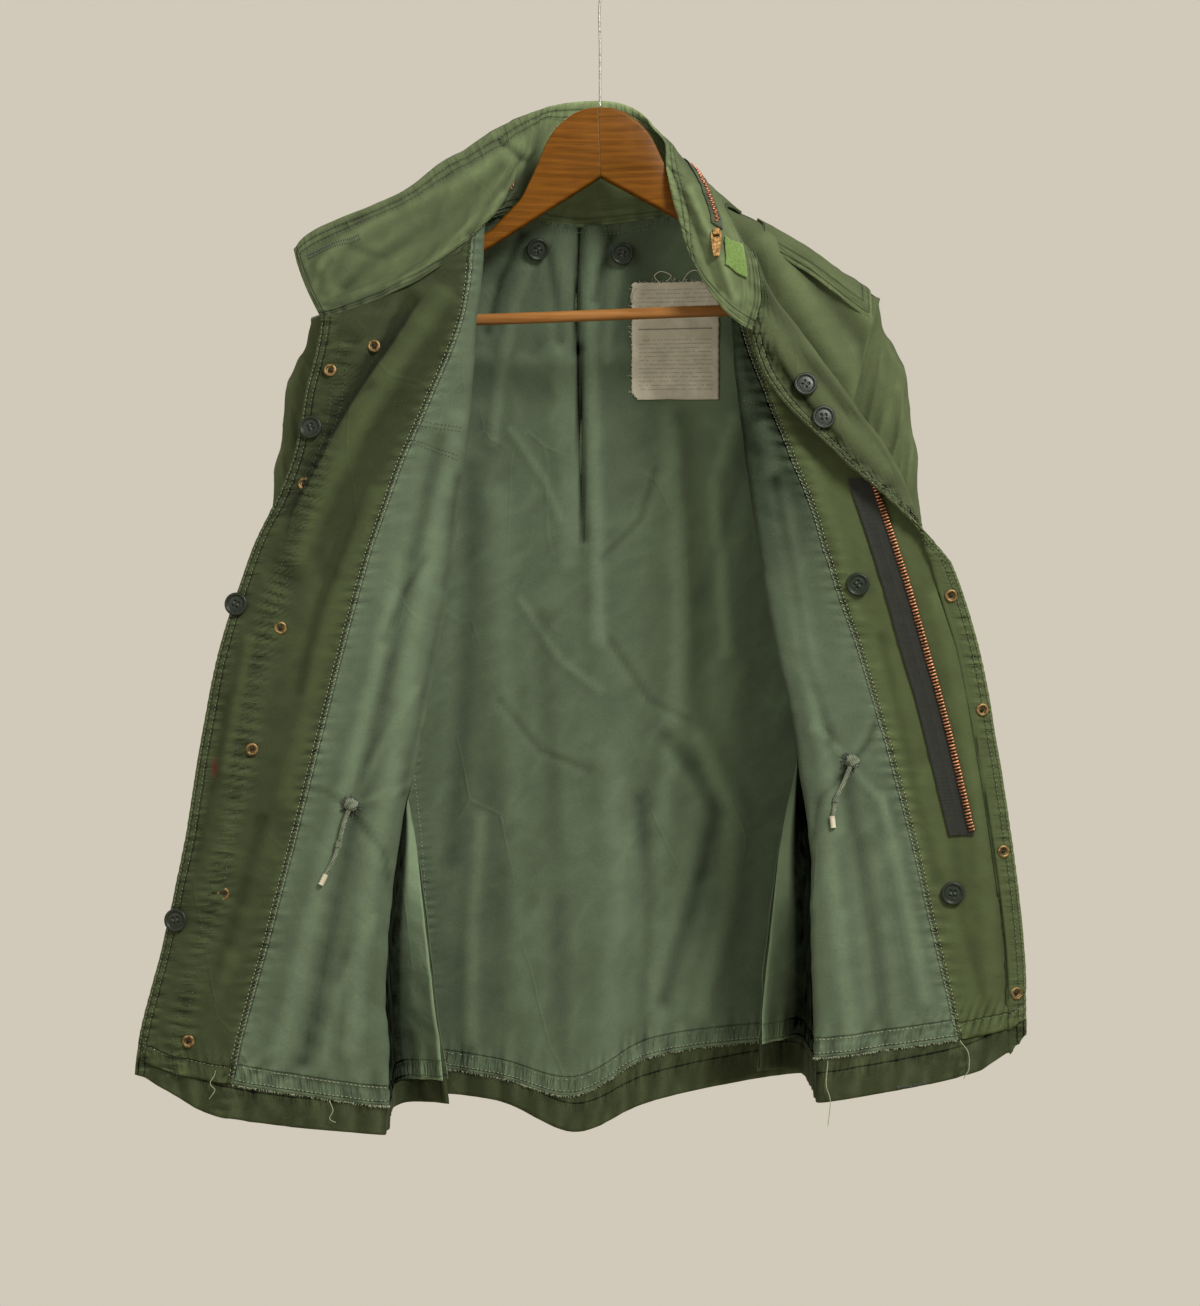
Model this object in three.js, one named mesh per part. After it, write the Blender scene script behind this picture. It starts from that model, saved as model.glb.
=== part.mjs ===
// Field jacket hanging open on a wooden hanger.
// Millimetres. +X is the viewer's right, +Y points away from the viewer, +Z is up.
// The origin is inside the top of the hanger's wire hook.

import * as THREE from "three";

// Driving sizes

const SHELL_WALL = 1.3;
const LINING_WALL = 1.0;
const FACING_WALL = 1.2;
const COLLAR_WALL = 2.6;
const SLEEVE_WALL = 1.3;
const POCKET_WALL = 1.4;
const SEAM_GAP = 0.3;
const HALF_GAP = SEAM_GAP / 2;

const BUTTON_DIAMETER = 19;
const BUTTON_THICKNESS = 3.2;
const SNAP_DIAMETER = 11;
const SNAP_HEIGHT = 2.4;

const CORD_DIAMETER = 3.5;
const LABEL_WIDTH = 74;
const LABEL_HEIGHT = 98;
const ZIP_TAPE_WIDTH = 21;

const HOOK_WIRE = 2;
const HOOK_RADIUS = 13;
const HANGER_THICKNESS = 14;
const BAR_DIAMETER = 9.5;

const COLOURS = {
  shell: 0x4b5a38,
  shellLight: 0x5f6e49,
  lining: 0x58684f,
  facing: 0x4d5c3c,
  wood: 0xa5602f,
  steel: 0x9a9a96,
  button: 0x20261f,
  brass: 0x9a7a45,
  tape: 0x3d4737,
  label: 0xd7d4c3,
  cord: 0x55624a,
  grip: 0x7fae3a,
};

const jacket = new THREE.Group();

function addMesh(name, geometry, colour, roughness = 0.9, metalness = 0) {
  geometry.computeVertexNormals();
  const material = new THREE.MeshStandardMaterial({ color: colour, roughness, metalness });
  const mesh = new THREE.Mesh(geometry, material);
  mesh.name = name;
  jacket.add(mesh);
  return mesh;
}

// Fold tables. Each row is a level z; each column is a fold line's x and y there.
// A third number is the radius of a fold that turns the cloth right over.
// At each front the cloth runs from the side seam or armhole in to the roll, turns over,
// and runs out again past the facing's seam to the front edge.

const LEFT_FRONT = [
  { z: -200, side: [-240, -8], valley: [-166, -12], roll: [-95, -10, 3],
    seam: [-101, -22], turn: [-144, -40], edge: [-228, -46] },
  { z: -280, side: [-240, -9], valley: [-166, -13], roll: [-98, -20, 5],
    seam: [-106, -32], turn: [-146, -44], edge: [-228, -47] },
  { z: -320, side: [-237, -12], valley: [-166, -17], roll: [-103, -27, 7],
    seam: [-115, -38], turn: [-157, -53], edge: [-228, -49] },
  { z: -370, side: [-218, -17], valley: [-165, -20], roll: [-106, -31, 8],
    seam: [-136, -43], turn: [-188, -59], edge: [-239, -52] },
  { z: -430, side: [-203, -14], valley: [-164, -18], roll: [-112, -34, 9],
    seam: [-163, -47], turn: [-225, -61], edge: [-251, -55] },
  { z: -500, side: [-194, -6], valley: [-164, -13], roll: [-120, -38, 10],
    seam: [-189, -50], turn: [-257, -62], edge: [-282, -58] },
  { z: -580, side: [-183, 0], valley: [-163, -14], roll: [-133, -45, 11],
    seam: [-211, -53], turn: [-287, -63], edge: [-308, -60] },
  { z: -660, side: [-170, 4], valley: [-160, -20], roll: [-148, -54, 12],
    seam: [-232, -57], turn: [-301, -63], edge: [-324, -60] },
  { z: -740, side: [-154, 4], valley: [-164, -8], roll: [-164, -60, 13],
    seam: [-253, -60], turn: [-314, -64], edge: [-337, -60] },
  { z: -820, side: [-144, 2], valley: [-172, 18], roll: [-173, -62, 13],
    seam: [-276, -62], turn: [-330, -65], edge: [-354, -60] },
  { z: -900, side: [-134, -2], valley: [-174, 36], roll: [-172, -62, 13],
    seam: [-301, -63], turn: [-347, -65], edge: [-374, -60] },
  { z: -1000, side: [-124, -2], valley: [-171, 40], roll: [-172, -61, 13],
    seam: [-322, -63], turn: [-358, -65], edge: [-382, -60] },
];

const RIGHT_FRONT = [
  { z: -200, side: [233, -8], valley: [166, -12], roll: [103, -10, 3],
    seam: [110, -18], turn: [120, -30, 2], edge: [122, -50] },
  { z: -240, side: [233, -8], valley: [166, -12], roll: [105, -13, 4],
    seam: [110, -22], turn: [122, -33, 3], edge: [122, -50] },
  { z: -280, side: [233, -9], valley: [165, -14], roll: [107, -19, 5],
    seam: [111, -30], turn: [134, -40, 4], edge: [122, -50] },
  { z: -320, side: [224, -14], valley: [165, -18], roll: [109, -26, 6],
    seam: [115, -37], turn: [160, -47, 5], edge: [122, -53] },
  { z: -370, side: [211, -17], valley: [164, -20], roll: [114, -31, 8],
    seam: [132, -43], turn: [198, -52, 6], edge: [141, -63] },
  { z: -430, side: [200, -14], valley: [164, -18], roll: [121, -34, 9],
    seam: [155, -47], turn: [237, -55, 6], edge: [199, -66] },
  { z: -470, side: [195, -10], valley: [164, -14], roll: [127, -36, 10],
    seam: [172, -49], turn: [255, -58, 5], edge: [245, -66] },
  { z: -510, side: [192, -5], valley: [163, -13], roll: [133, -38, 10],
    seam: [185, -51], turn: [268, -60, 3], edge: [284, -64] },
  { z: -580, side: [183, 0], valley: [164, -14], roll: [145, -45, 11],
    seam: [210, -53], turn: [289, -61, 1], edge: [307, -61] },
  { z: -660, side: [168, 4], valley: [164, -22], roll: [160, -55, 12],
    seam: [235, -57], turn: [304, -62, 1], edge: [322, -60] },
  { z: -740, side: [151, 4], valley: [164, -10], roll: [170, -62, 13],
    seam: [258, -60], turn: [317, -63, 1], edge: [334, -60] },
  { z: -820, side: [141, 2], valley: [168, 16], roll: [172, -64, 13],
    seam: [279, -62], turn: [327, -64, 1], edge: [343, -60] },
  { z: -900, side: [134, -2], valley: [170, 36], roll: [174, -64, 13],
    seam: [300, -63], turn: [331, -64, 1], edge: [345, -60] },
  { z: -1000, side: [130, -2], valley: [169, 40], roll: [175, -64, 13],
    seam: [309, -63], turn: [329, -64, 1], edge: [340, -60] },
];

const BACK = [
  { z: -200, sideL: [-240, 8], tuckL: [-221, 10], outerL: [-196, 14], innerL: [-142, 18],
    pleatL: [-86, 24], mid: [-14, 46], pleatR: [62, 38], innerR: [117, 14],
    outerR: [184, 12], tuckR: [215, 10], sideR: [234, 8] },
  { z: -240, sideL: [-240, 8], tuckL: [-221, 10], outerL: [-196, 15], innerL: [-142, 22],
    pleatL: [-84, 38], mid: [-15, 51], pleatR: [59, 46], innerR: [118, 24],
    outerR: [184, 14], tuckR: [215, 10], sideR: [234, 8] },
  { z: -280, sideL: [-240, 8], tuckL: [-221, 12], outerL: [-196, 20], innerL: [-140, 33],
    pleatL: [-81, 52], mid: [-15, 58], pleatR: [56, 55], innerR: [121, 36],
    outerR: [185, 24], tuckR: [215, 14], sideR: [234, 10] },
  { z: -320, sideL: [-237, 14], tuckL: [-219, 20], outerL: [-194, 29], innerL: [-136, 44],
    pleatL: [-81, 59], mid: [-16, 64], pleatR: [55, 61], innerR: [123, 45],
    outerR: [187, 32], tuckR: [214, 22], sideR: [226, 16] },
  { z: -370, sideL: [-222, 20], tuckL: [-211, 30], outerL: [-194, 38], innerL: [-136, 53],
    pleatL: [-81, 65], mid: [-17, 69], pleatR: [54, 66], innerR: [127, 53],
    outerR: [190, 39], tuckR: [207, 30], sideR: [217, 22] },
  { z: -430, sideL: [-207, 20], tuckL: [-203, 32], outerL: [-198, 42], innerL: [-140, 60],
    pleatL: [-81, 70], mid: [-18, 75], pleatR: [52, 71], innerR: [132, 60],
    outerR: [197, 42], tuckR: [202, 32], sideR: [206, 20] },
  { z: -500, sideL: [-195, 8], tuckL: [-197, 24], outerL: [-212, 42], innerL: [-148, 67],
    pleatL: [-81, 74], mid: [-18, 79], pleatR: [50, 76], innerR: [140, 67],
    outerR: [212, 42], tuckR: [197, 24], sideR: [194, 8] },
  { z: -580, sideL: [-183, 4], tuckL: [-190, 28], outerL: [-232, 47], innerL: [-158, 74],
    pleatL: [-81, 78], mid: [-19, 82], pleatR: [49, 80], innerR: [150, 74],
    outerR: [232, 47], tuckR: [190, 28], sideR: [183, 4] },
  { z: -660, sideL: [-171, 8], tuckL: [-184, 40], outerL: [-247, 53], innerL: [-165, 81],
    pleatL: [-81, 83], mid: [-21, 81], pleatR: [48, 84], innerR: [157, 81],
    outerR: [247, 53], tuckR: [184, 40], sideR: [169, 8] },
  { z: -740, sideL: [-154, 8], tuckL: [-168, 49], outerL: [-254, 59], innerL: [-169, 86],
    pleatL: [-82, 85], mid: [-21, 77], pleatR: [46, 85], innerR: [162, 86],
    outerR: [253, 59], tuckR: [167, 49], sideR: [151, 8] },
  { z: -820, sideL: [-142.5, 6], tuckL: [-160, 53], outerL: [-257, 63], innerL: [-172, 89],
    pleatL: [-85, 82], mid: [-21, 71], pleatR: [44, 82], innerR: [165, 89],
    outerR: [255, 63], tuckR: [158, 53], sideR: [139.5, 6] },
  { z: -900, sideL: [-132, 1.5], tuckL: [-156, 54], outerL: [-259, 64], innerL: [-172, 89],
    pleatL: [-86, 76], mid: [-21, 65], pleatR: [41, 76], innerR: [165, 89],
    outerR: [255, 64], tuckR: [154, 54], sideR: [132, 1.5] },
  { z: -1000, sideL: [-122, 1.5], tuckL: [-152, 54], outerL: [-259, 64], innerL: [-172, 89],
    pleatL: [-85, 70], mid: [-21, 60], pleatR: [39, 70], innerR: [165, 89],
    outerR: [255, 64], tuckR: [150, 54], sideR: [128, 1.5] },
];

const FRONT_COLUMNS = ["side", "valley", "roll", "seam", "turn", "edge"];
const BACK_COLUMNS = [
  "sideL", "tuckL", "outerL", "innerL", "pleatL", "mid", "pleatR", "innerR", "outerR", "tuckR", "sideR",
];

// Each panel's ends: the height z where it starts and stops at each fold of its section.

const ENDS = {
  leftFront: {
    top: { side: -306, valley: -258, roll: -227, seam: -244, turn: -281, edge: -310 },
    shellHem: { side: -957, valley: -962, roll: -972, seam: -959, turn: -938, edge: -925 },
    liningHem: { side: -938, valley: -942, roll: -948, seam: -932, turn: -922, edge: -912 },
  },
  rightFront: {
    top: { side: -290, valley: -247, roll: -217, seam: -236, turn: -258, edge: -321 },
    shellHem: { side: -930, valley: -935, roll: -945, seam: -926, turn: -908, edge: -893 },
    liningHem: { side: -908, valley: -906, roll: -909, seam: -896, turn: -888, edge: -880 },
  },
  back: {
    top: { sideL: -306, tuckL: -295, outerL: -278, innerL: -243, pleatL: -218, mid: -222,
           pleatR: -215, innerR: -220, outerR: -258, tuckR: -278, sideR: -290 },
    shellHem: { sideL: -958, tuckL: -962, outerL: -962, innerL: -960, pleatL: -966, mid: -991,
                pleatR: -966, innerR: -945, outerR: -942, tuckR: -935, sideR: -931 },
    liningHem: { sideL: -938, tuckL: -940, outerL: -938, innerL: -936, pleatL: -946, mid: -960,
                 pleatR: -928, innerR: -915, outerR: -912, tuckR: -910, sideR: -908 },
  },
};

// The collar's rows, from left to right. Each starts on the neckline, at a place of a panel's
// section, lift above it, and runs through its middle to its free edge, both [x, y, z].

const COLLAR_ROWS = [
  { panel: "leftFront", place: 6, lift: 1.7, middle: [-242, -36, -281], edge: [-253, -15, -250] },
  { panel: "leftFront", place: 5.8, lift: 1.7, middle: [-228, -33, -275], edge: [-240, -9, -236] },
  { panel: "leftFront", place: 5.45, lift: 1.7, middle: [-190, -28, -258], edge: [-208, 0, -219] },
  { panel: "leftFront", place: 5, lift: 1.7, middle: [-150, -22, -240], edge: [-164, 9, -199] },
  { panel: "leftFront", place: 4.5, lift: 2.2, middle: [-119, -18, -220], edge: [-134, 20, -174] },
  { panel: "leftFront", place: 4.1, lift: 6.6, middle: [-97, -14, -208], edge: [-113, 30, -160] },
  { panel: "leftFront", place: 3, lift: 6, middle: [-77, -6, -196], edge: [-87, 40, -141] },
  { panel: "leftFront", place: 1.8, lift: 7, middle: [-69, 8, -183], edge: [-73, 45, -133] },
  { panel: "back", place: 3.95, lift: 5, middle: [-59, 24, -170], edge: [-59, 49, -127] },
  { panel: "back", place: 4.25, lift: 1.7, middle: [-52, 42, -162], edge: [-44, 52, -121] },
  { panel: "back", place: 4.6, lift: 1.7, middle: [-37, 51, -166], edge: [-27, 54, -117] },
  { panel: "back", place: 5, lift: 1.7, middle: [-8, 53, -168], edge: [-1, 56, -115] },
  { panel: "back", place: 5.5, lift: 1.7, middle: [22, 52, -170], edge: [19, 54, -118] },
  { panel: "back", place: 5.95, lift: 1.7, middle: [44, 48, -171], edge: [34, 46, -127] },
  { panel: "back", place: 6.3, lift: 3, middle: [69, 30, -174], edge: [45, 24, -144] },
  { panel: "rightFront", place: 1.8, lift: 9, middle: [78, 2, -184], edge: [53, 4, -162] },
  { panel: "rightFront", place: 3, lift: 7, middle: [87, -16, -203], edge: [55, -11, -184] },
  { panel: "rightFront", place: 4.5, lift: 5, middle: [95, -28, -228], edge: [60, -16, -210] },
  { panel: "rightFront", place: 6.1, lift: 2.6, middle: [96, -36, -251], edge: [65, -20, -227] },
  { panel: "rightFront", place: 6.6, lift: 2.6, middle: [95, -42, -273], edge: [69, -24, -241] },
  { panel: "rightFront", place: 7, lift: 2.2, middle: [95, -46, -297], edge: [72, -28, -253] },
];

// Smooth curve through four values, for t between the middle two.
function catmull(a, b, c, d, t) {
  const linear = c - a;
  const square = 2 * a - 5 * b + 4 * c - d;
  const cube = 3 * b - a - 3 * c + d;
  return b + 0.5 * t * (linear + t * (square + t * cube));
}

// A fold's x, y and radius at height z, along the smooth curve through its column.
function foldAt(table, column, z) {
  const last = table.length - 1;
  const reach = Math.max(table[last].z, Math.min(table[0].z, z));
  let row = 0;
  while (row < last - 1 && table[row + 1].z > reach) row += 1;
  const t = (table[row].z - reach) / (table[row].z - table[row + 1].z);
  const rows = [Math.max(row - 1, 0), row, row + 1, Math.min(row + 2, last)];
  return [0, 1, 2].map((part) => catmull(...rows.map((at) => table[at][column][part] ?? 0), t));
}

// How much of each neighbouring stretch a rounded corner takes.
const CORNER_CUT = 0.38;

// A height at place s along a section, between the named columns' heights.
function endAt(ends, stops, s) {
  const at = Math.min(Math.floor(s), stops.length - 2);
  const t = s - at;
  const pick = (index) => ends[stops[Math.max(0, Math.min(stops.length - 1, index))].column];
  return catmull(pick(at - 1), pick(at), pick(at + 1), pick(at + 2), t);
}

// A section's stops. A turned fold has two stops, one radius behind and one in front of it.
function makeStops(columns, turned) {
  return columns.flatMap((column) => (
    turned.includes(column)
      ? [{ column, side: 1 }, { column, side: -1 }]
      : [{ column, side: 0 }]
  ));
}


// How far below a panel's shoulder edge the cloth curves over to meet the panel behind.
const SHOULDER_CURVE = 16;
const SHOULDER_RIDGE = 3;
const SHOULDER_PART = 1.4;

function stopPoint(panel, stop, z) {
  const [x, y, radius] = foldAt(panel.table, stop.column, z);
  return [x, y + stop.side * radius];
}

// The x and y at place s of a panel's section at height z. Corners are rounded by a
// quadratic curve that starts and ends a short way before and after each stop.
function sectionPoint(panel, s, z) {
  const last = panel.stops.length - 1;
  const nearest = Math.max(0, Math.min(last, Math.round(s)));
  const away = s - nearest;
  const here = stopPoint(panel, panel.stops[nearest], z);
  const before = stopPoint(panel, panel.stops[Math.max(nearest - 1, 0)], z);
  const after = stopPoint(panel, panel.stops[Math.min(nearest + 1, last)], z);
  const reach = nearest === 0 || nearest === last ? 0 : CORNER_CUT;
  const blend = (from, to, t) => [from[0] + (to[0] - from[0]) * t, from[1] + (to[1] - from[1]) * t];
  if (Math.abs(away) >= reach) {
    return away < 0 ? blend(here, before, -away) : blend(here, after, away);
  }
  const start = blend(here, before, reach);
  const end = blend(here, after, reach);
  const t = (away + reach) / (2 * reach);
  return blend(blend(start, here, t), blend(here, end, t), t);
}

// A point of a panel's middle surface. Near the shoulder edge it curves in to the ridge.
function panelPoint(panel, s, z) {
  const [x, y] = sectionPoint(panel, s, z);
  const below = endAt(panel.ends.top, panel.stops, s) - z;
  const weight = panel.shoulder(s);
  if (weight <= 0 || below >= SHOULDER_CURVE) return new THREE.Vector3(x, y, z);
  const up = 1 - Math.max(below, 0) / SHOULDER_CURVE;
  const ridge = SHOULDER_RIDGE + panel.behind * SHOULDER_PART;
  const curved = ridge + (y - ridge) * Math.sqrt(1 - up * up);
  return new THREE.Vector3(x, y + (curved - y) * weight, z);
}

const clamp = (value, low, high) => Math.max(low, Math.min(high, value));

// The three panels. lining is the side of the middle surface, along its normals, that the
// lining lies on. behind is 1 for the panel at the back of the shoulder seam.
const PANELS = {
  leftFront: {
    table: LEFT_FRONT,
    stops: makeStops(FRONT_COLUMNS, ["roll"]),
    ends: ENDS.leftFront,
    lining: 1,
    behind: -1,
    shoulder: (s) => clamp((2.3 - s) / 0.8, 0, 1),
  },
  rightFront: {
    table: RIGHT_FRONT,
    stops: makeStops(FRONT_COLUMNS, ["roll", "turn"]),
    ends: ENDS.rightFront,
    lining: -1,
    behind: -1,
    shoulder: (s) => clamp((2.3 - s) / 0.8, 0, 1),
  },
  back: {
    table: BACK,
    stops: makeStops(BACK_COLUMNS, []),
    ends: ENDS.back,
    lining: -1,
    behind: 1,
    shoulder: (s) => Math.max(clamp((4.1 - s) / 0.4, 0, 1), clamp((s - 6.2) / 0.4, 0, 1)),
  },
};

// A grid of points on a panel: places along the section by rows down it. The first row is the
// panel's top and the next the foot of its curve in to the shoulder. The others run down to the
// lining's hem, and the last one is the shell's hem.
function panelGrid(panel, places, rows) {
  return places.map((s) => {
    const [high, hem, low] = [panel.ends.top, panel.ends.liningHem, panel.ends.shellHem]
      .map((ends) => endAt(ends, panel.stops, s));
    const start = high - SHOULDER_CURVE;
    const even = Array.from({ length: rows - 1 }, (_, row) => start + (hem - start) * (row / (rows - 2)));
    return [high, ...even, low].map((z) => panelPoint(panel, s, z));
  });
}

// Unit normals of a grid: across the columns times down the rows.
function gridNormals(grid) {
  const columns = grid.length;
  const rows = grid[0].length;
  return grid.map((column, i) => column.map((_, j) => {
    const across = grid[Math.min(i + 1, columns - 1)][j].clone().sub(grid[Math.max(i - 1, 0)][j]);
    const down = grid[i][Math.min(j + 1, rows - 1)].clone().sub(grid[i][Math.max(j - 1, 0)]);
    return across.cross(down).normalize();
  }));
}

// The grid moved along its normals by a distance.
function moved(grid, normals, distance) {
  return grid.map((column, i) => column.map((point, j) => (
    point.clone().addScaledVector(normals[i][j], distance)
  )));
}

// A closed wall between two matching grids. The second one lies on the side the normals point to.
function wallGeometry(inner, outer) {
  const columns = inner.length;
  const rows = inner[0].length;
  const positions = [];
  [...inner, ...outer].forEach((column) => column.forEach((p) => positions.push(p.x, p.y, p.z)));
  const at = (layer, i, j) => layer * columns * rows + i * rows + j;
  const index = [];
  const quad = (a, b, c, d) => index.push(a, b, c, a, c, d);
  for (let i = 0; i < columns - 1; i += 1) {
    for (let j = 0; j < rows - 1; j += 1) {
      quad(at(1, i, j), at(1, i + 1, j), at(1, i + 1, j + 1), at(1, i, j + 1));
      quad(at(0, i, j), at(0, i, j + 1), at(0, i + 1, j + 1), at(0, i + 1, j));
    }
    quad(at(0, i, 0), at(0, i + 1, 0), at(1, i + 1, 0), at(1, i, 0));
    quad(at(0, i + 1, rows - 1), at(0, i, rows - 1), at(1, i, rows - 1), at(1, i + 1, rows - 1));
  }
  for (let j = 0; j < rows - 1; j += 1) {
    quad(at(0, 0, j + 1), at(0, 0, j), at(1, 0, j), at(1, 0, j + 1));
    quad(at(0, columns - 1, j), at(0, columns - 1, j + 1), at(1, columns - 1, j + 1), at(1, columns - 1, j));
  }
  const geometry = new THREE.BufferGeometry();
  geometry.setAttribute("position", new THREE.Float32BufferAttribute(positions, 3));
  geometry.setIndex(index);
  return geometry;
}

// A wall from a grid: it fills the space between two distances along the normals.
function wall(grid, from, to, normals = gridNormals(grid)) {
  return wallGeometry(moved(grid, normals, from), moved(grid, normals, to));
}

// Shell, lining and facing panels

const SEAM_BEFORE = 3.997;
const SEAM_AFTER = 4.003;
const LINED_ROWS = 12;
const SEAM_STOP = 4;
const LEFT_PLACES = [
  0, 0.5, 0.8, 1.1, 1.6, 1.9, 2.2, 2.5, 2.8, 3.1, 3.5, SEAM_BEFORE, SEAM_AFTER, 4.6, 5, 5.4, 6,
];
const RIGHT_PLACES = [
  0, 0.5, 0.8, 1.1, 1.6, 1.9, 2.2, 2.5, 2.8, 3.1, 3.5, SEAM_BEFORE, SEAM_AFTER, 4.6, 4.9, 5.2,
  5.5, 5.8, 6.1, 6.5, 7,
];
const BACK_PLACES = [
  0, 0.5, 0.8, 1.1, 1.4, 1.8, 2.1, 2.5, 3, 3.5, 3.75, 4.1, 4.5, 5, 5.5, 5.9, 6.2, 6.6, 7, 7.5,
  7.9, 8.2, 8.6, 8.9, 9.2, 9.5, 10,
];

function shapePanel(panel, places) {
  panel.places = places;
  panel.grid = panelGrid(panel, places, LINED_ROWS);
  panel.normals = gridNormals(panel.grid);
}

// A wall on one side of a panel, over some of its columns and rows.
function layer(panel, side, gap, thickness, keepPlace = () => true, rows = panel.grid[0].length) {
  const part = (grid) => grid
    .filter((_, i) => keepPlace(panel.places[i]))
    .map((column) => column.slice(0, rows));
  const [from, to] = side > 0 ? [gap, gap + thickness] : [-gap - thickness, -gap];
  return wall(part(panel.grid), from, to, part(panel.normals));
}

function addPanel(names, panel, places) {
  shapePanel(panel, places);
  addMesh(names.shell, layer(panel, -panel.lining, HALF_GAP, SHELL_WALL), COLOURS.shell);
  const isLining = (s) => !names.facing || s < SEAM_STOP;
  const lining = layer(panel, panel.lining, HALF_GAP, LINING_WALL, isLining, LINED_ROWS);
  addMesh(names.lining, lining, COLOURS.lining);
  if (!names.facing) return;
  const isFacing = (s) => s > SEAM_STOP;
  const facing = layer(panel, panel.lining, HALF_GAP, FACING_WALL, isFacing, LINED_ROWS);
  addMesh(names.facing, facing, COLOURS.facing);
}

const frontNames = (side) => ({
  shell: `shell_front_${side}`, lining: `lining_front_${side}`, facing: `facing_${side}`,
});
addPanel(frontNames("left"), PANELS.leftFront, LEFT_PLACES);
addPanel(frontNames("right"), PANELS.rightFront, RIGHT_PLACES);
addPanel({ shell: "shell_back", lining: "lining_back" }, PANELS.back, BACK_PLACES);

// Collar

const COLLAR_HEIGHTS = [0, 0.2, 0.4, 0.6, 0.8, 1];

// Where a collar row starts: just above the neckline, on the way to its middle.
function necklinePoint(row) {
  const panel = PANELS[row.panel];
  const start = panelPoint(panel, row.place, endAt(panel.ends.top, panel.stops, row.place));
  const way = new THREE.Vector3(...row.middle).sub(start).normalize();
  return start.addScaledVector(way, row.lift);
}

// The quadratic curve through a row's seam, middle and free edge, at height v from 0 to 1.
function collarPoint(row, v) {
  return necklinePoint(row).multiplyScalar((1 - v) * (1 - 2 * v))
    .addScaledVector(new THREE.Vector3(...row.middle), 4 * v * (1 - v))
    .addScaledVector(new THREE.Vector3(...row.edge), v * (2 * v - 1));
}

const collarGrid = COLLAR_ROWS.map((row) => COLLAR_HEIGHTS.map((v) => collarPoint(row, v)));
addMesh("collar", wall(collarGrid, -COLLAR_WALL / 2, COLLAR_WALL / 2), COLOURS.shellLight);

// Sleeves

// Each row is a ring of the sleeve, from the armhole to the cuff: its outer and inner points,
// [x, z], its middle y, and half its depth.
const SLEEVES = {
  left: {
    sign: -1,
    panel: "leftFront",
    backSide: "sideL",
    rings: [
      { outer: [-245, -313], inner: [-195, -541], y: 2, depth: 15 },
      { outer: [-252, -328], inner: [-197, -547], y: 0, depth: 22 },
      { outer: [-258, -358], inner: [-200, -556], y: -4, depth: 25 },
      { outer: [-264, -408], inner: [-202, -571], y: -8, depth: 26 },
      { outer: [-272, -465], inner: [-203, -595], y: -11, depth: 26 },
      { outer: [-284, -535], inner: [-204, -634], y: -13, depth: 25 },
      { outer: [-302, -617], inner: [-209, -692], y: -14, depth: 24 },
      { outer: [-321, -700], inner: [-221, -757], y: -14, depth: 24 },
      { outer: [-342, -800], inner: [-238, -832], y: -14, depth: 24 },
      { outer: [-362, -898], inner: [-262, -915], y: -14, depth: 24 },
    ],
  },
  right: {
    sign: 1,
    panel: "rightFront",
    backSide: "sideR",
    rings: [
      { outer: [237, -297], inner: [195, -537], y: 2, depth: 15 },
      { outer: [243, -314], inner: [197, -543], y: 0, depth: 22 },
      { outer: [251, -345], inner: [200, -552], y: -4, depth: 25 },
      { outer: [258, -395], inner: [202, -567], y: -8, depth: 26 },
      { outer: [264, -455], inner: [203, -592], y: -11, depth: 26 },
      { outer: [274, -525], inner: [204, -632], y: -13, depth: 25 },
      { outer: [288, -610], inner: [207, -690], y: -14, depth: 24 },
      { outer: [303, -700], inner: [216, -757], y: -14, depth: 24 },
      { outer: [319, -795], inner: [230, -830], y: -14, depth: 24 },
      { outer: [338, -898], inner: [243, -915], y: -14, depth: 24 },
    ],
  },
};

const ARMHOLE_GAP = 2;
const ARMHOLE_RINGS = 2;
const SLEEVE_STEPS = 20;
const TOP_SLEEVE_STEPS = 11;
const FLATNESS = 0.8;

// A point of a ring at turn t: 0 is the outer point, a quarter turn is the front, a half turn
// the inner point. The ring is an oval, flattened by a power on its sine and cosine.
function ringPoint(sleeve, ring, t) {
  const angle = 2 * Math.PI * t;
  const along = Math.sign(Math.cos(angle)) * Math.abs(Math.cos(angle)) ** FLATNESS;
  const deep = Math.sign(Math.sin(angle)) * Math.abs(Math.sin(angle)) ** FLATNESS;
  const half = (1 + along) / 2;
  return new THREE.Vector3(
    ring.inner[0] + (ring.outer[0] - ring.inner[0]) * half,
    ring.y - ring.depth * deep,
    ring.inner[1] + (ring.outer[1] - ring.inner[1]) * half,
  );
}

// The same ring on the armhole's edge: the front panel's side before, the back panel's behind.
function armholePoint(sleeve, ring, t) {
  const point = ringPoint(sleeve, ring, t);
  const front = foldAt(PANELS[sleeve.panel].table, "side", point.z);
  const back = foldAt(BACK, sleeve.backSide, point.z);
  const share = (1 - Math.sin(2 * Math.PI * t)) / 2;
  const x = front[0] + (back[0] - front[0]) * share + sleeve.sign * ARMHOLE_GAP;
  const y = front[1] + (back[1] - front[1]) * share;
  return new THREE.Vector3(x, y, point.z);
}

function sleeveGrid(sleeve, turns) {
  return turns.map((t) => sleeve.rings.map((ring, row) => {
    const free = ringPoint(sleeve, ring, t);
    const share = Math.max(0, 1 - row / ARMHOLE_RINGS);
    return free.lerp(armholePoint(sleeve, ring, t), share);
  }));
}

const SLEEVE_SEAM_TRIM = 0.0012;

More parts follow.
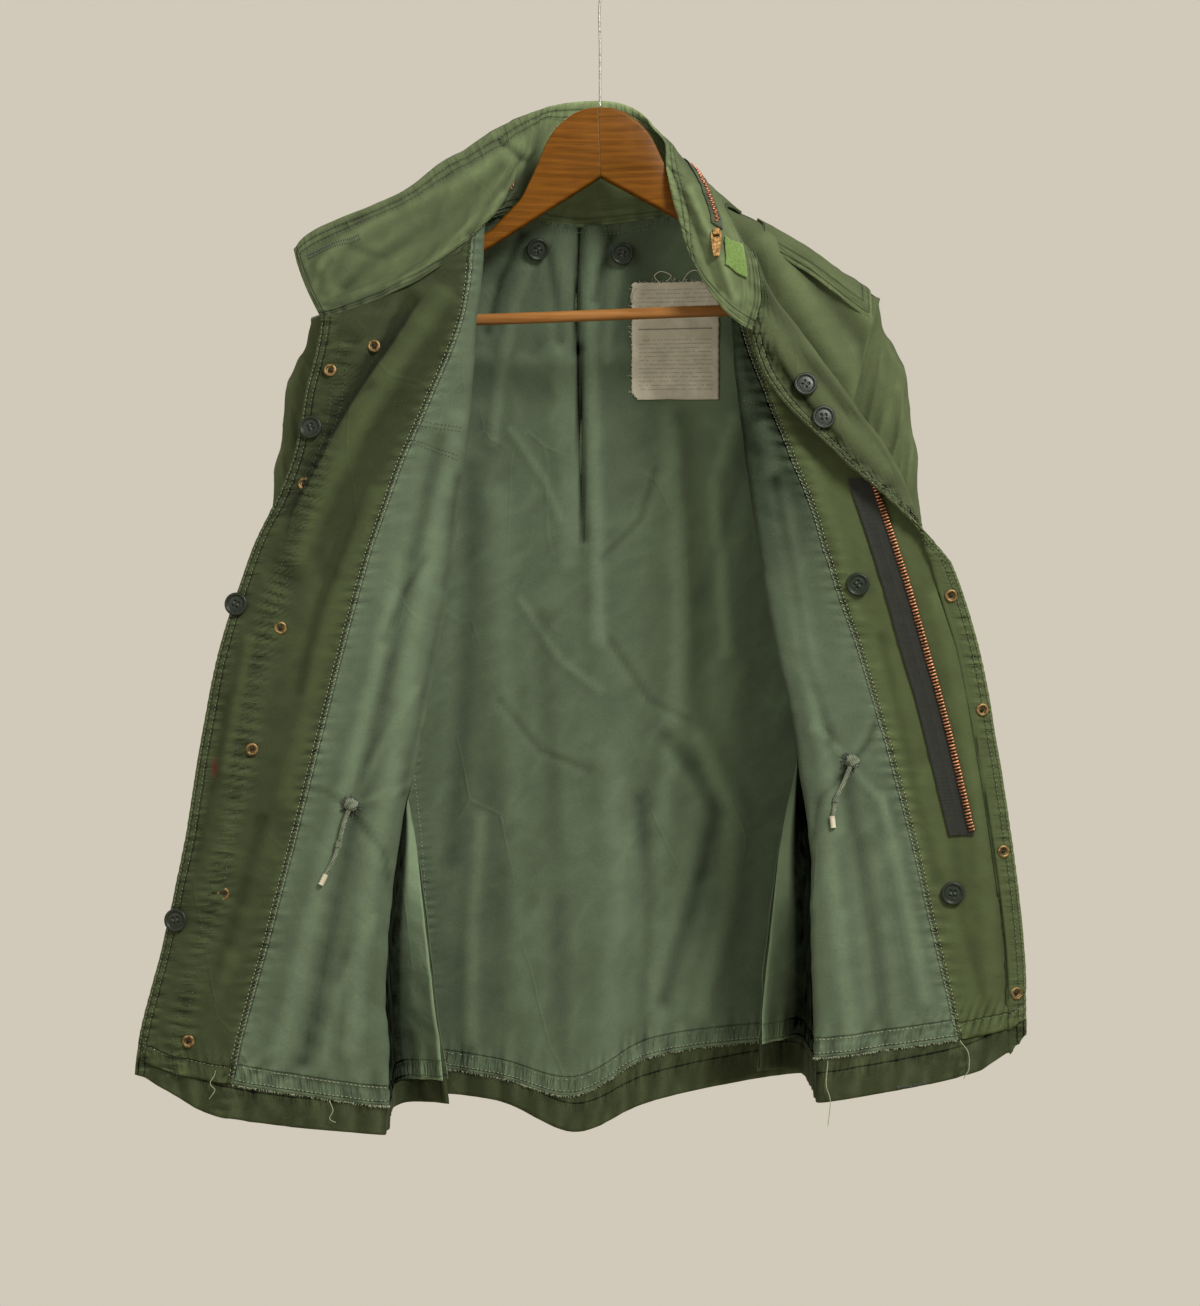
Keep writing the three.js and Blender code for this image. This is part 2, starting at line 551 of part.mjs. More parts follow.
function addSleeve(name, sleeve) {
  const half = TOP_SLEEVE_STEPS / SLEEVE_STEPS / 2;
  const span = (from, to, steps) => Array.from({ length: steps + 1 }, (_, k) => (
    from + SLEEVE_SEAM_TRIM + (to - from - 2 * SLEEVE_SEAM_TRIM) * (k / steps)
  ));
  const pieces = {
    sleeve_top: span(-half, half, TOP_SLEEVE_STEPS),
    sleeve_under: span(half, 1 - half, SLEEVE_STEPS - TOP_SLEEVE_STEPS),
  };
  Object.entries(pieces).forEach(([piece, turns]) => {
    const grid = sleeveGrid(sleeve, sleeve.sign > 0 ? turns : [...turns].reverse());
    addMesh(`${piece}_${name}`, wall(grid, -SLEEVE_WALL / 2, SLEEVE_WALL / 2), COLOURS.shell);
  });
}

addSleeve("left", SLEEVES.left);
addSleeve("right", SLEEVES.right);

// Places on the panels

// The point of a panel's grid at place s and height z, with the normal there, both taken
// evenly between its columns and rows.
function gridSpot(panel, s, z) {
  let i = 0;
  while (i < panel.places.length - 2 && panel.places[i + 1] <= s) i += 1;
  const t = (s - panel.places[i]) / (panel.places[i + 1] - panel.places[i]);
  const onColumn = (at) => {
    const column = panel.grid[at];
    let j = 0;
    while (j < column.length - 2 && column[j + 1].z > z) j += 1;
    const down = (column[j].z - z) / (column[j].z - column[j + 1].z);
    return {
      point: column[j].clone().lerp(column[j + 1], down),
      normal: panel.normals[at][j].clone().lerp(panel.normals[at][j + 1], down),
    };
  };
  const [here, next] = [onColumn(i), onColumn(i + 1)];
  return { point: here.point.lerp(next.point, t), normal: here.normal.lerp(next.normal, t) };
}

// The point at a width x and height z on a panel, between two places of its section, with the
// normal on the side that faces the viewer.
function spotOn(panel, from, to, x, z) {
  let [low, high] = [from, to];
  const rising = gridSpot(panel, to, z).point.x > gridSpot(panel, from, z).point.x;
  for (let step = 0; step < 30; step += 1) {
    const middle = (low + high) / 2;
    if ((gridSpot(panel, middle, z).point.x < x) === rising) low = middle;
    else high = middle;
  }
  const spot = gridSpot(panel, low, z);
  if (spot.normal.y > 0) spot.normal.negate();
  return spot;
}

// Stretches of a panel's section on which things are placed, from one place to another.
const STRETCH = {
  leftFront: [3.2, 5.98], rightFront: [3.2, 4.9], band: [6.1, 6.98], rightEdge: [5.2, 6.98], back: [2, 8],
};

function turnTo(mesh, normal) {
  mesh.quaternion.setFromUnitVectors(new THREE.Vector3(0, 1, 0), normal.clone().normalize());
}

// A round fastener turned from a profile of [radius, height] pairs, seated on a panel.
function addRound(name, profile, sides, spot, seat, colour, roughness, metalness) {
  const points = profile.map(([radius, height]) => new THREE.Vector2(radius, height));
  const mesh = addMesh(name, new THREE.LatheGeometry(points, sides), colour, roughness, metalness);
  mesh.position.copy(spot.point).addScaledVector(spot.normal, seat);
  turnTo(mesh, spot.normal);
}

// Buttons and snaps, each on a stretch of a panel

const BUTTONS = [
  { panel: "leftFront", on: "leftFront", x: -234, z: -401 },
  { panel: "leftFront", on: "leftFront", x: -294, z: -544 },
  { panel: "leftFront", on: "leftFront", x: -342, z: -800 },
  { panel: "rightFront", on: "band", x: 166, z: -367 },
  { panel: "rightFront", on: "band", x: 181, z: -393 },
  { panel: "rightFront", on: "rightFront", x: 209, z: -528 },
  { panel: "rightFront", on: "rightFront", x: 285, z: -778 },
  { panel: "back", on: "back", x: -54, z: -242 },
  { panel: "back", on: "back", x: 19, z: -245 },
];

const SNAPS = [
  { panel: "leftFront", on: "leftFront", x: -218, z: -354 },
  { panel: "leftFront", on: "leftFront", x: -184, z: -334 },
  { panel: "leftFront", on: "leftFront", x: -240, z: -446 },
  { panel: "leftFront", on: "leftFront", x: -259, z: -563 },
  { panel: "leftFront", on: "leftFront", x: -282, z: -662 },
  { panel: "leftFront", on: "leftFront", x: -305, z: -779 },
  { panel: "leftFront", on: "leftFront", x: -333, z: -898 },
  { panel: "rightFront", on: "rightEdge", x: 284, z: -537 },
  { panel: "rightFront", on: "rightEdge", x: 309, z: -630 },
  { panel: "rightFront", on: "rightEdge", x: 326, z: -745 },
  { panel: "rightFront", on: "rightEdge", x: 336, z: -858 },
];

const BUTTON_RADIUS = BUTTON_DIAMETER / 2;
const SHANK_RADIUS = 2.4;
const SHANK_HEIGHT = 1;
// Each point of a profile is its radius and height.
const BUTTON_PROFILE = [
  [0, -SHANK_HEIGHT],
  [SHANK_RADIUS, -SHANK_HEIGHT],
  [SHANK_RADIUS, 0],
  [BUTTON_RADIUS - 1, 0],
  [BUTTON_RADIUS, BUTTON_THICKNESS * 0.5],
  [BUTTON_RADIUS - 1.2, BUTTON_THICKNESS],
  [BUTTON_RADIUS - 3, BUTTON_THICKNESS * 0.7],
  [0, BUTTON_THICKNESS * 0.7],
];
const SNAP_RADIUS = SNAP_DIAMETER / 2;
const SNAP_PROFILE = [
  [0, 0],
  [SNAP_RADIUS, 0],
  [SNAP_RADIUS - 0.8, SNAP_HEIGHT],
  [SNAP_RADIUS / 2, SNAP_HEIGHT],
  [SNAP_RADIUS / 2, SNAP_HEIGHT / 2],
  [0, SNAP_HEIGHT / 2],
];
const BUTTON_SIDES = 10;
const SNAP_SIDES = 8;
const FASTENER_GAP = 0.5;
const FACING_SEAT = HALF_GAP + FACING_WALL + FASTENER_GAP;
const BAND_SEAT = HALF_GAP + SHELL_WALL + FASTENER_GAP;

BUTTONS.forEach(({ panel, on, x, z }, k) => {
  const spot = spotOn(PANELS[panel], ...STRETCH[on], x, z);
  const seat = (on === "band" ? BAND_SEAT : FACING_SEAT) + SHANK_HEIGHT;
  addRound(`button_${k + 1}`, BUTTON_PROFILE, BUTTON_SIDES, spot, seat, COLOURS.button, 0.35);
});

SNAPS.forEach(({ panel, on, x, z }, k) => {
  const spot = spotOn(PANELS[panel], ...STRETCH[on], x, z);
  addRound(`snap_${k + 1}`, SNAP_PROFILE, SNAP_SIDES, spot, FACING_SEAT, COLOURS.brass, 0.4, 0.8);
});

// Flat pieces on the panels

// A grid between two edges on a panel's layer. Each row is [z, x on the left, x on the right].
function patchGrid(panel, span, rows, columns) {
  const at = Array.from({ length: columns }, (_, k) => k / (columns - 1));
  return at.map((t) => rows.map(([z, left, right]) => {
    const { point, normal } = spotOn(panel, ...span, left + (right - left) * t, z);
    return { point, normal };
  }));
}

// A wall on a patch of a panel, between two heights over its middle surface. A height
// below zero lies on the side away from the viewer.
function addPatch(name, panel, span, rows, columns, from, thickness, colour) {
  const grid = patchGrid(panel, span, rows, columns);
  const raised = (height) => grid.map((column) => column.map(({ point, normal }) => (
    point.clone().addScaledVector(normal, height)
  )));
  const [near, far] = from > 0 ? [from, from + thickness] : [from - thickness, from];
  addMesh(name, wallGeometry(raised(far), raised(near)), colour);
}

const LABEL_TOP = -270;
const LABEL_LEFT = 27;
const LABEL_CORNER = 5;
const LABEL_ROWS = [0, 0.25, 0.5, 0.75, 1].map((t) => [
  LABEL_TOP - LABEL_HEIGHT * t, LABEL_LEFT + (t === 1 ? LABEL_CORNER : 0), LABEL_LEFT + LABEL_WIDTH,
]);
const LABEL_SEAT = HALF_GAP + LINING_WALL + 0.5;
addPatch("label", PANELS.back, STRETCH.back, LABEL_ROWS, 6, LABEL_SEAT, 0.8, COLOURS.label);

const TAPE_WALL = 1;
const TAPE_SEAT = HALF_GAP + FACING_WALL + 0.8;
const RIGHT_TAPE = [
  { z: -442, x: 201 }, { z: -490, x: 217 }, { z: -535, x: 231 }, { z: -585, x: 245 },
  { z: -631, x: 258 }, { z: -680, x: 270 }, { z: -731, x: 282 },
];
addPatch("zip_tape_right", PANELS.rightFront, STRETCH.rightFront,
  RIGHT_TAPE.map(({ z, x }) => [z, x, x + ZIP_TAPE_WIDTH]), 3, TAPE_SEAT, TAPE_WALL, COLOURS.tape);

const LEFT_TAPE = { top: -362, step: -68, rows: 8, inset: 8 };
const BEHIND_SEAT = -(HALF_GAP + SHELL_WALL + 1.6);
addPatch("zip_tape_left", PANELS.leftFront, STRETCH.leftFront,
  Array.from({ length: LEFT_TAPE.rows }, (_, k) => {
    const z = LEFT_TAPE.top + LEFT_TAPE.step * k;
    const edge = foldAt(LEFT_FRONT, "edge", z)[0] + LEFT_TAPE.inset;
    return [z, edge, edge + ZIP_TAPE_WIDTH];
  }), 3, BEHIND_SEAT, TAPE_WALL, COLOURS.tape);

// Patch pockets and their flaps, on the outer face of each front. Each row is the pocket's
// top, its height, its inner edge's distance past the roll, and its width.
const POCKETS = [
  { name: "pocket_chest", top: -356, height: 150, fromRoll: 16, width: 92 },
  { name: "pocket_hip", top: -650, height: 205, fromRoll: 26, width: 106 },
];
const POCKET_ROWS = 6;
const POCKET_COLUMNS = 6;
const FLAP_HEIGHT = 62;
const FLAP_OVERHANG = 3;
const FLAP_RISE = 8;
const FLAP_ROWS = 4;
const POCKET_SEAT = -(HALF_GAP + SHELL_WALL + 1.6);
const FLAP_SEAT = POCKET_SEAT - POCKET_WALL - 1.25;

function pocketRows(table, sign, top, height, fromRoll, width, rows) {
  return Array.from({ length: rows }, (_, k) => {
    const z = top - height * (k / (rows - 1));
    const inner = foldAt(table, "roll", top - height / 2)[0] + sign * fromRoll;
    const slant = (foldAt(table, "seam", z)[0] - foldAt(table, "seam", top - height / 2)[0]) * 0.6;
    const ends = [inner + slant, inner + slant + sign * width];
    return [z, Math.min(...ends), Math.max(...ends)];
  });
}

const POCKET_SIDES = [
  { side: "left", panel: PANELS.leftFront, sign: -1, span: [3.1, 5.98] },
  { side: "right", panel: PANELS.rightFront, sign: 1, span: [3.1, 4.95] },
];

POCKET_SIDES.forEach(({ side, panel, sign, span }) => {
  POCKETS.forEach(({ name, top, height, fromRoll, width }) => {
    const pocket = pocketRows(panel.table, sign, top, height, fromRoll, width, POCKET_ROWS);
    addPatch(`${name}_${side}`, panel, span, pocket, POCKET_COLUMNS, POCKET_SEAT, POCKET_WALL,
      COLOURS.shell);
    const flap = pocketRows(panel.table, sign, top + FLAP_RISE, FLAP_HEIGHT, fromRoll - FLAP_OVERHANG,
      width + 2 * FLAP_OVERHANG, FLAP_ROWS);
    addPatch(`${name}_flap_${side}`, panel, span, flap, POCKET_COLUMNS, FLAP_SEAT, POCKET_WALL,
      COLOURS.shell);
  });
});

// Shoulder loops: a strip along each shoulder seam, bent over its ridge

const LOOP_DROPS = [20, 12, 5, 0];
const LOOP_STEPS = 6;
const LOOP_WALL = 1.4;
const LOOP_SEAT = HALF_GAP + SHELL_WALL + 1.2;
const LOOP_RISE = 3;

function addShoulderLoop(name, front, frontSpan, backSpan, from, to) {
  const columns = Array.from({ length: LOOP_STEPS + 1 }, (_, k) => {
    const x = from + (to - from) * (k / LOOP_STEPS);
    const side = (panel, span, drop) => {
      let [low, high] = span;
      const rising = panelPoint(panel, high, -400).x > panelPoint(panel, low, -400).x;
      for (let step = 0; step < 30; step += 1) {
        const middle = (low + high) / 2;
        const z = endAt(panel.ends.top, panel.stops, middle) - drop;
        if ((panelPoint(panel, middle, z).x < x) === rising) low = middle;
        else high = middle;
      }
      const z = endAt(panel.ends.top, panel.stops, low) - drop;
      const point = panelPoint(panel, low, z);
      point.y += panel.behind * LOOP_SEAT;
      if (drop === 0) point.z += LOOP_RISE;
      return point;
    };
    return [
      ...LOOP_DROPS.map((drop) => side(front, frontSpan, drop)),
      ...[...LOOP_DROPS].reverse().map((drop) => side(PANELS.back, backSpan, drop)),
    ];
  });
  const grid = to > from ? columns : columns.reverse();
  addMesh(name, wall(grid, 0, LOOP_WALL), COLOURS.shell);
}

addShoulderLoop("shoulder_loop_right", PANELS.rightFront, [0.05, 1.5], [7.2, 9.9], 128, 224);
addShoulderLoop("shoulder_loop_left", PANELS.leftFront, [0.05, 1.5], [0.1, 2.9], -128, -230);

// Hood zip on the collar's outer face

const COLLAR_OUT = -(COLLAR_WALL / 2);
const collarNormals = gridNormals(collarGrid);

// The collar's place at row r, which may lie between two rows, and height v. The normal
// points out of the collar's outer face.
function collarSpot(r, v) {
  const row = Math.min(Math.floor(r), COLLAR_ROWS.length - 2);
  const column = Math.min(Math.floor(v * 5), 4);
  const mix = (grid) => {
    const low = grid[row][column].clone().lerp(grid[row][column + 1], v * 5 - column);
    const high = grid[row + 1][column].clone().lerp(grid[row + 1][column + 1], v * 5 - column);
    return low.lerp(high, r - row);
  };
  return { point: mix(collarGrid), normal: mix(collarNormals).normalize().negate() };
}

const HOOD_ZIP = { from: 4, to: 17.3, low: 0.42, high: 0.58, seat: 1, thickness: 1.1 };
const GRIP = { from: 17.5, to: 18.6, low: 0.14, high: 0.4, seat: 1, thickness: 1.2 };

// A strip on the collar's outer face, with a column at each of the collar's rows.
function collarPatch({ from, to, low, high, seat, thickness }) {
  const columns = [from, ...COLLAR_ROWS.keys(), to].filter((r, k, all) => (
    r >= from && r <= to && all.indexOf(r) === k
  )).sort((p, q) => p - q);
  const grid = (height) => columns.map((r) => [low, (low + high) / 2, high].map((v) => {
    const { point, normal } = collarSpot(r, v);
    return point.addScaledVector(normal, height);
  }));
  const face = -COLLAR_OUT + seat;
  return wallGeometry(grid(face + thickness), grid(face));
}

addMesh("hood_zip_tape", collarPatch(HOOD_ZIP), COLOURS.tape);
addMesh("collar_grip", collarPatch(GRIP), COLOURS.grip);

// Hood zip slider and pull tab, in their own frame: +Y along the zip, +Z off the collar

const SLIDER = {
  length: 9, width: 5, base: 2.2, arch: 6.6, holeLength: 4.2, holeHeight: 2.2, roof: 1, slope: 1,
};
const SLIDER_LIP = 0.02;
const TAB = {
  length: 22, width: 8.6, thickness: 1.1, window: 4.6, rail: 1.4, bar: 1.1, neck: 1.6, tip: 2.4,
};
const PIVOT_HEIGHT = SLIDER.base + SLIDER.holeHeight / 2;

function sliderFrame() {
  const here = collarSpot(17.6, 0.5);
  const ahead = collarSpot(18.6, 0.5);
  const along = ahead.point.clone().sub(here.point);
  const out = here.normal;
  along.addScaledVector(out, -along.dot(out)).normalize();
  const across = along.clone().cross(out);
  const matrix = new THREE.Matrix4().makeBasis(across, along, out);
  const origin = here.point.clone().addScaledVector(out, -COLLAR_OUT + 1.2);
  return { matrix, origin };
}

const slider = sliderFrame();

function place(mesh) {
  mesh.quaternion.setFromRotationMatrix(slider.matrix);
  mesh.position.copy(slider.origin);
}

function trace(path, points) {
  points.forEach(([x, y], k) => (k ? path.lineTo(x, y) : path.moveTo(x, y)));
  return path;
}

// The slider is its side view, drawn along and off the zip, pushed across its width.
function sliderGeometry() {
  const { length, width, base, arch, holeLength, holeHeight, roof, slope } = SLIDER;
  const [end, foot, mouth] = [length / 2, arch / 2, holeLength / 2];
  const [floor, ceiling] = [base + SLIDER_LIP, base + SLIDER_LIP + holeHeight];
  const top = ceiling + roof;
  const shape = trace(new THREE.Shape(), [
    [-end, 0], [end, 0], [end, base], [foot, base], [foot - slope, top], [slope - foot, top], [-foot, base],
    [-end, base],
  ]);
  shape.holes.push(trace(new THREE.Path(), [
    [-mouth, floor], [-mouth, ceiling], [mouth, ceiling], [mouth, floor],
  ]));
  const geometry = new THREE.ExtrudeGeometry(shape, { depth: width, bevelEnabled: false });
  geometry.translate(0, 0, -width / 2);
  geometry.applyMatrix4(new THREE.Matrix4().makeBasis(
    new THREE.Vector3(0, 1, 0), new THREE.Vector3(0, 0, 1), new THREE.Vector3(1, 0, 0),
  ));
  return geometry;
}

// The pull tab is a plate with a window, whose end bar runs through the slider's arch.
function tabGeometry() {
  const { length, width, thickness, window: opening, rail, bar, neck, tip } = TAB;
  const half = width / 2;
  const shape = trace(new THREE.Shape(), [
    [-half, -bar / 2], [half, -bar / 2], [half, opening + 1], [half - neck, length - tip],
    [half - tip, length], [tip - half, length], [neck - half, length - tip], [-half, opening + 1],
  ]);
  const inner = half - rail;
  shape.holes.push(trace(new THREE.Path(), [
    [-inner, bar / 2], [inner, bar / 2], [inner, opening], [-inner, opening],
  ]));
  const geometry = new THREE.ExtrudeGeometry(shape, { depth: thickness, bevelEnabled: false });
  geometry.translate(0, 0, PIVOT_HEIGHT - thickness / 2);
  return geometry;
}

place(addMesh("zip_slider", sliderGeometry(), COLOURS.brass, 0.4, 0.8));
place(addMesh("zip_pull", tabGeometry(), COLOURS.brass, 0.4, 0.8));

// Drawstring ends: a knot on the lining and a short hanging end

const CORDS = {
  left: [[-202, -711], [-206, -722], [-209, -735], [-213, -748], [-219, -760], [-224, -770]],
  right: [[201, -676], [196, -688], [190, -700], [188, -710], [187, -718], [185, -724]],
};
const CORD_SIDES = 8;
const CORD_STEPS = 10;
const KNOT_RADIUS = 4.6;
const CORD_CLEAR = 2.6;

// A tube along a curve: its section drawn once and pushed along the path.
function tubeGeometry(points, diameter, sides, steps) {
  const section = new THREE.Shape();
  for (let k = 0; k < sides; k += 1) {
    const angle = (2 * Math.PI * k) / sides;
    const [x, y] = [Math.cos(angle) * diameter / 2, Math.sin(angle) * diameter / 2];
    if (k) section.lineTo(x, y);
    else section.moveTo(x, y);
  }
  const extrudePath = new THREE.CatmullRomCurve3(points);
  return new THREE.ExtrudeGeometry(section, { steps, bevelEnabled: false, extrudePath });
}

const KNOT_PROFILE = [[0, -1], [0.75, -0.7], [1, 0], [0.75, 0.7], [0, 1]];
const KNOT_CLEAR = 0.4;

[["left", "leftFront"], ["right", "rightFront"]].forEach(([side, front]) => {
  const spots = CORDS[side].map(([x, z]) => spotOn(PANELS[front], ...STRETCH[front], x, z));
  const off = HALF_GAP + FACING_WALL + CORD_DIAMETER / 2 + CORD_CLEAR;
  const path = spots.map(({ point, normal }) => point.addScaledVector(normal, off));
  addMesh(`cord_${side}`, tubeGeometry(path, CORD_DIAMETER, CORD_SIDES, CORD_STEPS), COLOURS.cord);
  const profile = KNOT_PROFILE.map(([r, h]) => new THREE.Vector2(r, h).multiplyScalar(KNOT_RADIUS));
  const mesh = addMesh(`knot_${side}`, new THREE.LatheGeometry(profile, CORD_SIDES), COLOURS.cord);
  const back = path[0].clone().sub(path[1]).normalize();
  mesh.position.copy(path[0]).addScaledVector(back, KNOT_RADIUS + KNOT_CLEAR);
});

// Hanger, drawn level and then turned by its tilt

const HANGER_TILT = THREE.MathUtils.degToRad(2);
const HANGER_MIDDLE = 1;
const HANGER_BEVEL = 2.5;
const ARM_TOP = [
  [0.15, -131], [12, -132], [24, -137], [36, -147], [44, -158], [52, -177], [66, -204], [94, -231],
  [130, -247], [166, -266], [192, -284], [204, -296],
];
const ARM_FOOT = [
  [207, -304], [202, -314], [188, -313], [187.5, -295], [150, -275], [94, -244], [0.15, -189],
];
const BAR_HEIGHT = -303;
const BAR_END = 187;
const BAR_SIDES = 12;
const HOOK_STEM = -130.6;
const HOOK_SIDES = 6;
const HOOK_STEPS = 26;
const HOOK_BEND = -34;
const HOOK_CENTRE = HOOK_WIRE / 2 - HOOK_RADIUS;

const HANGER_PIVOT = new THREE.Vector3(-1.5, HANGER_MIDDLE, -131);
const tilted = new THREE.Group();
tilted.rotation.y = -HANGER_TILT;
tilted.position.copy(HANGER_PIVOT);
const hanger = new THREE.Group();
hanger.position.z = -HANGER_PIVOT.z;
tilted.add(hanger);
jacket.add(tilted);

[["left", -1], ["right", 1]].forEach(([side, sign]) => {
  const shape = new THREE.Shape();
  [...ARM_TOP, ...ARM_FOOT].forEach(([x, z], k) => {
    if (k) shape.lineTo(sign * x, z);
    else shape.moveTo(sign * x, z);
  });
  const depth = HANGER_THICKNESS - 2 * HANGER_BEVEL;
  const geometry = new THREE.ExtrudeGeometry(shape, {
    depth,
    bevelThickness: HANGER_BEVEL,
    bevelSize: HANGER_BEVEL,
    bevelOffset: 0.01 - HANGER_BEVEL,
    bevelSegments: 1,
  });
  geometry.translate(0, 0, -depth / 2);
  geometry.rotateX(Math.PI / 2);
  hanger.add(addMesh(`hanger_${side}`, geometry, COLOURS.wood, 0.45));
});

const bar = new THREE.CylinderGeometry(BAR_DIAMETER / 2, BAR_DIAMETER / 2, 2 * BAR_END, BAR_SIDES);
bar.rotateZ(Math.PI / 2);
bar.translate(0, 0, BAR_HEIGHT);
hanger.add(addMesh("hanger_bar", bar, COLOURS.wood, 0.45));

const HOOK_TURNS = [-50, -25, 0, 30, 60, 90, 120, 150, 180, 205];
const hookPath = [
  new THREE.Vector3(0, 0, HOOK_STEM),
  new THREE.Vector3(0, 0, (HOOK_STEM + HOOK_BEND) / 2),
  new THREE.Vector3(0, 0, HOOK_BEND - 8),
  ...HOOK_TURNS.map((degrees) => {
    const angle = THREE.MathUtils.degToRad(degrees);
    return new THREE.Vector3(HOOK_RADIUS * Math.cos(angle), 0, HOOK_CENTRE + HOOK_RADIUS * Math.sin(angle));
  }),
];
const hookTube = tubeGeometry(hookPath, HOOK_WIRE, HOOK_SIDES, HOOK_STEPS);
const hook = addMesh("hanger_hook", hookTube, COLOURS.steel, 0.3, 0.9);
hook.position.y = HANGER_MIDDLE;

export default jacket;
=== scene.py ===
import math

import bpy
import numpy as np
from bpy.props import FloatProperty, FloatVectorProperty, IntProperty, PointerProperty
from mathutils import Matrix


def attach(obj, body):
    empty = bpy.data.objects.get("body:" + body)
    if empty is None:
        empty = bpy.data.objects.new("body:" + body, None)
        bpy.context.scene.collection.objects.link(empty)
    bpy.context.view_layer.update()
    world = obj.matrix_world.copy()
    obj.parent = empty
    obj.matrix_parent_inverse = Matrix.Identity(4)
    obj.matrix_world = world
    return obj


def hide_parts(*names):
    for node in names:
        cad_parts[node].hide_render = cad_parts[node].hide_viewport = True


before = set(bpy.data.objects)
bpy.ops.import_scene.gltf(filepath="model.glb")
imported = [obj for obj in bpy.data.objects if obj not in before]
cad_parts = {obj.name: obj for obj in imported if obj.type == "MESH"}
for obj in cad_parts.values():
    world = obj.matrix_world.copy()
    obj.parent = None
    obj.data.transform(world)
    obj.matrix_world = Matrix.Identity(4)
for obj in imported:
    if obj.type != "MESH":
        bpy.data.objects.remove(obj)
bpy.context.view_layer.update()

bl_info = {
    "name": "Field Jacket on a Hanger",
    "version": (1, 0, 0),
    "blender": (4, 5, 0),
    "location": "View3D > Sidebar > Field Jacket",
    "description": "Builds a field jacket hanging open on a wooden hanger",
    "category": "Object",
}

MM = 0.001

# Fold tables of the three panels, in millimetres. Each row is a height, then x and y of each
# fold there. A third number is the radius of a fold that turns the cloth over.

LEFT_FRONT = [
    (-200, (-240, -8), (-166, -12), (-95, -10, 3), (-101, -22), (-144, -40), (-228, -46)),
    (-280, (-240, -9), (-166, -13), (-98, -20, 5), (-106, -32), (-146, -44), (-228, -47)),
    (-320, (-237, -12), (-166, -17), (-103, -27, 7), (-115, -38), (-157, -53), (-228, -49)),
    (-370, (-218, -17), (-165, -20), (-106, -31, 8), (-136, -43), (-188, -59), (-239, -52)),
    (-430, (-203, -14), (-164, -18), (-112, -34, 9), (-163, -47), (-225, -61), (-251, -55)),
    (-500, (-194, -6), (-164, -13), (-120, -38, 10), (-189, -50), (-257, -62), (-282, -58)),
    (-580, (-183, 0), (-163, -14), (-133, -45, 11), (-211, -53), (-287, -63), (-308, -60)),
    (-660, (-170, 4), (-160, -20), (-148, -54, 12), (-232, -57), (-301, -63), (-324, -60)),
    (-740, (-154, 4), (-164, -8), (-164, -60, 13), (-253, -60), (-314, -64), (-337, -60)),
    (-820, (-144, 2), (-172, 18), (-173, -62, 13), (-276, -62), (-330, -65), (-354, -60)),
    (-900, (-134, -2), (-174, 36), (-172, -62, 13), (-301, -63), (-347, -65), (-374, -60)),
    (-1000, (-124, -2), (-171, 40), (-172, -61, 13), (-322, -63), (-358, -65), (-382, -60)),
]

RIGHT_FRONT = [
    (-200, (233, -8), (166, -12), (103, -10, 3), (110, -18), (120, -30, 2), (122, -50)),
    (-240, (233, -8), (166, -12), (105, -13, 4), (110, -22), (122, -33, 3), (122, -50)),
    (-280, (233, -9), (165, -14), (107, -19, 5), (111, -30), (134, -40, 4), (122, -50)),
    (-320, (224, -14), (165, -18), (109, -26, 6), (115, -37), (160, -47, 5), (122, -53)),
    (-370, (211, -17), (164, -20), (114, -31, 8), (132, -43), (198, -52, 6), (141, -63)),
    (-430, (200, -14), (164, -18), (121, -34, 9), (155, -47), (237, -55, 6), (199, -66)),
    (-470, (195, -10), (164, -14), (127, -36, 10), (172, -49), (255, -58, 5), (245, -66)),
    (-510, (192, -5), (163, -13), (133, -38, 10), (185, -51), (268, -60, 3), (284, -64)),
    (-580, (183, 0), (164, -14), (145, -45, 11), (210, -53), (289, -61, 1), (307, -61)),
    (-660, (168, 4), (164, -22), (160, -55, 12), (235, -57), (304, -62, 1), (322, -60)),
    (-740, (151, 4), (164, -10), (170, -62, 13), (258, -60), (317, -63, 1), (334, -60)),
    (-820, (141, 2), (168, 16), (172, -64, 13), (279, -62), (327, -64, 1), (343, -60)),
    (-900, (134, -2), (170, 36), (174, -64, 13), (300, -63), (331, -64, 1), (345, -60)),
    (-1000, (130, -2), (169, 40), (175, -64, 13), (309, -63), (329, -64, 1), (340, -60)),
]

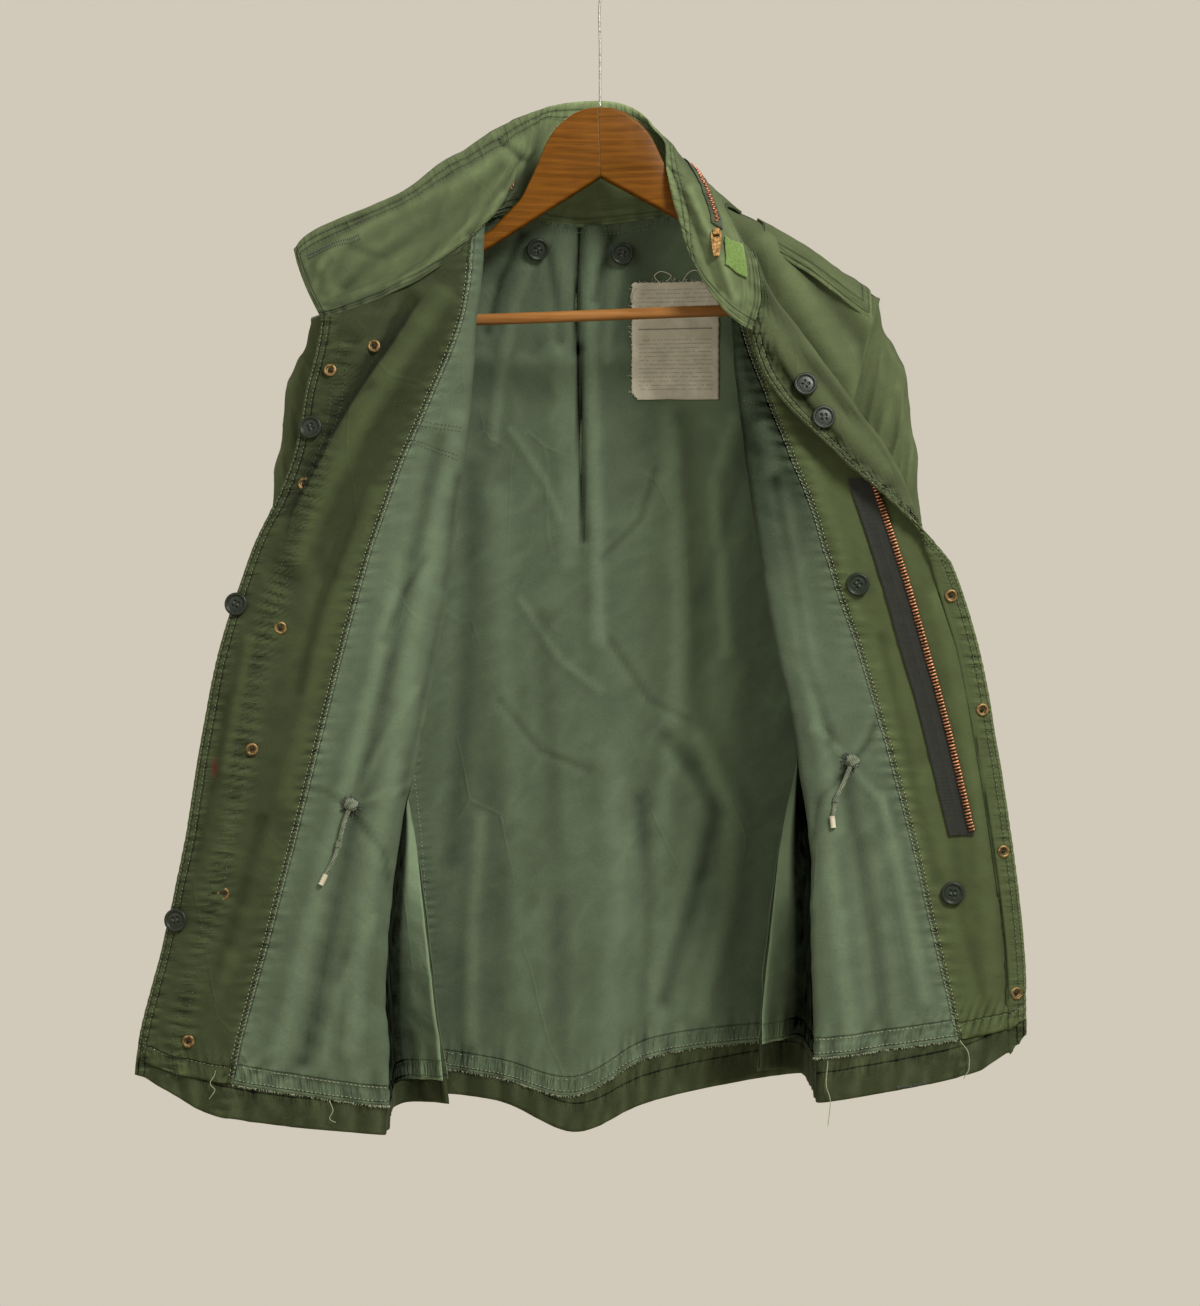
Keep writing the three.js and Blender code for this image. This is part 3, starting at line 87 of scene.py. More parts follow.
BACK = [
    (-200, (-240, 8), (-221, 10), (-196, 14), (-142, 18), (-86, 24), (-14, 46), (62, 38),
     (117, 14), (184, 12), (215, 10), (234, 8)),
    (-240, (-240, 8), (-221, 10), (-196, 15), (-142, 22), (-84, 38), (-15, 51), (59, 46),
     (118, 24), (184, 14), (215, 10), (234, 8)),
    (-280, (-240, 8), (-221, 12), (-196, 20), (-140, 33), (-81, 52), (-15, 58), (56, 55),
     (121, 36), (185, 24), (215, 14), (234, 10)),
    (-320, (-237, 14), (-219, 20), (-194, 29), (-136, 44), (-81, 59), (-16, 64), (55, 61),
     (123, 45), (187, 32), (214, 22), (226, 16)),
    (-370, (-222, 20), (-211, 30), (-194, 38), (-136, 53), (-81, 65), (-17, 69), (54, 66),
     (127, 53), (190, 39), (207, 30), (217, 22)),
    (-430, (-207, 20), (-203, 32), (-198, 42), (-140, 60), (-81, 70), (-18, 75), (52, 71),
     (132, 60), (197, 42), (202, 32), (206, 20)),
    (-500, (-195, 8), (-197, 24), (-212, 42), (-148, 67), (-81, 74), (-18, 79), (50, 76),
     (140, 67), (212, 42), (197, 24), (194, 8)),
    (-580, (-183, 4), (-190, 28), (-232, 47), (-158, 74), (-81, 78), (-19, 82), (49, 80),
     (150, 74), (232, 47), (190, 28), (183, 4)),
    (-660, (-171, 8), (-184, 40), (-247, 53), (-165, 81), (-81, 83), (-21, 81), (48, 84),
     (157, 81), (247, 53), (184, 40), (169, 8)),
    (-740, (-154, 8), (-168, 49), (-254, 59), (-169, 86), (-82, 85), (-21, 77), (46, 85),
     (162, 86), (253, 59), (167, 49), (151, 8)),
    (-820, (-142.5, 6), (-160, 53), (-257, 63), (-172, 89), (-85, 82), (-21, 71), (44, 82),
     (165, 89), (255, 63), (158, 53), (139.5, 6)),
    (-900, (-132, 1.5), (-156, 54), (-259, 64), (-172, 89), (-86, 76), (-21, 65), (41, 76),
     (165, 89), (255, 64), (154, 54), (132, 1.5)),
    (-1000, (-122, 1.5), (-152, 54), (-259, 64), (-172, 89), (-85, 70), (-21, 60), (39, 70),
     (165, 89), (255, 64), (150, 54), (128, 1.5)),
]

# Where each panel's top edge, lining hem and shell hem lie, one height for each fold.

LEFT_ENDS = {
    "top": (-306, -258, -227, -244, -281, -310),
    "lining": (-938, -942, -948, -932, -922, -912),
    "shell": (-957, -962, -972, -959, -938, -925),
}
RIGHT_ENDS = {
    "top": (-290, -247, -217, -236, -258, -321),
    "lining": (-908, -906, -909, -896, -888, -880),
    "shell": (-930, -935, -945, -926, -908, -893),
}
BACK_ENDS = {
    "top": (-306, -295, -278, -243, -218, -222, -215, -220, -258, -278, -290),
    "lining": (-938, -940, -938, -936, -946, -960, -928, -915, -912, -910, -908),
    "shell": (-958, -962, -962, -960, -966, -991, -966, -945, -942, -935, -931),
}

# How far a fold's round corner reaches towards the next fold, how high the curve at the
# shoulder is, how far back its ridge lies, and how far each panel keeps to its side of it.
CORNER_CUT = 0.38
SHOULDER_CURVE = 16
SHOULDER_RIDGE = 3
SHOULDER_PART = 0.4

# The front view: the eye's distance and height in millimetres, its lens, the size of a picture
# step, the column of the wire, and how far the view's top lies below the origin, in steps.
EYE_DISTANCE = 2500
EYE_HEIGHT = -583.5
LENS = 83.03
PICTURE_STEP = 0.83
WIRE_COLUMN = 600
TOP_ROW = 50

# Heights off a panel's middle surface: each cloth's wall, from low to high, and the two faces
# that patches, tapes and cords lie on.
WALLS = {"lining": (0.15, 1.15), "facing": (0.15, 1.35), "shell": (0.5, 1.45)}
INNER_FACE = 0.15 + 1.2
OUTER_FACE = 0.15 + 1.3

# Distances that the cloth's material reads are kept with this added, so that a piece without
# them lies far from every line.
SHIFT = 200.0

# Soft folds and creases. Each is a panel, the part of its section, a half width, a depth
# towards the viewer in millimetres, and its line on the front view. That view is measured in
# picture steps from its top left corner.

FOLDS = [
    ("left", 3.9, 6, 13, 8.5, [(442, 298), (412, 345), (381, 390), (356, 432), (336, 470),
                               (314, 512), (298, 560)]),
    ("left", 3.9, 6, 8, -5, [(412, 300), (384, 345), (352, 390), (327, 432), (308, 470), (288, 512)]),
    ("left", 3.9, 6, 12, -2.5, [(446, 350), (410, 405), (380, 460), (352, 510), (328, 570)]),
    ("left", 4, 6, 12, 3, [(378, 500), (350, 570), (325, 640), (305, 720), (285, 800)]),
    ("left", 4, 6, 7, -2, [(352, 520), (318, 610), (300, 690)]),
    ("left", 4, 6, 16, 3, [(275, 600), (255, 700), (235, 800), (205, 900)]),
    ("left", 4, 6, 9, -2.5, [(262, 820), (240, 900), (215, 980), (190, 1060)]),
    ("left", 4, 6, 7, -2, [(225, 700), (215, 770), (195, 860)]),
    ("left", 4.6, 6, 6, 2, [(250, 640), (238, 700), (226, 770)]),
    ("left", 4, 6, 10, 2.5, [(230, 960), (205, 1010), (185, 1070)]),
    ("left", 4.4, 6, 7, 2, [(395, 330), (360, 350), (335, 372)]),
    ("left", 4.4, 6, 5, -1.6, [(372, 385), (345, 400), (325, 412)]),
    ("left", 2.4, 4, 11, 3, [(458, 420), (436, 520), (412, 640), (392, 760), (366, 900), (350, 1050)]),
    ("left", 2.6, 4, 9, -2.4, [(438, 440), (412, 560), (385, 680), (352, 830), (325, 960), (305, 1060)]),
    ("left", 2.6, 4, 10, 2.4, [(395, 600), (368, 700), (336, 820), (305, 940), (280, 1050)]),
    ("left", 2.6, 4, 7, -2, [(460, 480), (446, 600), (425, 700), (405, 790)]),
    ("left", 2.6, 4, 5, -1.6, [(425, 560), (400, 600), (384, 640)]),
    ("left", 2.6, 4, 5, 1.4, [(415, 690), (385, 740), (356, 800)]),
    ("left", 2.6, 4, 4, -1.6, [(352, 812), (382, 850), (395, 900)]),
    ("left", 2.6, 4, 4, 1.4, [(350, 806), (395, 792), (415, 780)]),
    ("left", 2.6, 4, 4, -1.3, [(348, 806), (326, 792), (312, 790)]),
    ("left", 2.6, 4, 6, 1.5, [(372, 920), (340, 990), (325, 1060)]),
    ("left", 2.6, 4, 6, -1.5, [(412, 950), (405, 1010), (400, 1070)]),
    ("right", 2.6, 4, 10, 3, [(762, 430), (785, 520), (800, 620), (818, 720), (835, 830)]),
    ("right", 2.6, 4, 7, -2.4, [(775, 480), (792, 570), (806, 660), (830, 740)]),
    ("right", 2.6, 4, 9, -2.4, [(845, 780), (862, 860), (876, 950), (886, 1040)]),
    ("right", 2.6, 4, 10, 2.6, [(828, 840), (838, 930), (850, 1040)]),
    ("right", 2.6, 4, 7, 2, [(880, 800), (905, 900), (925, 1000)]),
    ("right", 2.6, 4, 4, 1.5, [(848, 764), (830, 740), (812, 730)]),
    ("right", 2.6, 4, 4, -1.5, [(850, 766), (868, 742), (876, 722)]),
    ("right", 2.6, 4, 4, -1.4, [(846, 770), (820, 800), (812, 840)]),
    ("right", 2.6, 4, 4, 1.4, [(852, 770), (880, 800), (890, 830)]),
    ("right", 4, 5.2, 9, 2.4, [(775, 400), (810, 470), (836, 540), (856, 620)]),
    ("right", 4, 5.2, 7, -2, [(880, 640), (900, 730), (915, 800), (935, 880)]),
    ("right", 4, 6, 11, 2.6, [(935, 600), (956, 690), (975, 800), (985, 920), (990, 1030)]),
    ("right", 4, 6, 7, -2, [(972, 640), (982, 760), (1000, 880), (1006, 1000)]),
    ("right", 4, 6, 7, -1.6, [(952, 840), (960, 920), (985, 1010)]),
    ("right", 6.05, 7, 8, 2.6, [(762, 318), (800, 372), (842, 425), (885, 470)]),
    ("right", 6.05, 7, 5, -1.6, [(770, 352), (800, 395), (840, 440)]),
    ("right", 0, 1.8, 14, 4, [(765, 245), (800, 300), (830, 352), (862, 400)]),
    ("right", 0, 1.8, 9, -3.4, [(790, 250), (830, 300), (862, 345), (880, 400)]),
    ("right", 0, 1.8, 9, -2.4, [(752, 262), (782, 318), (815, 360)]),
    ("right", 0, 1.8, 6, 2, [(812, 262), (850, 300), (872, 325)]),
    ("back", 2, 8, 3.2, -4.2, [(581, 226), (577, 305), (578, 340), (580, 420), (584, 540)]),
    ("back", 2, 8, 9, 3, [(594, 228), (590, 300), (592, 400), (596, 520), (598, 640)]),
    ("back", 2, 8, 12, 1.8, [(566, 240), (560, 320), (562, 430), (568, 560)]),
    ("back", 2, 8, 7, 2.4, [(534, 250), (515, 300), (500, 370), (492, 440)]),
    ("back", 2, 8, 6, -2.4, [(522, 236), (502, 280), (488, 330)]),
    ("back", 2, 8, 6, -2, [(548, 250), (556, 290), (560, 340)]),
    ("back", 2, 8, 7, 2, [(622, 250), (612, 300), (606, 360)]),
    ("back", 2, 8, 6, -2, [(612, 236), (600, 270), (594, 300)]),
    ("back", 2, 8, 13, -2.4, [(690, 420), (700, 520), (702, 620), (698, 700), (694, 760)]),
    ("back", 2, 8, 12, 3, [(668, 410), (676, 520), (680, 640), (672, 740), (660, 820)]),
    ("back", 2, 8, 10, -2.2, [(752, 440), (728, 520), (704, 600)]),
    ("back", 2, 8, 9, 3, [(735, 420), (715, 480), (722, 570), (728, 650)]),
    ("back", 2, 8, 10, -3.4, [(668, 738), (702, 780), (716, 812), (700, 880), (664, 1000)]),
    ("back", 2, 8, 11, 3, [(700, 740), (735, 810), (728, 900), (700, 1010)]),
    ("back", 2, 8, 16, 3, [(498, 500), (500, 640), (512, 800), (520, 1000)]),
    ("back", 2, 8, 12, -2.6, [(470, 470), (468, 600), (462, 720), (450, 860)]),
    ("back", 2, 8, 12, -2, [(540, 620), (550, 780), (556, 940), (560, 1060)]),
    ("back", 2, 8, 16, 2.6, [(610, 760), (618, 880), (604, 1060)]),
    ("back", 2, 8, 9, -2, [(640, 800), (650, 900), (640, 1040)]),
    ("back", 2, 8, 8, 2.2, [(480, 820), (472, 920), (470, 1040)]),
    ("back", 2, 8, 4, 1.2, [(510, 430), (545, 480), (560, 520)]),
    ("back", 2, 8, 4, -1.2, [(600, 560), (640, 520), (655, 470)]),
    ("back", 2, 8, 4, 1.2, [(520, 600), (560, 660), (600, 690)]),
    ("back", 2, 8, 4, -1.2, [(610, 640), (650, 700), (690, 720)]),
    ("back", 2, 8, 4, -1.1, [(500, 700), (540, 750), (590, 770)]),
]

# Puckered seams: a panel, the part of its section, the wave length along the seam, how far
# it reaches, its depth in millimetres, and its line on the front view.

PUCKERS = [
    ("left", 4.1, 6, 11, 12, 2.0, [(346, 342), (331, 420), (313, 480), (294, 545), (271, 610), (256, 680),
                                   (244, 740), (235, 800), (214, 900), (186, 1000), (172, 1080)]),
    ("back", 2, 8, 9, 7, 1.3, [(411, 750), (421, 836), (427, 913), (434, 990)]),
    ("back", 2, 8, 10, 5, 0.7, [(541, 220), (583, 226), (631, 225), (672, 217)]),
]

# The rim of the roll down the left facing, and the pleat down the lining's back: lines where painted shade
# meets painted light.
ROLL_RIM = [(440, 280), (421, 303), (394, 345), (362, 390), (337, 432), (318, 470), (295, 512), (283, 560)]
PLEAT = [(581, 220), (578, 305), (578, 340), (580, 420), (584, 560), (588, 660)]

# Rows of the collar: the panel that each one starts on, the place of its section, how far the
# start is moved up, then x, y and z of the row's middle and of its free edge, in millimetres.
COLLAR_ROWS = [
    ("left", 6, 1.7, (-242, -36, -281), (-253, -15, -250)),
    ("left", 5.8, 1.7, (-228, -33, -275), (-240, -9, -236)),
    ("left", 5.45, 1.7, (-190, -28, -258), (-208, 0, -219)),
    ("left", 5, 1.7, (-150, -22, -240), (-164, 9, -199)),
    ("left", 4.5, 2.2, (-119, -18, -220), (-134, 20, -174)),
    ("left", 4.1, 6.6, (-97, -14, -208), (-113, 30, -160)),
    ("left", 3, 6, (-77, -6, -196), (-87, 40, -141)),
    ("left", 1.8, 7, (-69, 8, -183), (-73, 45, -133)),
    ("back", 3.95, 5, (-59, 24, -170), (-59, 49, -127)),
    ("back", 4.25, 1.7, (-52, 42, -162), (-44, 52, -121)),
    ("back", 4.6, 1.7, (-37, 51, -166), (-27, 54, -117)),
    ("back", 5, 1.7, (-8, 53, -168), (-1, 56, -115)),
    ("back", 5.5, 1.7, (22, 52, -170), (19, 54, -118)),
    ("back", 5.95, 1.7, (44, 48, -171), (34, 46, -127)),
    ("back", 6.3, 3, (69, 30, -174), (45, 24, -144)),
    ("right", 1.8, 9, (78, 2, -184), (53, 4, -162)),
    ("right", 3, 7, (87, -16, -203), (55, -11, -184)),
    ("right", 4.5, 5, (95, -28, -228), (60, -16, -210)),
    ("right", 6.1, 2.6, (96, -36, -251), (65, -20, -227)),
    ("right", 6.6, 2.6, (95, -42, -273), (69, -24, -241)),
    ("right", 7, 2.2, (95, -46, -297), (72, -28, -253)),
]

# Folds of the collar: a half width, a depth towards the viewer and a line on the front view.
COLLAR_FOLDS = [
    (8, 2.2, [(322, 266), (345, 240), (405, 208), (462, 180), (520, 142)]),
    (9, -2, [(345, 286), (375, 258), (420, 230), (462, 204), (500, 168)]),
    (7, 2, [(395, 292), (430, 264), (470, 228), (500, 196)]),
    (4, -2.2, [(500, 143), (514, 152), (527, 162)]),
    (5, -2.2, [(470, 234), (493, 196), (523, 158)]),
    (4.5, -0.7, [(352, 246), (366, 252), (384, 256)]),
    (4.5, 0.9, [(405, 284), (420, 277), (436, 268)]),
    (4.5, -0.8, [(330, 262), (322, 276), (320, 292)]),
    (5, 1.6, [(690, 190), (705, 225), (722, 262), (735, 300)]),
    (4, -1.6, [(672, 170), (688, 210), (702, 250), (718, 290)]),
]


# Shapes of cloth


def catmull(a, b, c, d, t):
    """Smooth curve through four values, for t between the middle two."""
    return b + 0.5 * t * ((c - a) + t * ((2 * a - 5 * b + 4 * c - d) + t * (3 * b - a - 3 * c + d)))


def through(points, t):
    """Points at t along a smooth curve through the given ones. Whole numbers of t are the points."""
    points = np.asarray(points, float)
    last = len(points) - 1
    at = np.clip(np.floor(t).astype(int), 0, last - 1)
    part = np.asarray(t) - at
    if points.ndim > 1:
        part = part[..., None]
    return catmull(*(points[np.clip(at + step, 0, last)] for step in (-1, 0, 1, 2)), part)


def smooth(value):
    """Eases a value from 0 to 1 with level ends."""
    value = np.clip(value, 0, 1)
    return value * value * (3 - 2 * value)


def unit(vectors):
    """Vectors divided by their length."""
    return vectors / np.maximum(np.linalg.norm(vectors, axis=-1, keepdims=True), 1e-9)


def front_view(points):
    """Where points lie on the front view, in its steps: x and z are divided by their depth."""
    scale = EYE_DISTANCE / (EYE_DISTANCE + points[..., 1]) / PICTURE_STEP
    across = WIRE_COLUMN + points[..., 0] * scale
    down = (-EYE_HEIGHT / PICTURE_STEP - TOP_ROW) - (points[..., 2] - EYE_HEIGHT) * scale
    return across, down


def line_distance(across, down, line):
    """Distance from points to a broken line on the front view, and how far along it they are."""
    line = np.asarray(line, float)
    best = np.full(across.shape, 1e9)
    along = np.zeros(across.shape)
    start = 0.0
    for (ax, ay), (bx, by) in zip(line[:-1], line[1:]):
        length = math.hypot(bx - ax, by - ay)
        t = ((across - ax) * (bx - ax) + (down - ay) * (by - ay)) / length**2
        held = np.clip(t, 0, 1)
        distance = np.hypot(across - ax - held * (bx - ax), down - ay - held * (by - ay))
        closer = distance < best
        best = np.where(closer, distance, best)
        along = np.where(closer, start + held * length, along)
        start += length
    return best, along


def ripple(along, pitch, seed=0.0):
    """An uneven wave: a sine whose pitch and height drift along its length."""
    drift = 1.4 * np.sin(along / 37 + seed) + 0.9 * np.sin(along / 16 + 2.1 * seed + 1)
    height = 0.62 + 0.38 * np.sin(along / 23 + 3 * seed + 2)
    second = 0.35 * np.sin(2 * np.pi * along / (pitch * 0.57) + 1.7 * drift)
    return height * (np.sin(2 * np.pi * along / pitch + drift) + second)


def crumple(u, v, seed, scales=(95, 52, 29, 17), strength=0.012):
    """Small creases: at each scale a sum of six sines in seeded directions, folded into ridges."""
    rng = np.random.default_rng(seed)
    total = np.zeros(np.shape(u))
    for scale in scales:
        wave = np.zeros(np.shape(u))
        for angle, phase, stretch in rng.uniform((0, 0, 0.7), (np.pi, 6.28, 1.4), (6, 3)):
            k = 2 * np.pi / (scale * stretch)
            wave += np.sin(k * (u * np.cos(angle) + v * np.sin(angle)) + phase)
        total += strength * scale * (0.45 - np.abs(wave) / 2.4 + 0.25 * wave)
    return total


class Panel:
    """A cloth panel's middle surface, worked out from its table of folds."""

    def __init__(self, name, table, turned, ends, lining, behind, shoulder, seed):
        folds = len(table[0]) - 1
        sides = [(fold, side) for fold in range(folds) for side in ((1, -1) if fold in turned else (0,))]
        self.name = name
        self.levels = np.array([row[0] for row in table], float)
        self.stops = np.array([
            [(*row[fold + 1][:1], row[fold + 1][1] + side * (row[fold + 1][2] if side else 0))
             for fold, side in sides]
            for row in table
        ], float)
        self.ends = {
            end: np.array([values[fold] for fold, _ in sides], float) for end, values in ends.items()
        }
        self.lining = lining
        self.behind = behind
        self.shoulder = shoulder
        self.seed = seed
        self.last = len(sides) - 1
        self.measure()

    def stop(self, k, z):
        """A stop's x and y at height z, along the smooth curve through its column."""
        z = np.clip(z, self.levels[-1], self.levels[0])
        row = np.clip(np.searchsorted(-self.levels, -z, side="right") - 1, 0, len(self.levels) - 2)
        t = (self.levels[row] - z) / (self.levels[row] - self.levels[row + 1])
        last = len(self.levels) - 1
        picked = (self.stops[np.clip(row + step, 0, last), k] for step in (-1, 0, 1, 2))
        return catmull(*picked, t[..., None])

    def end(self, name, s):
        """The height of the top edge or of a hem at place s."""
        return through(self.ends[name], np.clip(s, 0, self.last))

    def section(self, s, z):
        """x and y at place s and height z. Each corner is rounded by a quadratic curve."""
        s = np.clip(s, 0, self.last)
        nearest = np.clip(np.round(s), 0, self.last).astype(int)
        away = (s - nearest)[..., None]
        here = self.stop(nearest, z)
        before = self.stop(np.clip(nearest - 1, 0, self.last), z)
        after = self.stop(np.clip(nearest + 1, 0, self.last), z)
        straight = here + (np.where(away < 0, before, after) - here) * np.abs(away)
        start = here + (before - here) * CORNER_CUT
        finish = here + (after - here) * CORNER_CUT
        t = (away + CORNER_CUT) / (2 * CORNER_CUT)
        curved = start * (1 - t) ** 2 + here * 2 * t * (1 - t) + finish * t * t
        inside = (np.abs(away) < CORNER_CUT) & ((nearest > 0) & (nearest < self.last))[..., None]
        return np.where(inside, curved, straight)

    def base(self, s, z):
        """The even middle surface. Near the shoulder edge it curves in to the ridge."""
        s, z = np.broadcast_arrays(np.asarray(s, float), np.asarray(z, float))
        xy = self.section(s, z)
        up = 1 - np.clip(self.end("top", s) - z, 0, SHOULDER_CURVE) / SHOULDER_CURVE
        ridge = SHOULDER_RIDGE + self.behind * SHOULDER_PART
        curved = ridge + (xy[..., 1] - ridge) * np.sqrt(np.clip(1 - up * up, 0, 1))
        y = xy[..., 1] + (curved - xy[..., 1]) * self.shoulder(s)
        return np.stack([xy[..., 0], y, z], -1)

    def inward(self, s, z, step=0.02, drop=1.5):
        """The direction off the surface on the lining's side."""
        across = self.base(s + step, z) - self.base(s - step, z)
        down = self.base(s, z - drop) - self.base(s, z + drop)
        return unit(np.cross(across, down)) * self.lining

    def measure(self):
        """Keeps the length across the cloth for a grid of places and heights."""
        self.table_s = np.linspace(0, self.last, 60 * self.last + 1)
        self.table_z = np.linspace(-1000, -200, 81)
        points = self.section(*np.meshgrid(self.table_s, self.table_z, indexing="ij"))
        steps = np.linalg.norm(np.diff(points, axis=0), axis=-1)
        self.table_u = np.vstack([np.zeros(len(self.table_z)), np.cumsum(steps, axis=0)])

    def across(self, s, z):
        """The length across the cloth from its side to place s at height z."""
        i = np.clip(np.asarray(s, float) * 60, 0, len(self.table_s) - 1.001)
        j = np.clip((np.asarray(z, float) + 1000) / 10, 0, len(self.table_z) - 1.001)
        i, j = np.broadcast_arrays(i, j)
        a, b = i.astype(int), j.astype(int)
        p, q = i - a, j - b
        u = self.table_u
        low = u[a, b] * (1 - q) + u[a, b + 1] * q
        high = u[a + 1, b] * (1 - q) + u[a + 1, b + 1] * q
        return low * (1 - p) + high * p

    def beside(self, s, z, offset):
        """The place that lies an offset away from place s, across the cloth."""
        s = np.broadcast_to(np.asarray(s, float), np.shape(z)).copy()
        target = self.across(s, z) + offset
        for _ in range(4):
            slope = (self.across(s + 0.02, z) - self.across(s - 0.02, z)) / 0.04
            s = np.clip(s + (target - self.across(s, z)) / np.maximum(slope, 4), 0, self.last)
        return s

    def relief(self, s, z):
        """How far the folds, puckers and creases lift the cloth to its lining's side."""
        s, z = np.broadcast_arrays(np.asarray(s, float), np.asarray(z, float))
        across, down = front_view(self.base(s, z))
        facing = -self.inward(s, z)[..., 1]
        u = self.across(s, z)
        total = crumple(u, z, self.seed, (120, 64, 30), 0.006)
        for name, low, high, width, depth, line in FOLDS:
            if name != self.name:
                continue
            window = smooth((s - low + 0.1) / 0.2) * smooth((high + 0.1 - s) / 0.2)
            distance, _ = line_distance(across, down, line)
            total += depth * facing * window * np.exp(-((distance / width) ** 2))
        for name, low, high, pitch, reach, depth, line in PUCKERS:
            if name != self.name:
                continue
            window = smooth((s - low + 0.1) / 0.2) * smooth((high + 0.1 - s) / 0.2)
            distance, along = line_distance(across, down, line)
            total += depth * window * ripple(along, pitch, low) * np.exp(-((distance / reach) ** 2))
        if self.name != "back":
            seam = u - self.across(4.0, z)
            total += 1.15 * ripple(z, 10, 1.3) * np.exp(-np.abs(seam / 9) ** 1.4) * (s > 2.6)
            total -= 0.9 * np.exp(-((seam / 1.6) ** 2))
            edge = self.across(float(self.last), z) - u
            total += 0.95 * ripple(z, 8.5, 2.2) * np.exp(-(((edge - 7) / 6) ** 2))
            total -= 0.5 * np.exp(-(((edge - 6.4) / 1.3) ** 2))
        hem = z - self.end("lining", s)
        total += 0.9 * ripple(u, 7, 0.4) * np.exp(-(((hem - 13) / 11) ** 2))
        total -= 0.8 * np.exp(-(((hem - 13.5) / 1.5) ** 2))
        total += 1.1 * ripple(u, 23, 1.9) * np.exp(-((hem / 26) ** 2))
        low = z - self.end("shell", s)
        total += 0.6 * ripple(u, 15, 2.4) * np.exp(-((low / 16) ** 2))
        return total

    def middle(self, s, z):
        """The middle surface with its folds."""
        return self.base(s, z) + self.inward(s, z) * self.relief(s, z)[..., None]

    def surface(self, s, z, height):
        """Points a height off the middle surface on the lining's side, with the direction there."""
        across = self.middle(s + 0.02, z) - self.middle(s - 0.02, z)
        down = self.middle(s, z - 1.2) - self.middle(s, z + 1.2)
        out = unit(np.cross(across, down)) * self.lining
        return self.middle(s, z) + out * np.asarray(height)[..., None], out

    def find(self, low, high, x, z):
        """The place between two others whose width is x at height z, by halving."""
        x, z = np.broadcast_arrays(np.asarray(x, float), np.asarray(z, float))
        low, high = np.full(x.shape, float(low)), np.full(x.shape, float(high))
        rising = self.base(high, z)[..., 0] > self.base(low, z)[..., 0]
        for _ in range(26):
            half = (low + high) / 2
            below = (self.base(half, z)[..., 0] < x) == rising
            low, high = np.where(below, half, low), np.where(below, high, half)
        return low


def front_shoulder(s):
    """How far the curve to the shoulder's ridge holds at place s of a front."""
    return np.clip((2.3 - s) / 0.8, 0, 1)


def back_shoulder(s):
    """How far the curve to the shoulder's ridge holds at place s of the back."""
    return np.maximum(np.clip((4.1 - s) / 0.4, 0, 1), np.clip((s - 6.2) / 0.4, 0, 1))


PANELS = {
    "left": Panel("left", LEFT_FRONT, (2,), LEFT_ENDS, 1, -1, front_shoulder, 11),
    "right": Panel("right", RIGHT_FRONT, (2, 4), RIGHT_ENDS, -1, -1, front_shoulder, 23),
    "back": Panel("back", BACK, (), BACK_ENDS, -1, 1, back_shoulder, 37),
}

# The stretches of a panel's section on which things are placed.
STRETCH = {
    "left": (3.2, 5.98),
    "right": (3.2, 4.9),
    "band": (6.1, 6.98),
    "right_edge": (5.2, 6.98),
    "back": (2, 8),
}


# Meshes


def finish_mesh(obj, body="jacket", replaces=(), material=None, shade=True):
    """Gives a piece its material, the CAD nodes it stands for and the body it rides on."""
    if material:
        obj.data.materials.append(material)
    if shade and obj.type == "MESH":
        obj.data.polygons.foreach_set("use_smooth", np.ones(len(obj.data.polygons), bool))
    if replaces:
        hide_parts(*replaces)
    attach(obj, body)
    return obj


def mesh_object(name, points, faces, values=None, uv=None):
    """A mesh from arrays: points in millimetres, faces as rows of equal length, and point values."""
    faces = np.asarray(faces, np.int32)
    count, corners = faces.shape
    mesh = bpy.data.meshes.new(name)
    mesh.vertices.add(len(points))
    mesh.vertices.foreach_set("co", (np.asarray(points, float) * MM).astype(np.float32).ravel())
    mesh.loops.add(count * corners)
    mesh.loops.foreach_set("vertex_index", faces.ravel())
    mesh.polygons.add(count)
    mesh.polygons.foreach_set("loop_start", np.arange(0, count * corners, corners, dtype=np.int32))
    mesh.polygons.foreach_set("loop_total", np.full(count, corners, np.int32))
    for key, value in (values or {}).items():
        attribute = mesh.attributes.new(key, "FLOAT", "POINT")
        attribute.data.foreach_set("value", np.asarray(value, np.float32).ravel())
    if uv is not None:
        layer = mesh.uv_layers.new(name="cloth")
        layer.data.foreach_set("uv", np.asarray(uv, np.float32)[faces.ravel()].ravel())
    mesh.update(calc_edges=True)
    mesh.validate()
    obj = bpy.data.objects.new(name, mesh)
    bpy.context.scene.collection.objects.link(obj)
    return obj


def listed_mesh(name, points, faces):
    """A mesh from points in millimetres and faces with any number of corners."""
    mesh = bpy.data.meshes.new(name)
    mesh.from_pydata((points * MM).tolist(), [], faces)
    mesh.update()
    obj = bpy.data.objects.new(name, mesh)
    bpy.context.scene.collection.objects.link(obj)
    return obj


def grid_faces(columns, rows, first=0, around=False):
    """Faces of a grid stored column by column, facing along columns times rows."""
    i, j = np.meshgrid(np.arange(columns if around else columns - 1), np.arange(rows - 1), indexing="ij")
    i, j = i.ravel(), j.ravel()
    k = (i + 1) % columns
    return first + np.stack([i * rows + j, k * rows + j, k * rows + j + 1, i * rows + j + 1], -1)


def wall_faces(columns, rows):
    """Faces of a closed wall between two grids. The second one lies on the side of the normals."""
    size = columns * rows
    far = grid_faces(columns, rows, size)
    near = grid_faces(columns, rows)[:, ::-1]
    i = np.arange(columns - 1)
    top, low = i * rows, i * rows + rows - 1
    upper = np.stack([top, top + rows, top + rows + size, top + size], -1)
    lower = np.stack([low + rows, low, low + size, low + rows + size], -1)
    j = np.arange(rows - 1)
    last = (columns - 1) * rows + j
    left = np.stack([j + 1, j, j + size, j + 1 + size], -1)
    right = np.stack([last, last + 1, last + 1 + size, last + size], -1)
    return np.vstack([near, far, upper, lower, left, right])


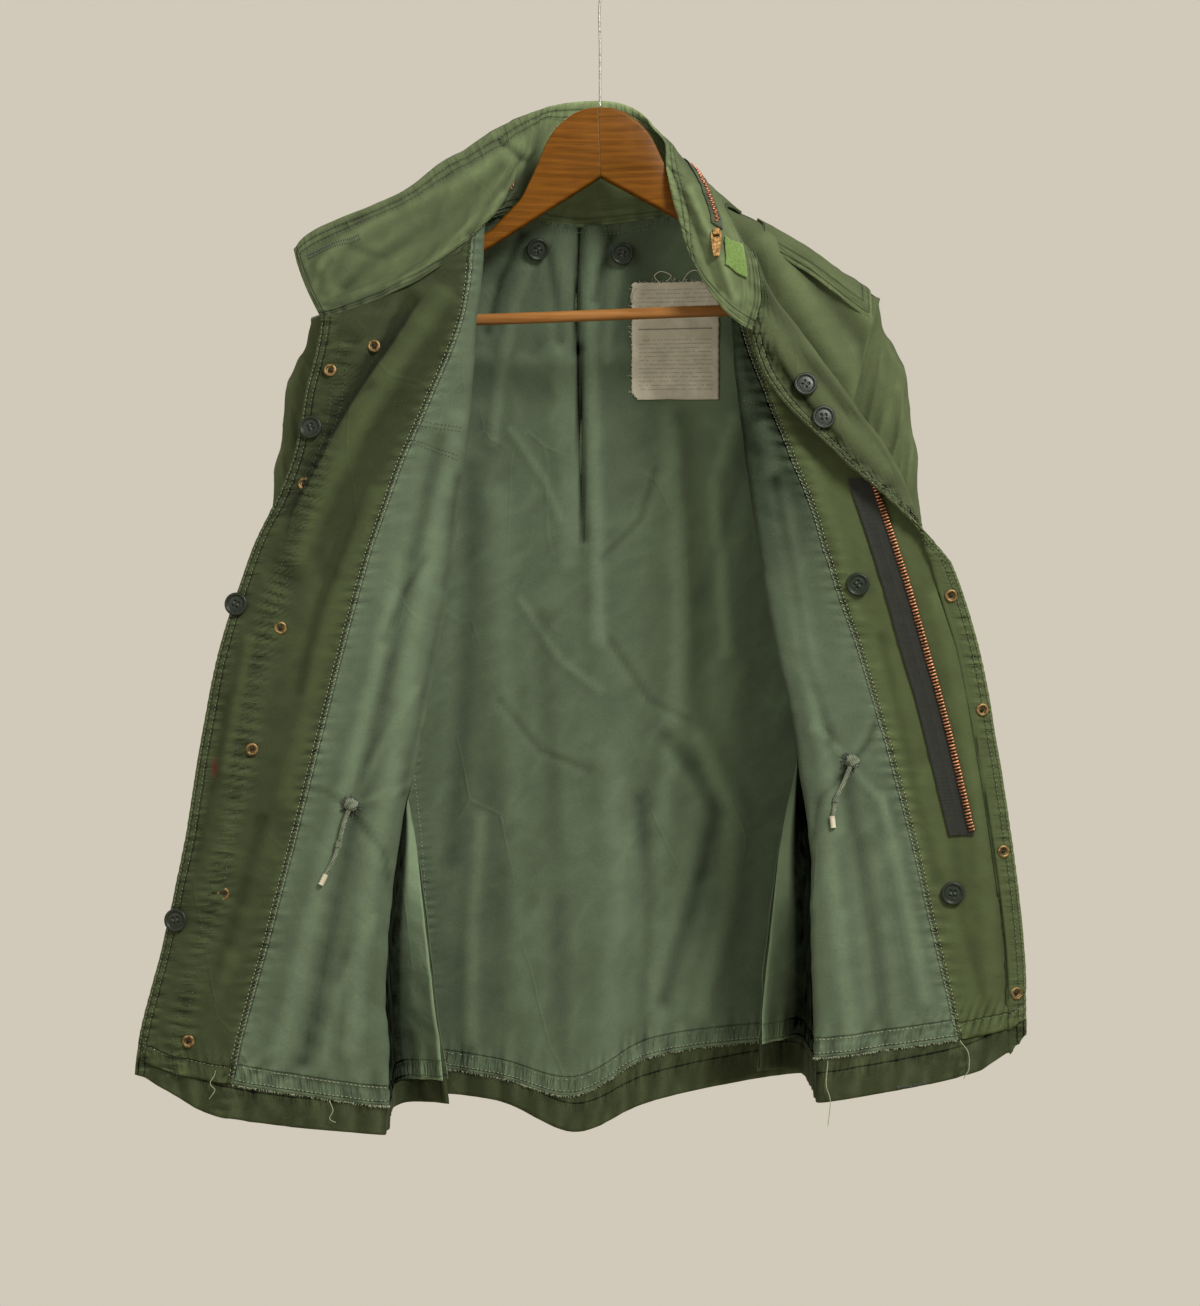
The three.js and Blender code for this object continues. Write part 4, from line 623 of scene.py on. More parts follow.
def grid_normals(grid):
    """Directions off a grid: its slope along the columns times its slope along the rows."""
    return unit(np.cross(np.gradient(grid, axis=0), np.gradient(grid, axis=1)))


def blurred(values, reach):
    """Values averaged over their neighbours, by shifting the grid a few times."""
    total = values.copy()
    for _ in range(reach):
        padded = np.pad(total, 1, mode="edge")
        total = (padded[:-2, 1:-1] + padded[2:, 1:-1] + padded[1:-1, :-2] + padded[1:-1, 2:] + 4 * total) / 8
    return total


def cloth_wall(name, grid, low, high, normals=None, values=None, uv=None, thin=None):
    """A closed cloth wall from low to high along a grid's normals, thinned towards its edges."""
    normals = grid_normals(grid) if normals is None else normals
    columns, rows = grid.shape[:2]
    centre, half = (low + high) / 2, (high - low) / 2
    share = np.ones((columns, rows, 1)) if thin is None else thin[..., None]
    near = grid + normals * (centre - half * share)
    far = grid + normals * (centre + half * share)
    points = np.concatenate([near.reshape(-1, 3), far.reshape(-1, 3)])
    doubled = {}
    for key, value in (values or {}).items():
        pair = value if isinstance(value, tuple) else (value, value)
        doubled[key] = np.concatenate([pair[0].ravel(), pair[1].ravel()])
    flat = None if uv is None else np.concatenate([uv.reshape(-1, 2)] * 2)
    return mesh_object(name, points, wall_faces(columns, rows), doubled, flat)


def joined(name, shapes):
    """One mesh from many equal shapes: an array of points for each, and the faces they share."""
    points, faces = shapes
    count, size = points.shape[:2]
    every = (faces[None] + (np.arange(count) * size)[:, None, None]).reshape(-1, faces.shape[1])
    return mesh_object(name, points.reshape(-1, 3), every)


def arc_of(line):
    """The length along a line of points, at each of them."""
    return np.concatenate([[0], np.cumsum(np.linalg.norm(np.diff(line, axis=0), axis=1))])


def at_lengths(lengths, arc, line):
    """Values read at some lengths along a line, whose rows belong to the lengths in its arc."""
    return np.stack([np.interp(lengths, arc, line[:, k]) for k in range(3)], -1)


# Faces of a stitch over its two ends and the four points round its middle.
SPINDLE = np.array([
    (0, 2, 4), (0, 4, 3), (0, 3, 5), (0, 5, 2), (1, 4, 2), (1, 3, 4), (1, 5, 3), (1, 2, 5),
])


def spindles(start, finish, out, width, height):
    """Stitches: each is a small spindle between two points, raised in its middle."""
    side = unit(np.cross(finish - start, out)) * width / 2
    middle = (start + finish) / 2
    points = [start, finish, middle + side, middle - side, middle + out * height, middle - out * height * 0.5]
    return np.stack(points, 1), SPINDLE


def seam_stitches(panel, places, heights, height, length=2.7, gap=0.9):
    """Stitch ends along a line on a panel: the line is cut into equal lengths by its own arc."""
    points, _ = panel.surface(places, heights, np.full(places.shape, height))
    arc = arc_of(points)
    starts = np.arange(1, arc[-1] - length, length + gap)
    ends = [
        np.stack([np.interp(at, arc, line) for line in (places, heights)]) for at in (starts, starts + length)
    ]
    made = [panel.surface(s, z, np.full(s.shape, height)) for s, z in ends]
    return made[0][0], made[1][0], made[0][1] * np.sign(height)


# Materials


def linear(red, green, blue):
    """A colour given on the usual 0 to 255 scale, as the shaders take it."""
    def channel(value):
        value /= 255
        return value / 12.92 if value <= 0.04045 else ((value + 0.055) / 1.055) ** 2.4
    return (channel(red), channel(green), channel(blue), 1.0)


class Nodes:
    """A short way to write a material's nodes."""

    def __init__(self, name):
        self.material = bpy.data.materials.new(name)
        self.material.use_nodes = True
        self.tree = self.material.node_tree
        self.tree.nodes.clear()
        self.out = self.tree.nodes.new("ShaderNodeOutputMaterial")
        self.shader = self.tree.nodes.new("ShaderNodeBsdfPrincipled")
        self.link(self.shader.outputs[0], self.out.inputs["Surface"])

    def link(self, source, target):
        self.tree.links.new(source, target)

    def node(self, kind, values=None, **settings):
        made = self.tree.nodes.new(kind)
        for key, value in settings.items():
            setattr(made, key, value)
        for key, value in (values or {}).items():
            if isinstance(value, bpy.types.NodeSocket):
                self.link(value, made.inputs[key])
            else:
                made.inputs[key].default_value = value
        return made

    def place(self, kind="Object", scale=(1, 1, 1), turn=(0, 0, 0)):
        source = self.node("ShaderNodeTexCoord").outputs[kind]
        mapped = self.node("ShaderNodeMapping", {"Vector": source, "Scale": scale, "Rotation": turn})
        return mapped.outputs[0]

    def noise(self, vector, scale, detail=3.0, rough=0.55, warp=0.0):
        values = {"Vector": vector, "Scale": scale, "Detail": detail, "Roughness": rough, "Distortion": warp}
        return self.node("ShaderNodeTexNoise", values).outputs["Fac"]

    def wave(self, vector, scale, warp=0.0, detail=1.0, direction="X"):
        values = {"Vector": vector, "Scale": scale, "Distortion": warp, "Detail": detail}
        return self.node("ShaderNodeTexWave", values, bands_direction=direction).outputs["Fac"]

    def ramp(self, value, stops):
        made = self.node("ShaderNodeMapRange", {"Value": value, "From Min": stops[0], "From Max": stops[1],
                                                "To Min": stops[2], "To Max": stops[3]})
        return made.outputs[0]

    def math(self, operation, a, b=0.0):
        return self.node("ShaderNodeMath", {0: a, 1: b}, operation=operation).outputs[0]

    def near(self, value, at, width):
        """1 where a value equals another, falling to 0 a width away from it."""
        return self.ramp(self.math("ABSOLUTE", self.math("SUBTRACT", value, at)), (0.0, width, 1.0, 0.0))

    def mix(self, share, a, b):
        made = self.node("ShaderNodeMix", {"Factor": share}, data_type="RGBA")
        for socket, value in ((made.inputs[6], a), (made.inputs[7], b)):
            if isinstance(value, bpy.types.NodeSocket):
                self.link(value, socket)
            else:
                socket.default_value = value
        return made.outputs[2]

    def bright(self, colour, factor):
        made = self.node("ShaderNodeHueSaturation", {"Color": colour, "Value": factor})
        return made.outputs[0]

    def attribute(self, name):
        return self.node("ShaderNodeAttribute", attribute_name=name).outputs["Fac"]

    def bump(self, height, strength, distance, normal=None):
        values = {"Height": height, "Strength": strength, "Distance": distance}
        if normal is not None:
            values["Normal"] = normal
        return self.node("ShaderNodeBump", values).outputs[0]

    def set(self, **values):
        for key, value in values.items():
            socket = self.shader.inputs[key.replace("_", " ")]
            if isinstance(value, bpy.types.NodeSocket):
                self.link(value, socket)
            else:
                socket.default_value = value
        return self.material


# For each kind of cloth, how many millimetres its seam lines lie from the free edge, the hem
# and the inner seam, and how many puckers its hem has in a metre.
SEAM_LINES = {
    "shell": ({"edge": (2.6, 7.6), "hem": (24.0,)}, 190),
    "facing": ({"edge": (2.6, 7.6), "hem": (13.0,), "seam": (1.8,)}, 190),
    "lining": ({"hem": (3.0, 16.0), "seam": (-3.2, 0.0)}, 330),
    "collar": ({"edge": (5.2, 9.6), "hem": (1.8, 4.6)}, 190),
}


def cloth_material(name, colour, pale, dark, kind):
    """Washed cotton: soft clouds of colour, pale worn edges and painted highlights on fold ridges from one
    attribute, painted shade and light from the tone attribute, and a bump of wrinkles and weave. The
    edge, hem and seam attributes are distances in millimetres plus the shift. They place dark seam
    lines and the puckers beside them, which get painted light and shade. The step attribute is such a
    distance from a fold's rim, with painted shade on one side and a painted highlight on the other."""
    n = Nodes(name)
    spot = n.place()
    lines, rib = SEAM_LINES[kind]
    away = {key: n.math("SUBTRACT", n.attribute(key), SHIFT) for key in ("edge", "hem", "seam", "step")}
    clouds = n.noise(spot, 8, 3, 0.5, 0.4)
    blots = n.noise(spot, 34, 3, 0.55)
    fleck = n.noise(spot, 620, 2, 0.7)
    twill = n.wave(n.place("UV", (1, 1, 1), (0, 0, math.radians(38))), 420, 0.6)
    tone = n.mix(n.ramp(clouds, (0.3, 0.7, 0.45, 1.0)), dark, colour)
    tone = n.mix(n.ramp(blots, (0.4, 0.75, 0.0, 0.13)), tone, pale)
    # Pale worn edges, seams and hems, and painted highlights on the ridges of folds.
    wear_and_highlight = n.math("MULTIPLY", n.attribute("wear_and_highlight"), n.ramp(n.noise(spot, 260, 3, 0.7), (0.3, 0.7, 0.35, 1.15)))
    tone = n.mix(n.node("ShaderNodeClamp", {"Value": wear_and_highlight}).outputs[0], tone, pale)
    tone = n.mix(n.attribute("stain"), tone, linear(96, 30, 24))
    grooves = [n.near(away[key], at, 1.0) for key, places in lines.items() for at in places]
    groove = grooves[0]
    for each in grooves[1:]:
        groove = n.math("MAXIMUM", groove, each)
    down_wave = n.math("SUBTRACT", n.noise(n.place("UV", (26, 150, 1)), 1.0, 2, 0.6, 0.5), 0.5)
    across_wave = n.math("SUBTRACT", n.noise(n.place("UV", (rib, 36, 1)), 1.0, 2, 0.6, 0.3), 0.5)
    beside = n.math("MAXIMUM", n.near(away["edge"], 6.0, 11.0), n.near(away["seam"], 0.0, 9.0))
    beside = n.math("MAXIMUM", beside, n.attribute("pucker"))
    pucker = n.math("MULTIPLY", down_wave, beside)
    reach = 24.0 if kind == "shell" else 9.0
    pucker = n.math("ADD", pucker, n.math("MULTIPLY", across_wave, n.near(away["hem"], reach, 11.0)))
    slanted = n.place("Object", (1, 1, 0.5), (0, 0.5, 0))
    cells = n.node("ShaderNodeTexVoronoi", {"Vector": slanted, "Scale": 15.0}, feature="DISTANCE_TO_EDGE")
    shown = n.ramp(n.noise(spot, 9, 2, 0.5), (0.46, 0.62, 0.0, 1.0))
    crease = n.math("MULTIPLY", n.near(cells.outputs["Distance"], 0.0, 0.022), shown)
    # Brightness: painted shade and light from the tone attribute, the cloth's own flecks and twill, a painted
    # highlight along the crease lines, painted light and shade on the puckers, and dark seam lines.
    light = n.math("ADD", n.attribute("tone"), n.ramp(fleck, (0.3, 0.7, -0.07, 0.07)))
    light = n.math("ADD", light, n.ramp(twill, (0, 1, -0.035, 0.035)))
    light = n.math("ADD", light, n.math("MULTIPLY", crease, 0.06))
    light = n.math("ADD", light, n.math("MULTIPLY", pucker, 1.25))
    light = n.math("SUBTRACT", light, n.math("MULTIPLY", groove, 0.42))
    # Beside a fold's rim: a painted highlight on one side and painted shade in the trough on the other.
    side = n.ramp(away["step"], (-1.6, 0.6, 0, 1))
    rim = n.math("MULTIPLY", n.ramp(away["step"], (0, 34, 0.2, 0)), side)
    trough = n.math("MULTIPLY", n.ramp(away["step"], (-42, -1, 0, -0.34)), n.math("SUBTRACT", 1.0, side))
    step = n.math("MULTIPLY", n.math("ADD", rim, trough), n.attribute("deep"))
    light = n.math("ADD", n.math("ADD", light, step), 1.0)
    tone = n.bright(tone, light)
    normal = n.bump(pucker, 1.0, 0.0045)
    normal = n.bump(n.math("SUBTRACT", n.math("MULTIPLY", crease, 0.5), groove), 0.8, 0.0009, normal)
    normal = n.bump(n.noise(spot, 60, 3, 0.5, 1.2), 0.22, 0.002, normal)
    normal = n.bump(n.noise(n.place("Object", (1, 1, 2.2)), 300, 3, 0.65, 0.6), 0.35, 0.0005, normal)
    normal = n.bump(twill, 0.3, 0.00018, normal)
    rough = n.ramp(blots, (0.3, 0.7, 0.82, 0.96))
    gloss = n.ramp(n.attribute("tone"), (-0.75, -0.35, 0.0, 0.18))
    return n.set(Base_Color=tone, Roughness=rough, Normal=normal, Specular_IOR_Level=gloss,
                 Sheen_Weight=n.math("MULTIPLY", gloss, 0.1), Sheen_Roughness=0.5)


def thread_material(name, colour, dark):
    """Sewing thread: a small change of colour along each stitch and a twisted bump."""
    n = Nodes(name)
    spot = n.place()
    tone = n.mix(n.noise(spot, 900, 2), dark, colour)
    normal = n.bump(n.wave(n.place("Object", (1, 1, 1), (0.3, 0.5, 0.2)), 900), 0.5, 0.0002)
    return n.set(Base_Color=tone, Roughness=0.85, Normal=normal, Sheen_Weight=0.2)


def wood_material(name, colour, dark, pale, turn):
    """Varnished wood: stretched noise and bent bands for the grain, under a thin coat."""
    n = Nodes(name)
    along = n.place("Object", (2.2, 14, 30), turn)
    grain = n.noise(along, 5.5, 5, 0.6, 1.2)
    bands = n.wave(n.place("Object", (3, 10, 34), turn), 1.6, 6, 3, "Z")
    pores = n.noise(n.place("Object", (14, 200, 320), turn), 3.2, 3, 0.7)
    tone = n.mix(n.ramp(grain, (0.3, 0.7, 0, 1)), dark, colour)
    tone = n.mix(n.ramp(bands, (0.4, 1, 0, 0.22)), tone, pale)
    tone = n.mix(n.ramp(n.noise(n.place(), 14, 3), (0.4, 0.7, 0, 0.3)), tone, pale)
    tone = n.mix(n.ramp(pores, (0.52, 0.75, 0, 0.6)), tone, dark)
    normal = n.bump(n.math("ADD", pores, grain), 0.25, 0.0005)
    rough = n.ramp(grain, (0.3, 0.7, 0.3, 0.48))
    return n.set(Base_Color=tone, Roughness=rough, Normal=normal, Specular_IOR_Level=0.12, Coat_Weight=0.01,
                 Coat_Roughness=0.25)


def metal_material(name, colour, dark, rough=0.36):
    """Worn metal: darker in its clouds, with fine scratches."""
    n = Nodes(name)
    spot = n.place()
    clouds = n.noise(spot, 420, 4, 0.65)
    tone = n.mix(n.ramp(clouds, (0.35, 0.68, 0, 1)), dark, colour)
    scratches = n.noise(n.place("Object", (1, 6, 1)), 900, 2, 0.7)
    return n.set(Base_Color=tone, Metallic=0.9, Roughness=n.ramp(clouds, (0.3, 0.7, rough, rough + 0.25)),
                 Normal=n.bump(scratches, 0.3, 0.0002))


def button_material(settings):
    """Dark moulded plastic with a dull sheen and small scratches."""
    n = Nodes("button plastic")
    spot = n.place()
    clouds = n.noise(spot, 300, 4, 0.6)
    tone = n.mix(n.ramp(clouds, (0.35, 0.7, 0, 1)), linear(24, 30, 24), tuple(settings.button_colour) + (1,))
    normal = n.bump(n.noise(spot, 1400, 3, 0.7), 0.25, 0.0002)
    return n.set(Base_Color=tone, Roughness=n.ramp(clouds, (0.3, 0.7, 0.3, 0.46)), Normal=normal,
                 Specular_IOR_Level=0.2, Coat_Weight=0.02, Coat_Roughness=0.2)


def label_material():
    """Worn label cloth: off-white, with a ruled line and rows of faint plain bars, no words."""
    n = Nodes("label cloth")
    spot = n.place()
    clouds = n.noise(spot, 60, 4, 0.65)
    base = n.mix(n.ramp(clouds, (0.35, 0.7, 0, 1)), linear(168, 163, 144), linear(190, 186, 168))
    uv = n.node("ShaderNodeSeparateXYZ", {0: n.place("UV")})
    x, y = uv.outputs[0], uv.outputs[1]
    row = n.math("FRACT", n.math("MULTIPLY", y, 28.0))
    line = n.math("MULTIPLY", n.math("GREATER_THAN", row, 0.36), n.math("LESS_THAN", row, 0.62))
    cells = n.node("ShaderNodeMapping", {"Vector": n.place("UV"), "Scale": (46, 28, 1)})
    gaps = n.noise(cells.outputs[0], 1.0, 1, 0.5)
    line = n.math("MULTIPLY", line, n.math("GREATER_THAN", gaps, 0.42))
    lower = n.math("MULTIPLY", n.math("GREATER_THAN", y, 0.45), n.math("LESS_THAN", y, 0.94))
    upper = n.math("MULTIPLY", n.math("GREATER_THAN", y, 0.05), n.math("LESS_THAN", y, 0.22))
    block = n.math("MAXIMUM", lower, upper)
    inset = n.math("MULTIPLY", n.math("GREATER_THAN", x, 0.08), n.math("LESS_THAN", x, 0.93))
    print_share = n.math("MULTIPLY", n.math("MULTIPLY", line, n.math("MULTIPLY", block, inset)), 0.42)
    rule = n.math("LESS_THAN", n.math("ABSOLUTE", n.math("SUBTRACT", y, 0.39)), 0.006)
    rule = n.math("MULTIPLY", n.math("MULTIPLY", rule, inset), 0.75)
    tone = n.mix(n.math("MAXIMUM", print_share, rule), base, linear(96, 94, 84))
    weave = n.math("ADD", n.wave(spot, 520), n.wave(spot, 520, direction="Z"))
    normal = n.bump(n.noise(spot, 130, 4, 0.6, 0.8), 0.5, 0.0012)
    return n.set(Base_Color=tone, Roughness=0.88, Normal=n.bump(weave, 0.35, 0.0002, normal),
                 Sheen_Weight=0.1)


def tape_material(name, colour, dark):
    """Twill tape: slanted ribs by its own UV map."""
    n = Nodes(name)
    ribs = n.wave(n.place("UV", (1, 1, 1), (0, 0, math.radians(35))), 260, 0.4)
    cross = n.wave(n.place("UV"), 330, 0.2, direction="Y")
    clouds = n.noise(n.place(), 130, 4, 0.6)
    tone = n.mix(n.ramp(clouds, (0.35, 0.7, 0, 0.7)), dark, colour)
    tone = n.bright(tone, n.ramp(ribs, (0, 1, 0.62, 1.3)))
    normal = n.bump(n.math("ADD", ribs, cross), 0.8, 0.0006)
    return n.set(Base_Color=tone, Roughness=0.9, Normal=normal, Sheen_Weight=0.1)


def fuzzy_material(name, colour, pale):
    """Hook-and-loop tape: a fuzzy bump and mottled colour."""
    n = Nodes(name)
    spot = n.place()
    fuzz = n.noise(spot, 700, 4, 0.8)
    tone = n.mix(n.ramp(fuzz, (0.3, 0.7, 0, 1)), colour, pale)
    return n.set(Base_Color=tone, Roughness=0.95, Normal=n.bump(fuzz, 1.0, 0.001), Sheen_Weight=0.3)


# Settings


# The usual paleness of worn edges and of the painted highlights on fold ridges.
USUAL_WEAR_AND_HIGHLIGHT = 0.55


class FieldJacketSettings(bpy.types.PropertyGroup):
    """Sizes and colours of the jacket."""

    shell_colour: FloatVectorProperty(
        name="Shell", description="Colour of the outer cloth", subtype="COLOR",
        default=(0.057, 0.073, 0.032), min=0, max=1)
    facing_colour: FloatVectorProperty(
        name="Facing", description="Colour of the cloth along the front edges", subtype="COLOR",
        default=(0.040, 0.053, 0.0205), min=0, max=1)
    lining_colour: FloatVectorProperty(
        name="Lining", description="Colour of the lining", subtype="COLOR",
        default=(0.066, 0.092, 0.056), min=0, max=1)
    collar_colour: FloatVectorProperty(
        name="Collar", description="Colour of the collar", subtype="COLOR",
        default=(0.056, 0.073, 0.033), min=0, max=1)
    wood_colour: FloatVectorProperty(
        name="Wood", description="Colour of the hanger", subtype="COLOR",
        default=(0.115, 0.0405, 0.0015), min=0, max=1)
    button_colour: FloatVectorProperty(
        name="Buttons", description="Colour of the buttons", subtype="COLOR",
        default=linear(32, 40, 29)[:3], min=0, max=1)
    brass_colour: FloatVectorProperty(
        name="Brass", description="Colour of the snaps", subtype="COLOR",
        default=linear(148, 124, 82)[:3], min=0, max=1)
    zip_colour: FloatVectorProperty(
        name="Zip teeth", description="Colour of the zip's teeth", subtype="COLOR",
        default=linear(214, 150, 112)[:3], min=0, max=1)
    stitch_length: FloatProperty(
        name="Stitch", description="Length of one stitch", unit="LENGTH", default=2.7 * MM,
        min=0.001, max=0.01)
    button_diameter: FloatProperty(
        name="Button", description="Diameter of a button", unit="LENGTH", default=19 * MM,
        min=0.008, max=0.03)
    # The paleness of worn edges and seams, which also scales the painted highlights on the ridges of the
    # panels' folds.
    wear_and_highlight: FloatProperty(
        name="Wear", description="How pale the worn edges and seams are", subtype="FACTOR",
        default=USUAL_WEAR_AND_HIGHLIGHT, min=0, max=1)
    cloth_rows: IntProperty(
        name="Cloth rows", description="Rows of each front panel's mesh", default=226, min=60, max=320)


def colour_of(values, factor=1.0):
    """A setting's colour, made lighter or darker."""
    return tuple(min(1.0, value * factor) for value in values) + (1.0,)


def cloth_of(settings, kind):
    """The cloth material of a kind, made once."""
    name = f"{kind} cloth"
    if name in bpy.data.materials:
        return bpy.data.materials[name]
    colours = {
        "shell": settings.shell_colour,
        "facing": settings.facing_colour,
        "lining": settings.lining_colour,
        "collar": settings.collar_colour,
    }
    colour = colours[kind]
    return cloth_material(name, colour_of(colour), colour_of(colour, 2.3), colour_of(colour, 0.74), kind)


# Cloth layers of the panels


def layer(panel, kind, node, places, rows, settings):
    """One cloth layer of a panel, from its top to its hem. Places are two places of the panel's
    section and how many columns lie between them, evenly by their length across the cloth."""
    low, high = WALLS[kind]
    end = "shell" if kind == "shell" else "lining"
    mean = panel.table_u.mean(axis=1)
    first, last = np.interp([places[0], places[1]], panel.table_s, mean)
    s = np.interp(np.linspace(first, last, places[2]), mean, panel.table_s)
    s[0], s[-1] = places[0], places[1]
    down = np.linspace(0, 1, rows) ** 1.04
    s = np.repeat(s[:, None], rows, 1)
    top, hem = panel.end("top", s), panel.end(end, s)
    z = top + (hem - top) * down[None, :]
    relief = panel.relief(s, z)
    base = panel.base(s, z)
    grid = base + panel.inward(s, z) * relief[..., None]
    u = panel.across(s, z)
    inner = kind in ("lining", "facing")
    # Painted highlights on the ridges of the folds; pale worn edges, seams and hem are added below.
    detail = (relief - blurred(relief, 9)) * (1 if inner else -1)
    wear_and_highlight = 0.16 * np.clip(detail, 0, 1)
    hem_line = z - panel.end(end, s)
    values = {"hem": SHIFT + np.clip(hem_line, -5, 90)}
    if panel.name != "back":
        edge = panel.across(float(panel.last), z) - u
        seam = u - panel.across(4.0, z)
        wear_and_highlight += 0.75 * np.exp(-np.abs(edge) / 1.8)
        wear_and_highlight += 0.5 * np.exp(-np.abs(seam) / 1.6) * inner
        values["edge"] = SHIFT + np.clip(edge, -5, 90)
        values["seam"] = SHIFT + np.clip(seam, -90, 90) * inner - 90 * (not inner)
    wear_and_highlight += 0.6 * np.exp(-hem_line / 1.6)
    # Painted shade in the hollows of the folds and painted light on their ridges, at a small and a broad
    # scale.
    broad = (relief - blurred(relief, 90)) * (1 if inner else -1)
    tone = np.clip(0.26 * detail, -0.4, 0.1) + np.clip(0.055 * broad, -0.3, 0.06)
    across, height = front_view(base)
    # The left facing's cloth is darker on its own. Near the top it gets painted shade, and beside its roll's
    # rim painted shade on one side and a painted highlight on the other.
    if kind == "facing" and panel.name == "left":
        tone -= 0.24 + 0.16 * smooth((z + 560) / 160)
        distance, _ = line_distance(across, height, ROLL_RIM)
        rim_x = np.interp(height, *np.array(ROLL_RIM, float)[:, ::-1].T)
        values["step"] = SHIFT + np.clip(distance, 0, 90) * np.sign(across - rim_x)
        values["deep"] = smooth((560 - height) / 90) * smooth((height - 282) / 50)
    # The linings get painted shade under the rolls, and so does the shell's band behind the right one.
    if kind == "lining" and panel.name == "right":
        tone -= 0.5 * smooth((z + 560) / 150) + 0.16 * smooth((z + 800) / 120)
    if kind == "lining" and panel.name == "left":
        tone -= 0.1 * smooth((z + 560) / 150)
    if kind == "shell" and panel.name == "right":
        tone -= 0.13 * smooth((s - 5.7) / 0.4) + 0.25 * smooth((s - 5.7) / 0.4) * smooth((z + 480) / 60)
    # Low down, each front turns back into a gap of painted shade, beside a strip of painted light.
    if kind == "lining" and panel.name != "back":
        tone -= 0.88 * smooth((s - 0.55) / 0.4) * smooth((2.62 - s) / 0.3) * smooth((-560 - z) / 160)
        tone += 1.3 * smooth((0.75 - s) / 0.3) * smooth((-640 - z) / 100)
    # Painted shade on the back: the shadow of the collar and the hanger, bands down its left side and a dark
    # gap and step down the pleat in its middle; painted light lifts its right side.
    if kind == "lining" and panel.name == "back":
        shadow = 357 + 7 * np.sin(across / 13) + 5 * np.sin(across / 5.3 + 1)
        tone -= 0.22 * smooth((shadow - height) / 10)
        tone -= 0.14 * np.exp(-(((across - 470) / 30) ** 2)) * smooth((700 - height) / 300)
        tone -= 0.1 * np.exp(-(((across - 450) / 24) ** 2)) * smooth((height - 800) / 100)
        tone += 0.6 * smooth((across - 640) / 60) * smooth((752 - across) / 30) * smooth((900 - height) / 200)
        gap = np.exp(-(((across - 582) / 4.5) ** 2)) * smooth((height - 335) / 15)
        tone -= 0.6 * gap * smooth((600 - height) / 260)
        pleat = np.array(PLEAT, float)
        values["step"] = SHIFT + np.clip(2.4 * (across - np.interp(height, pleat[:, 1], pleat[:, 0])), -90, 90)
        values["deep"] = 0.5 * smooth((620 - height) / 300)
    # Puckers beside the fly's stitching, in the bump and in painted light and shade.
    if panel.name == "left" and inner:
        distance, _ = line_distance(across, height, PUCKERS[0][6])
        values["pucker"] = 0.8 * np.exp(-((distance / 9) ** 2))
    # The painted shade on the facings is held to a floor, and the right facing is made a little lighter.
    if kind == "facing":
        tone = np.maximum(tone, -0.46) + 0.16 * (panel.name == "right")
    wear_and_highlight = wear_and_highlight * settings.wear_and_highlight / USUAL_WEAR_AND_HIGHLIGHT
    sign = panel.lining if inner else -panel.lining
    span = sorted((sign * low, sign * high))
    thin = 1 - 0.75 * np.exp(-hem_line / 1.6)
    # A shell's inner face gets painted shade, darker than its outer face.
    if not inner:
        shaded = np.maximum(tone - 0.5, -0.56)
        tone = (tone, shaded) if sign < 0 else (shaded, tone)
    stain = np.exp(-(((across - 215) / 2.6) ** 2) - ((height - 768) / 7) ** 2) * (kind == "facing")
    values.update({"wear_and_highlight": wear_and_highlight, "tone": tone, "stain": stain})
    obj = cloth_wall(f"cloth_{node}", grid, *span, values=values, uv=np.stack([u, -z], -1) * MM, thin=thin)
    return finish_mesh(obj, "jacket", [node], cloth_of(settings, kind))


class MakeView(bpy.types.Operator):
    """Makes the camera that looks straight at the front"""
    bl_idname = "field_jacket.view"
    bl_label = "Camera"

    def execute(self, context):
        camera = bpy.data.cameras.new("front camera")
        camera.lens = LENS
        camera.sensor_width = 36
        obj = bpy.data.objects.new("front camera", camera)
        obj.location = (0, -EYE_DISTANCE * MM, EYE_HEIGHT * MM)
        obj.rotation_euler = (math.pi / 2, 0, 0)
        context.scene.collection.objects.link(obj)
        context.scene.camera = obj
        return {"FINISHED"}


# x and z along each drawstring end, from its knot to its tip, and its length in metres. Then the
# cord's thickness and how far its middle lies off the panel.
CORDS = {
    "left": [(-202, -711), (-206, -722), (-209, -735), (-213, -748), (-219, -760), (-224, -770)],
    "right": [(201, -676), (196, -688), (190, -700), (188, -710), (187, -718), (185, -724)],
}
CORD_DIAMETER = 3.5
CORD_OFF = INNER_FACE + CORD_DIAMETER / 2 + 2.6


def tube(path, radius, sides):
    """A round section carried along a path: rings square to it, held upright by one side vector.
    The radius may change along the path."""
    path = np.asarray(path, float)
    ahead = unit(np.gradient(path, axis=0))
    side = unit(np.cross(ahead, np.array([0.13, -0.97, 0.2])))
    up = np.cross(side, ahead)
    angle = np.repeat(np.linspace(0, 2 * np.pi, sides, endpoint=False)[:, None], len(path), axis=1)
    reach = np.broadcast_to(radius, angle.shape)[..., None]
    return path[None] + reach * (np.cos(angle)[..., None] * side[None] + np.sin(angle)[..., None] * up[None])


def closed_tube(name, path, radius, sides):
    """A tube with both ends closed by a point in their middle."""
    rings = tube(path, radius, sides)
    rows = rings.shape[1]
    points = np.concatenate([rings.reshape(-1, 3), np.asarray(path, float)[[0, -1]]])
    faces = grid_faces(sides, rows, around=True)[:, ::-1]
    i = np.arange(sides)
    k = (i + 1) % sides
    first = np.stack([np.full(sides, sides * rows), k * rows, i * rows], -1)
    final = np.stack([np.full(sides, sides * rows + 1), i * rows + rows - 1, k * rows + rows - 1], -1)
    return listed_mesh(name, points, faces.tolist() + first.tolist() + final.tolist())


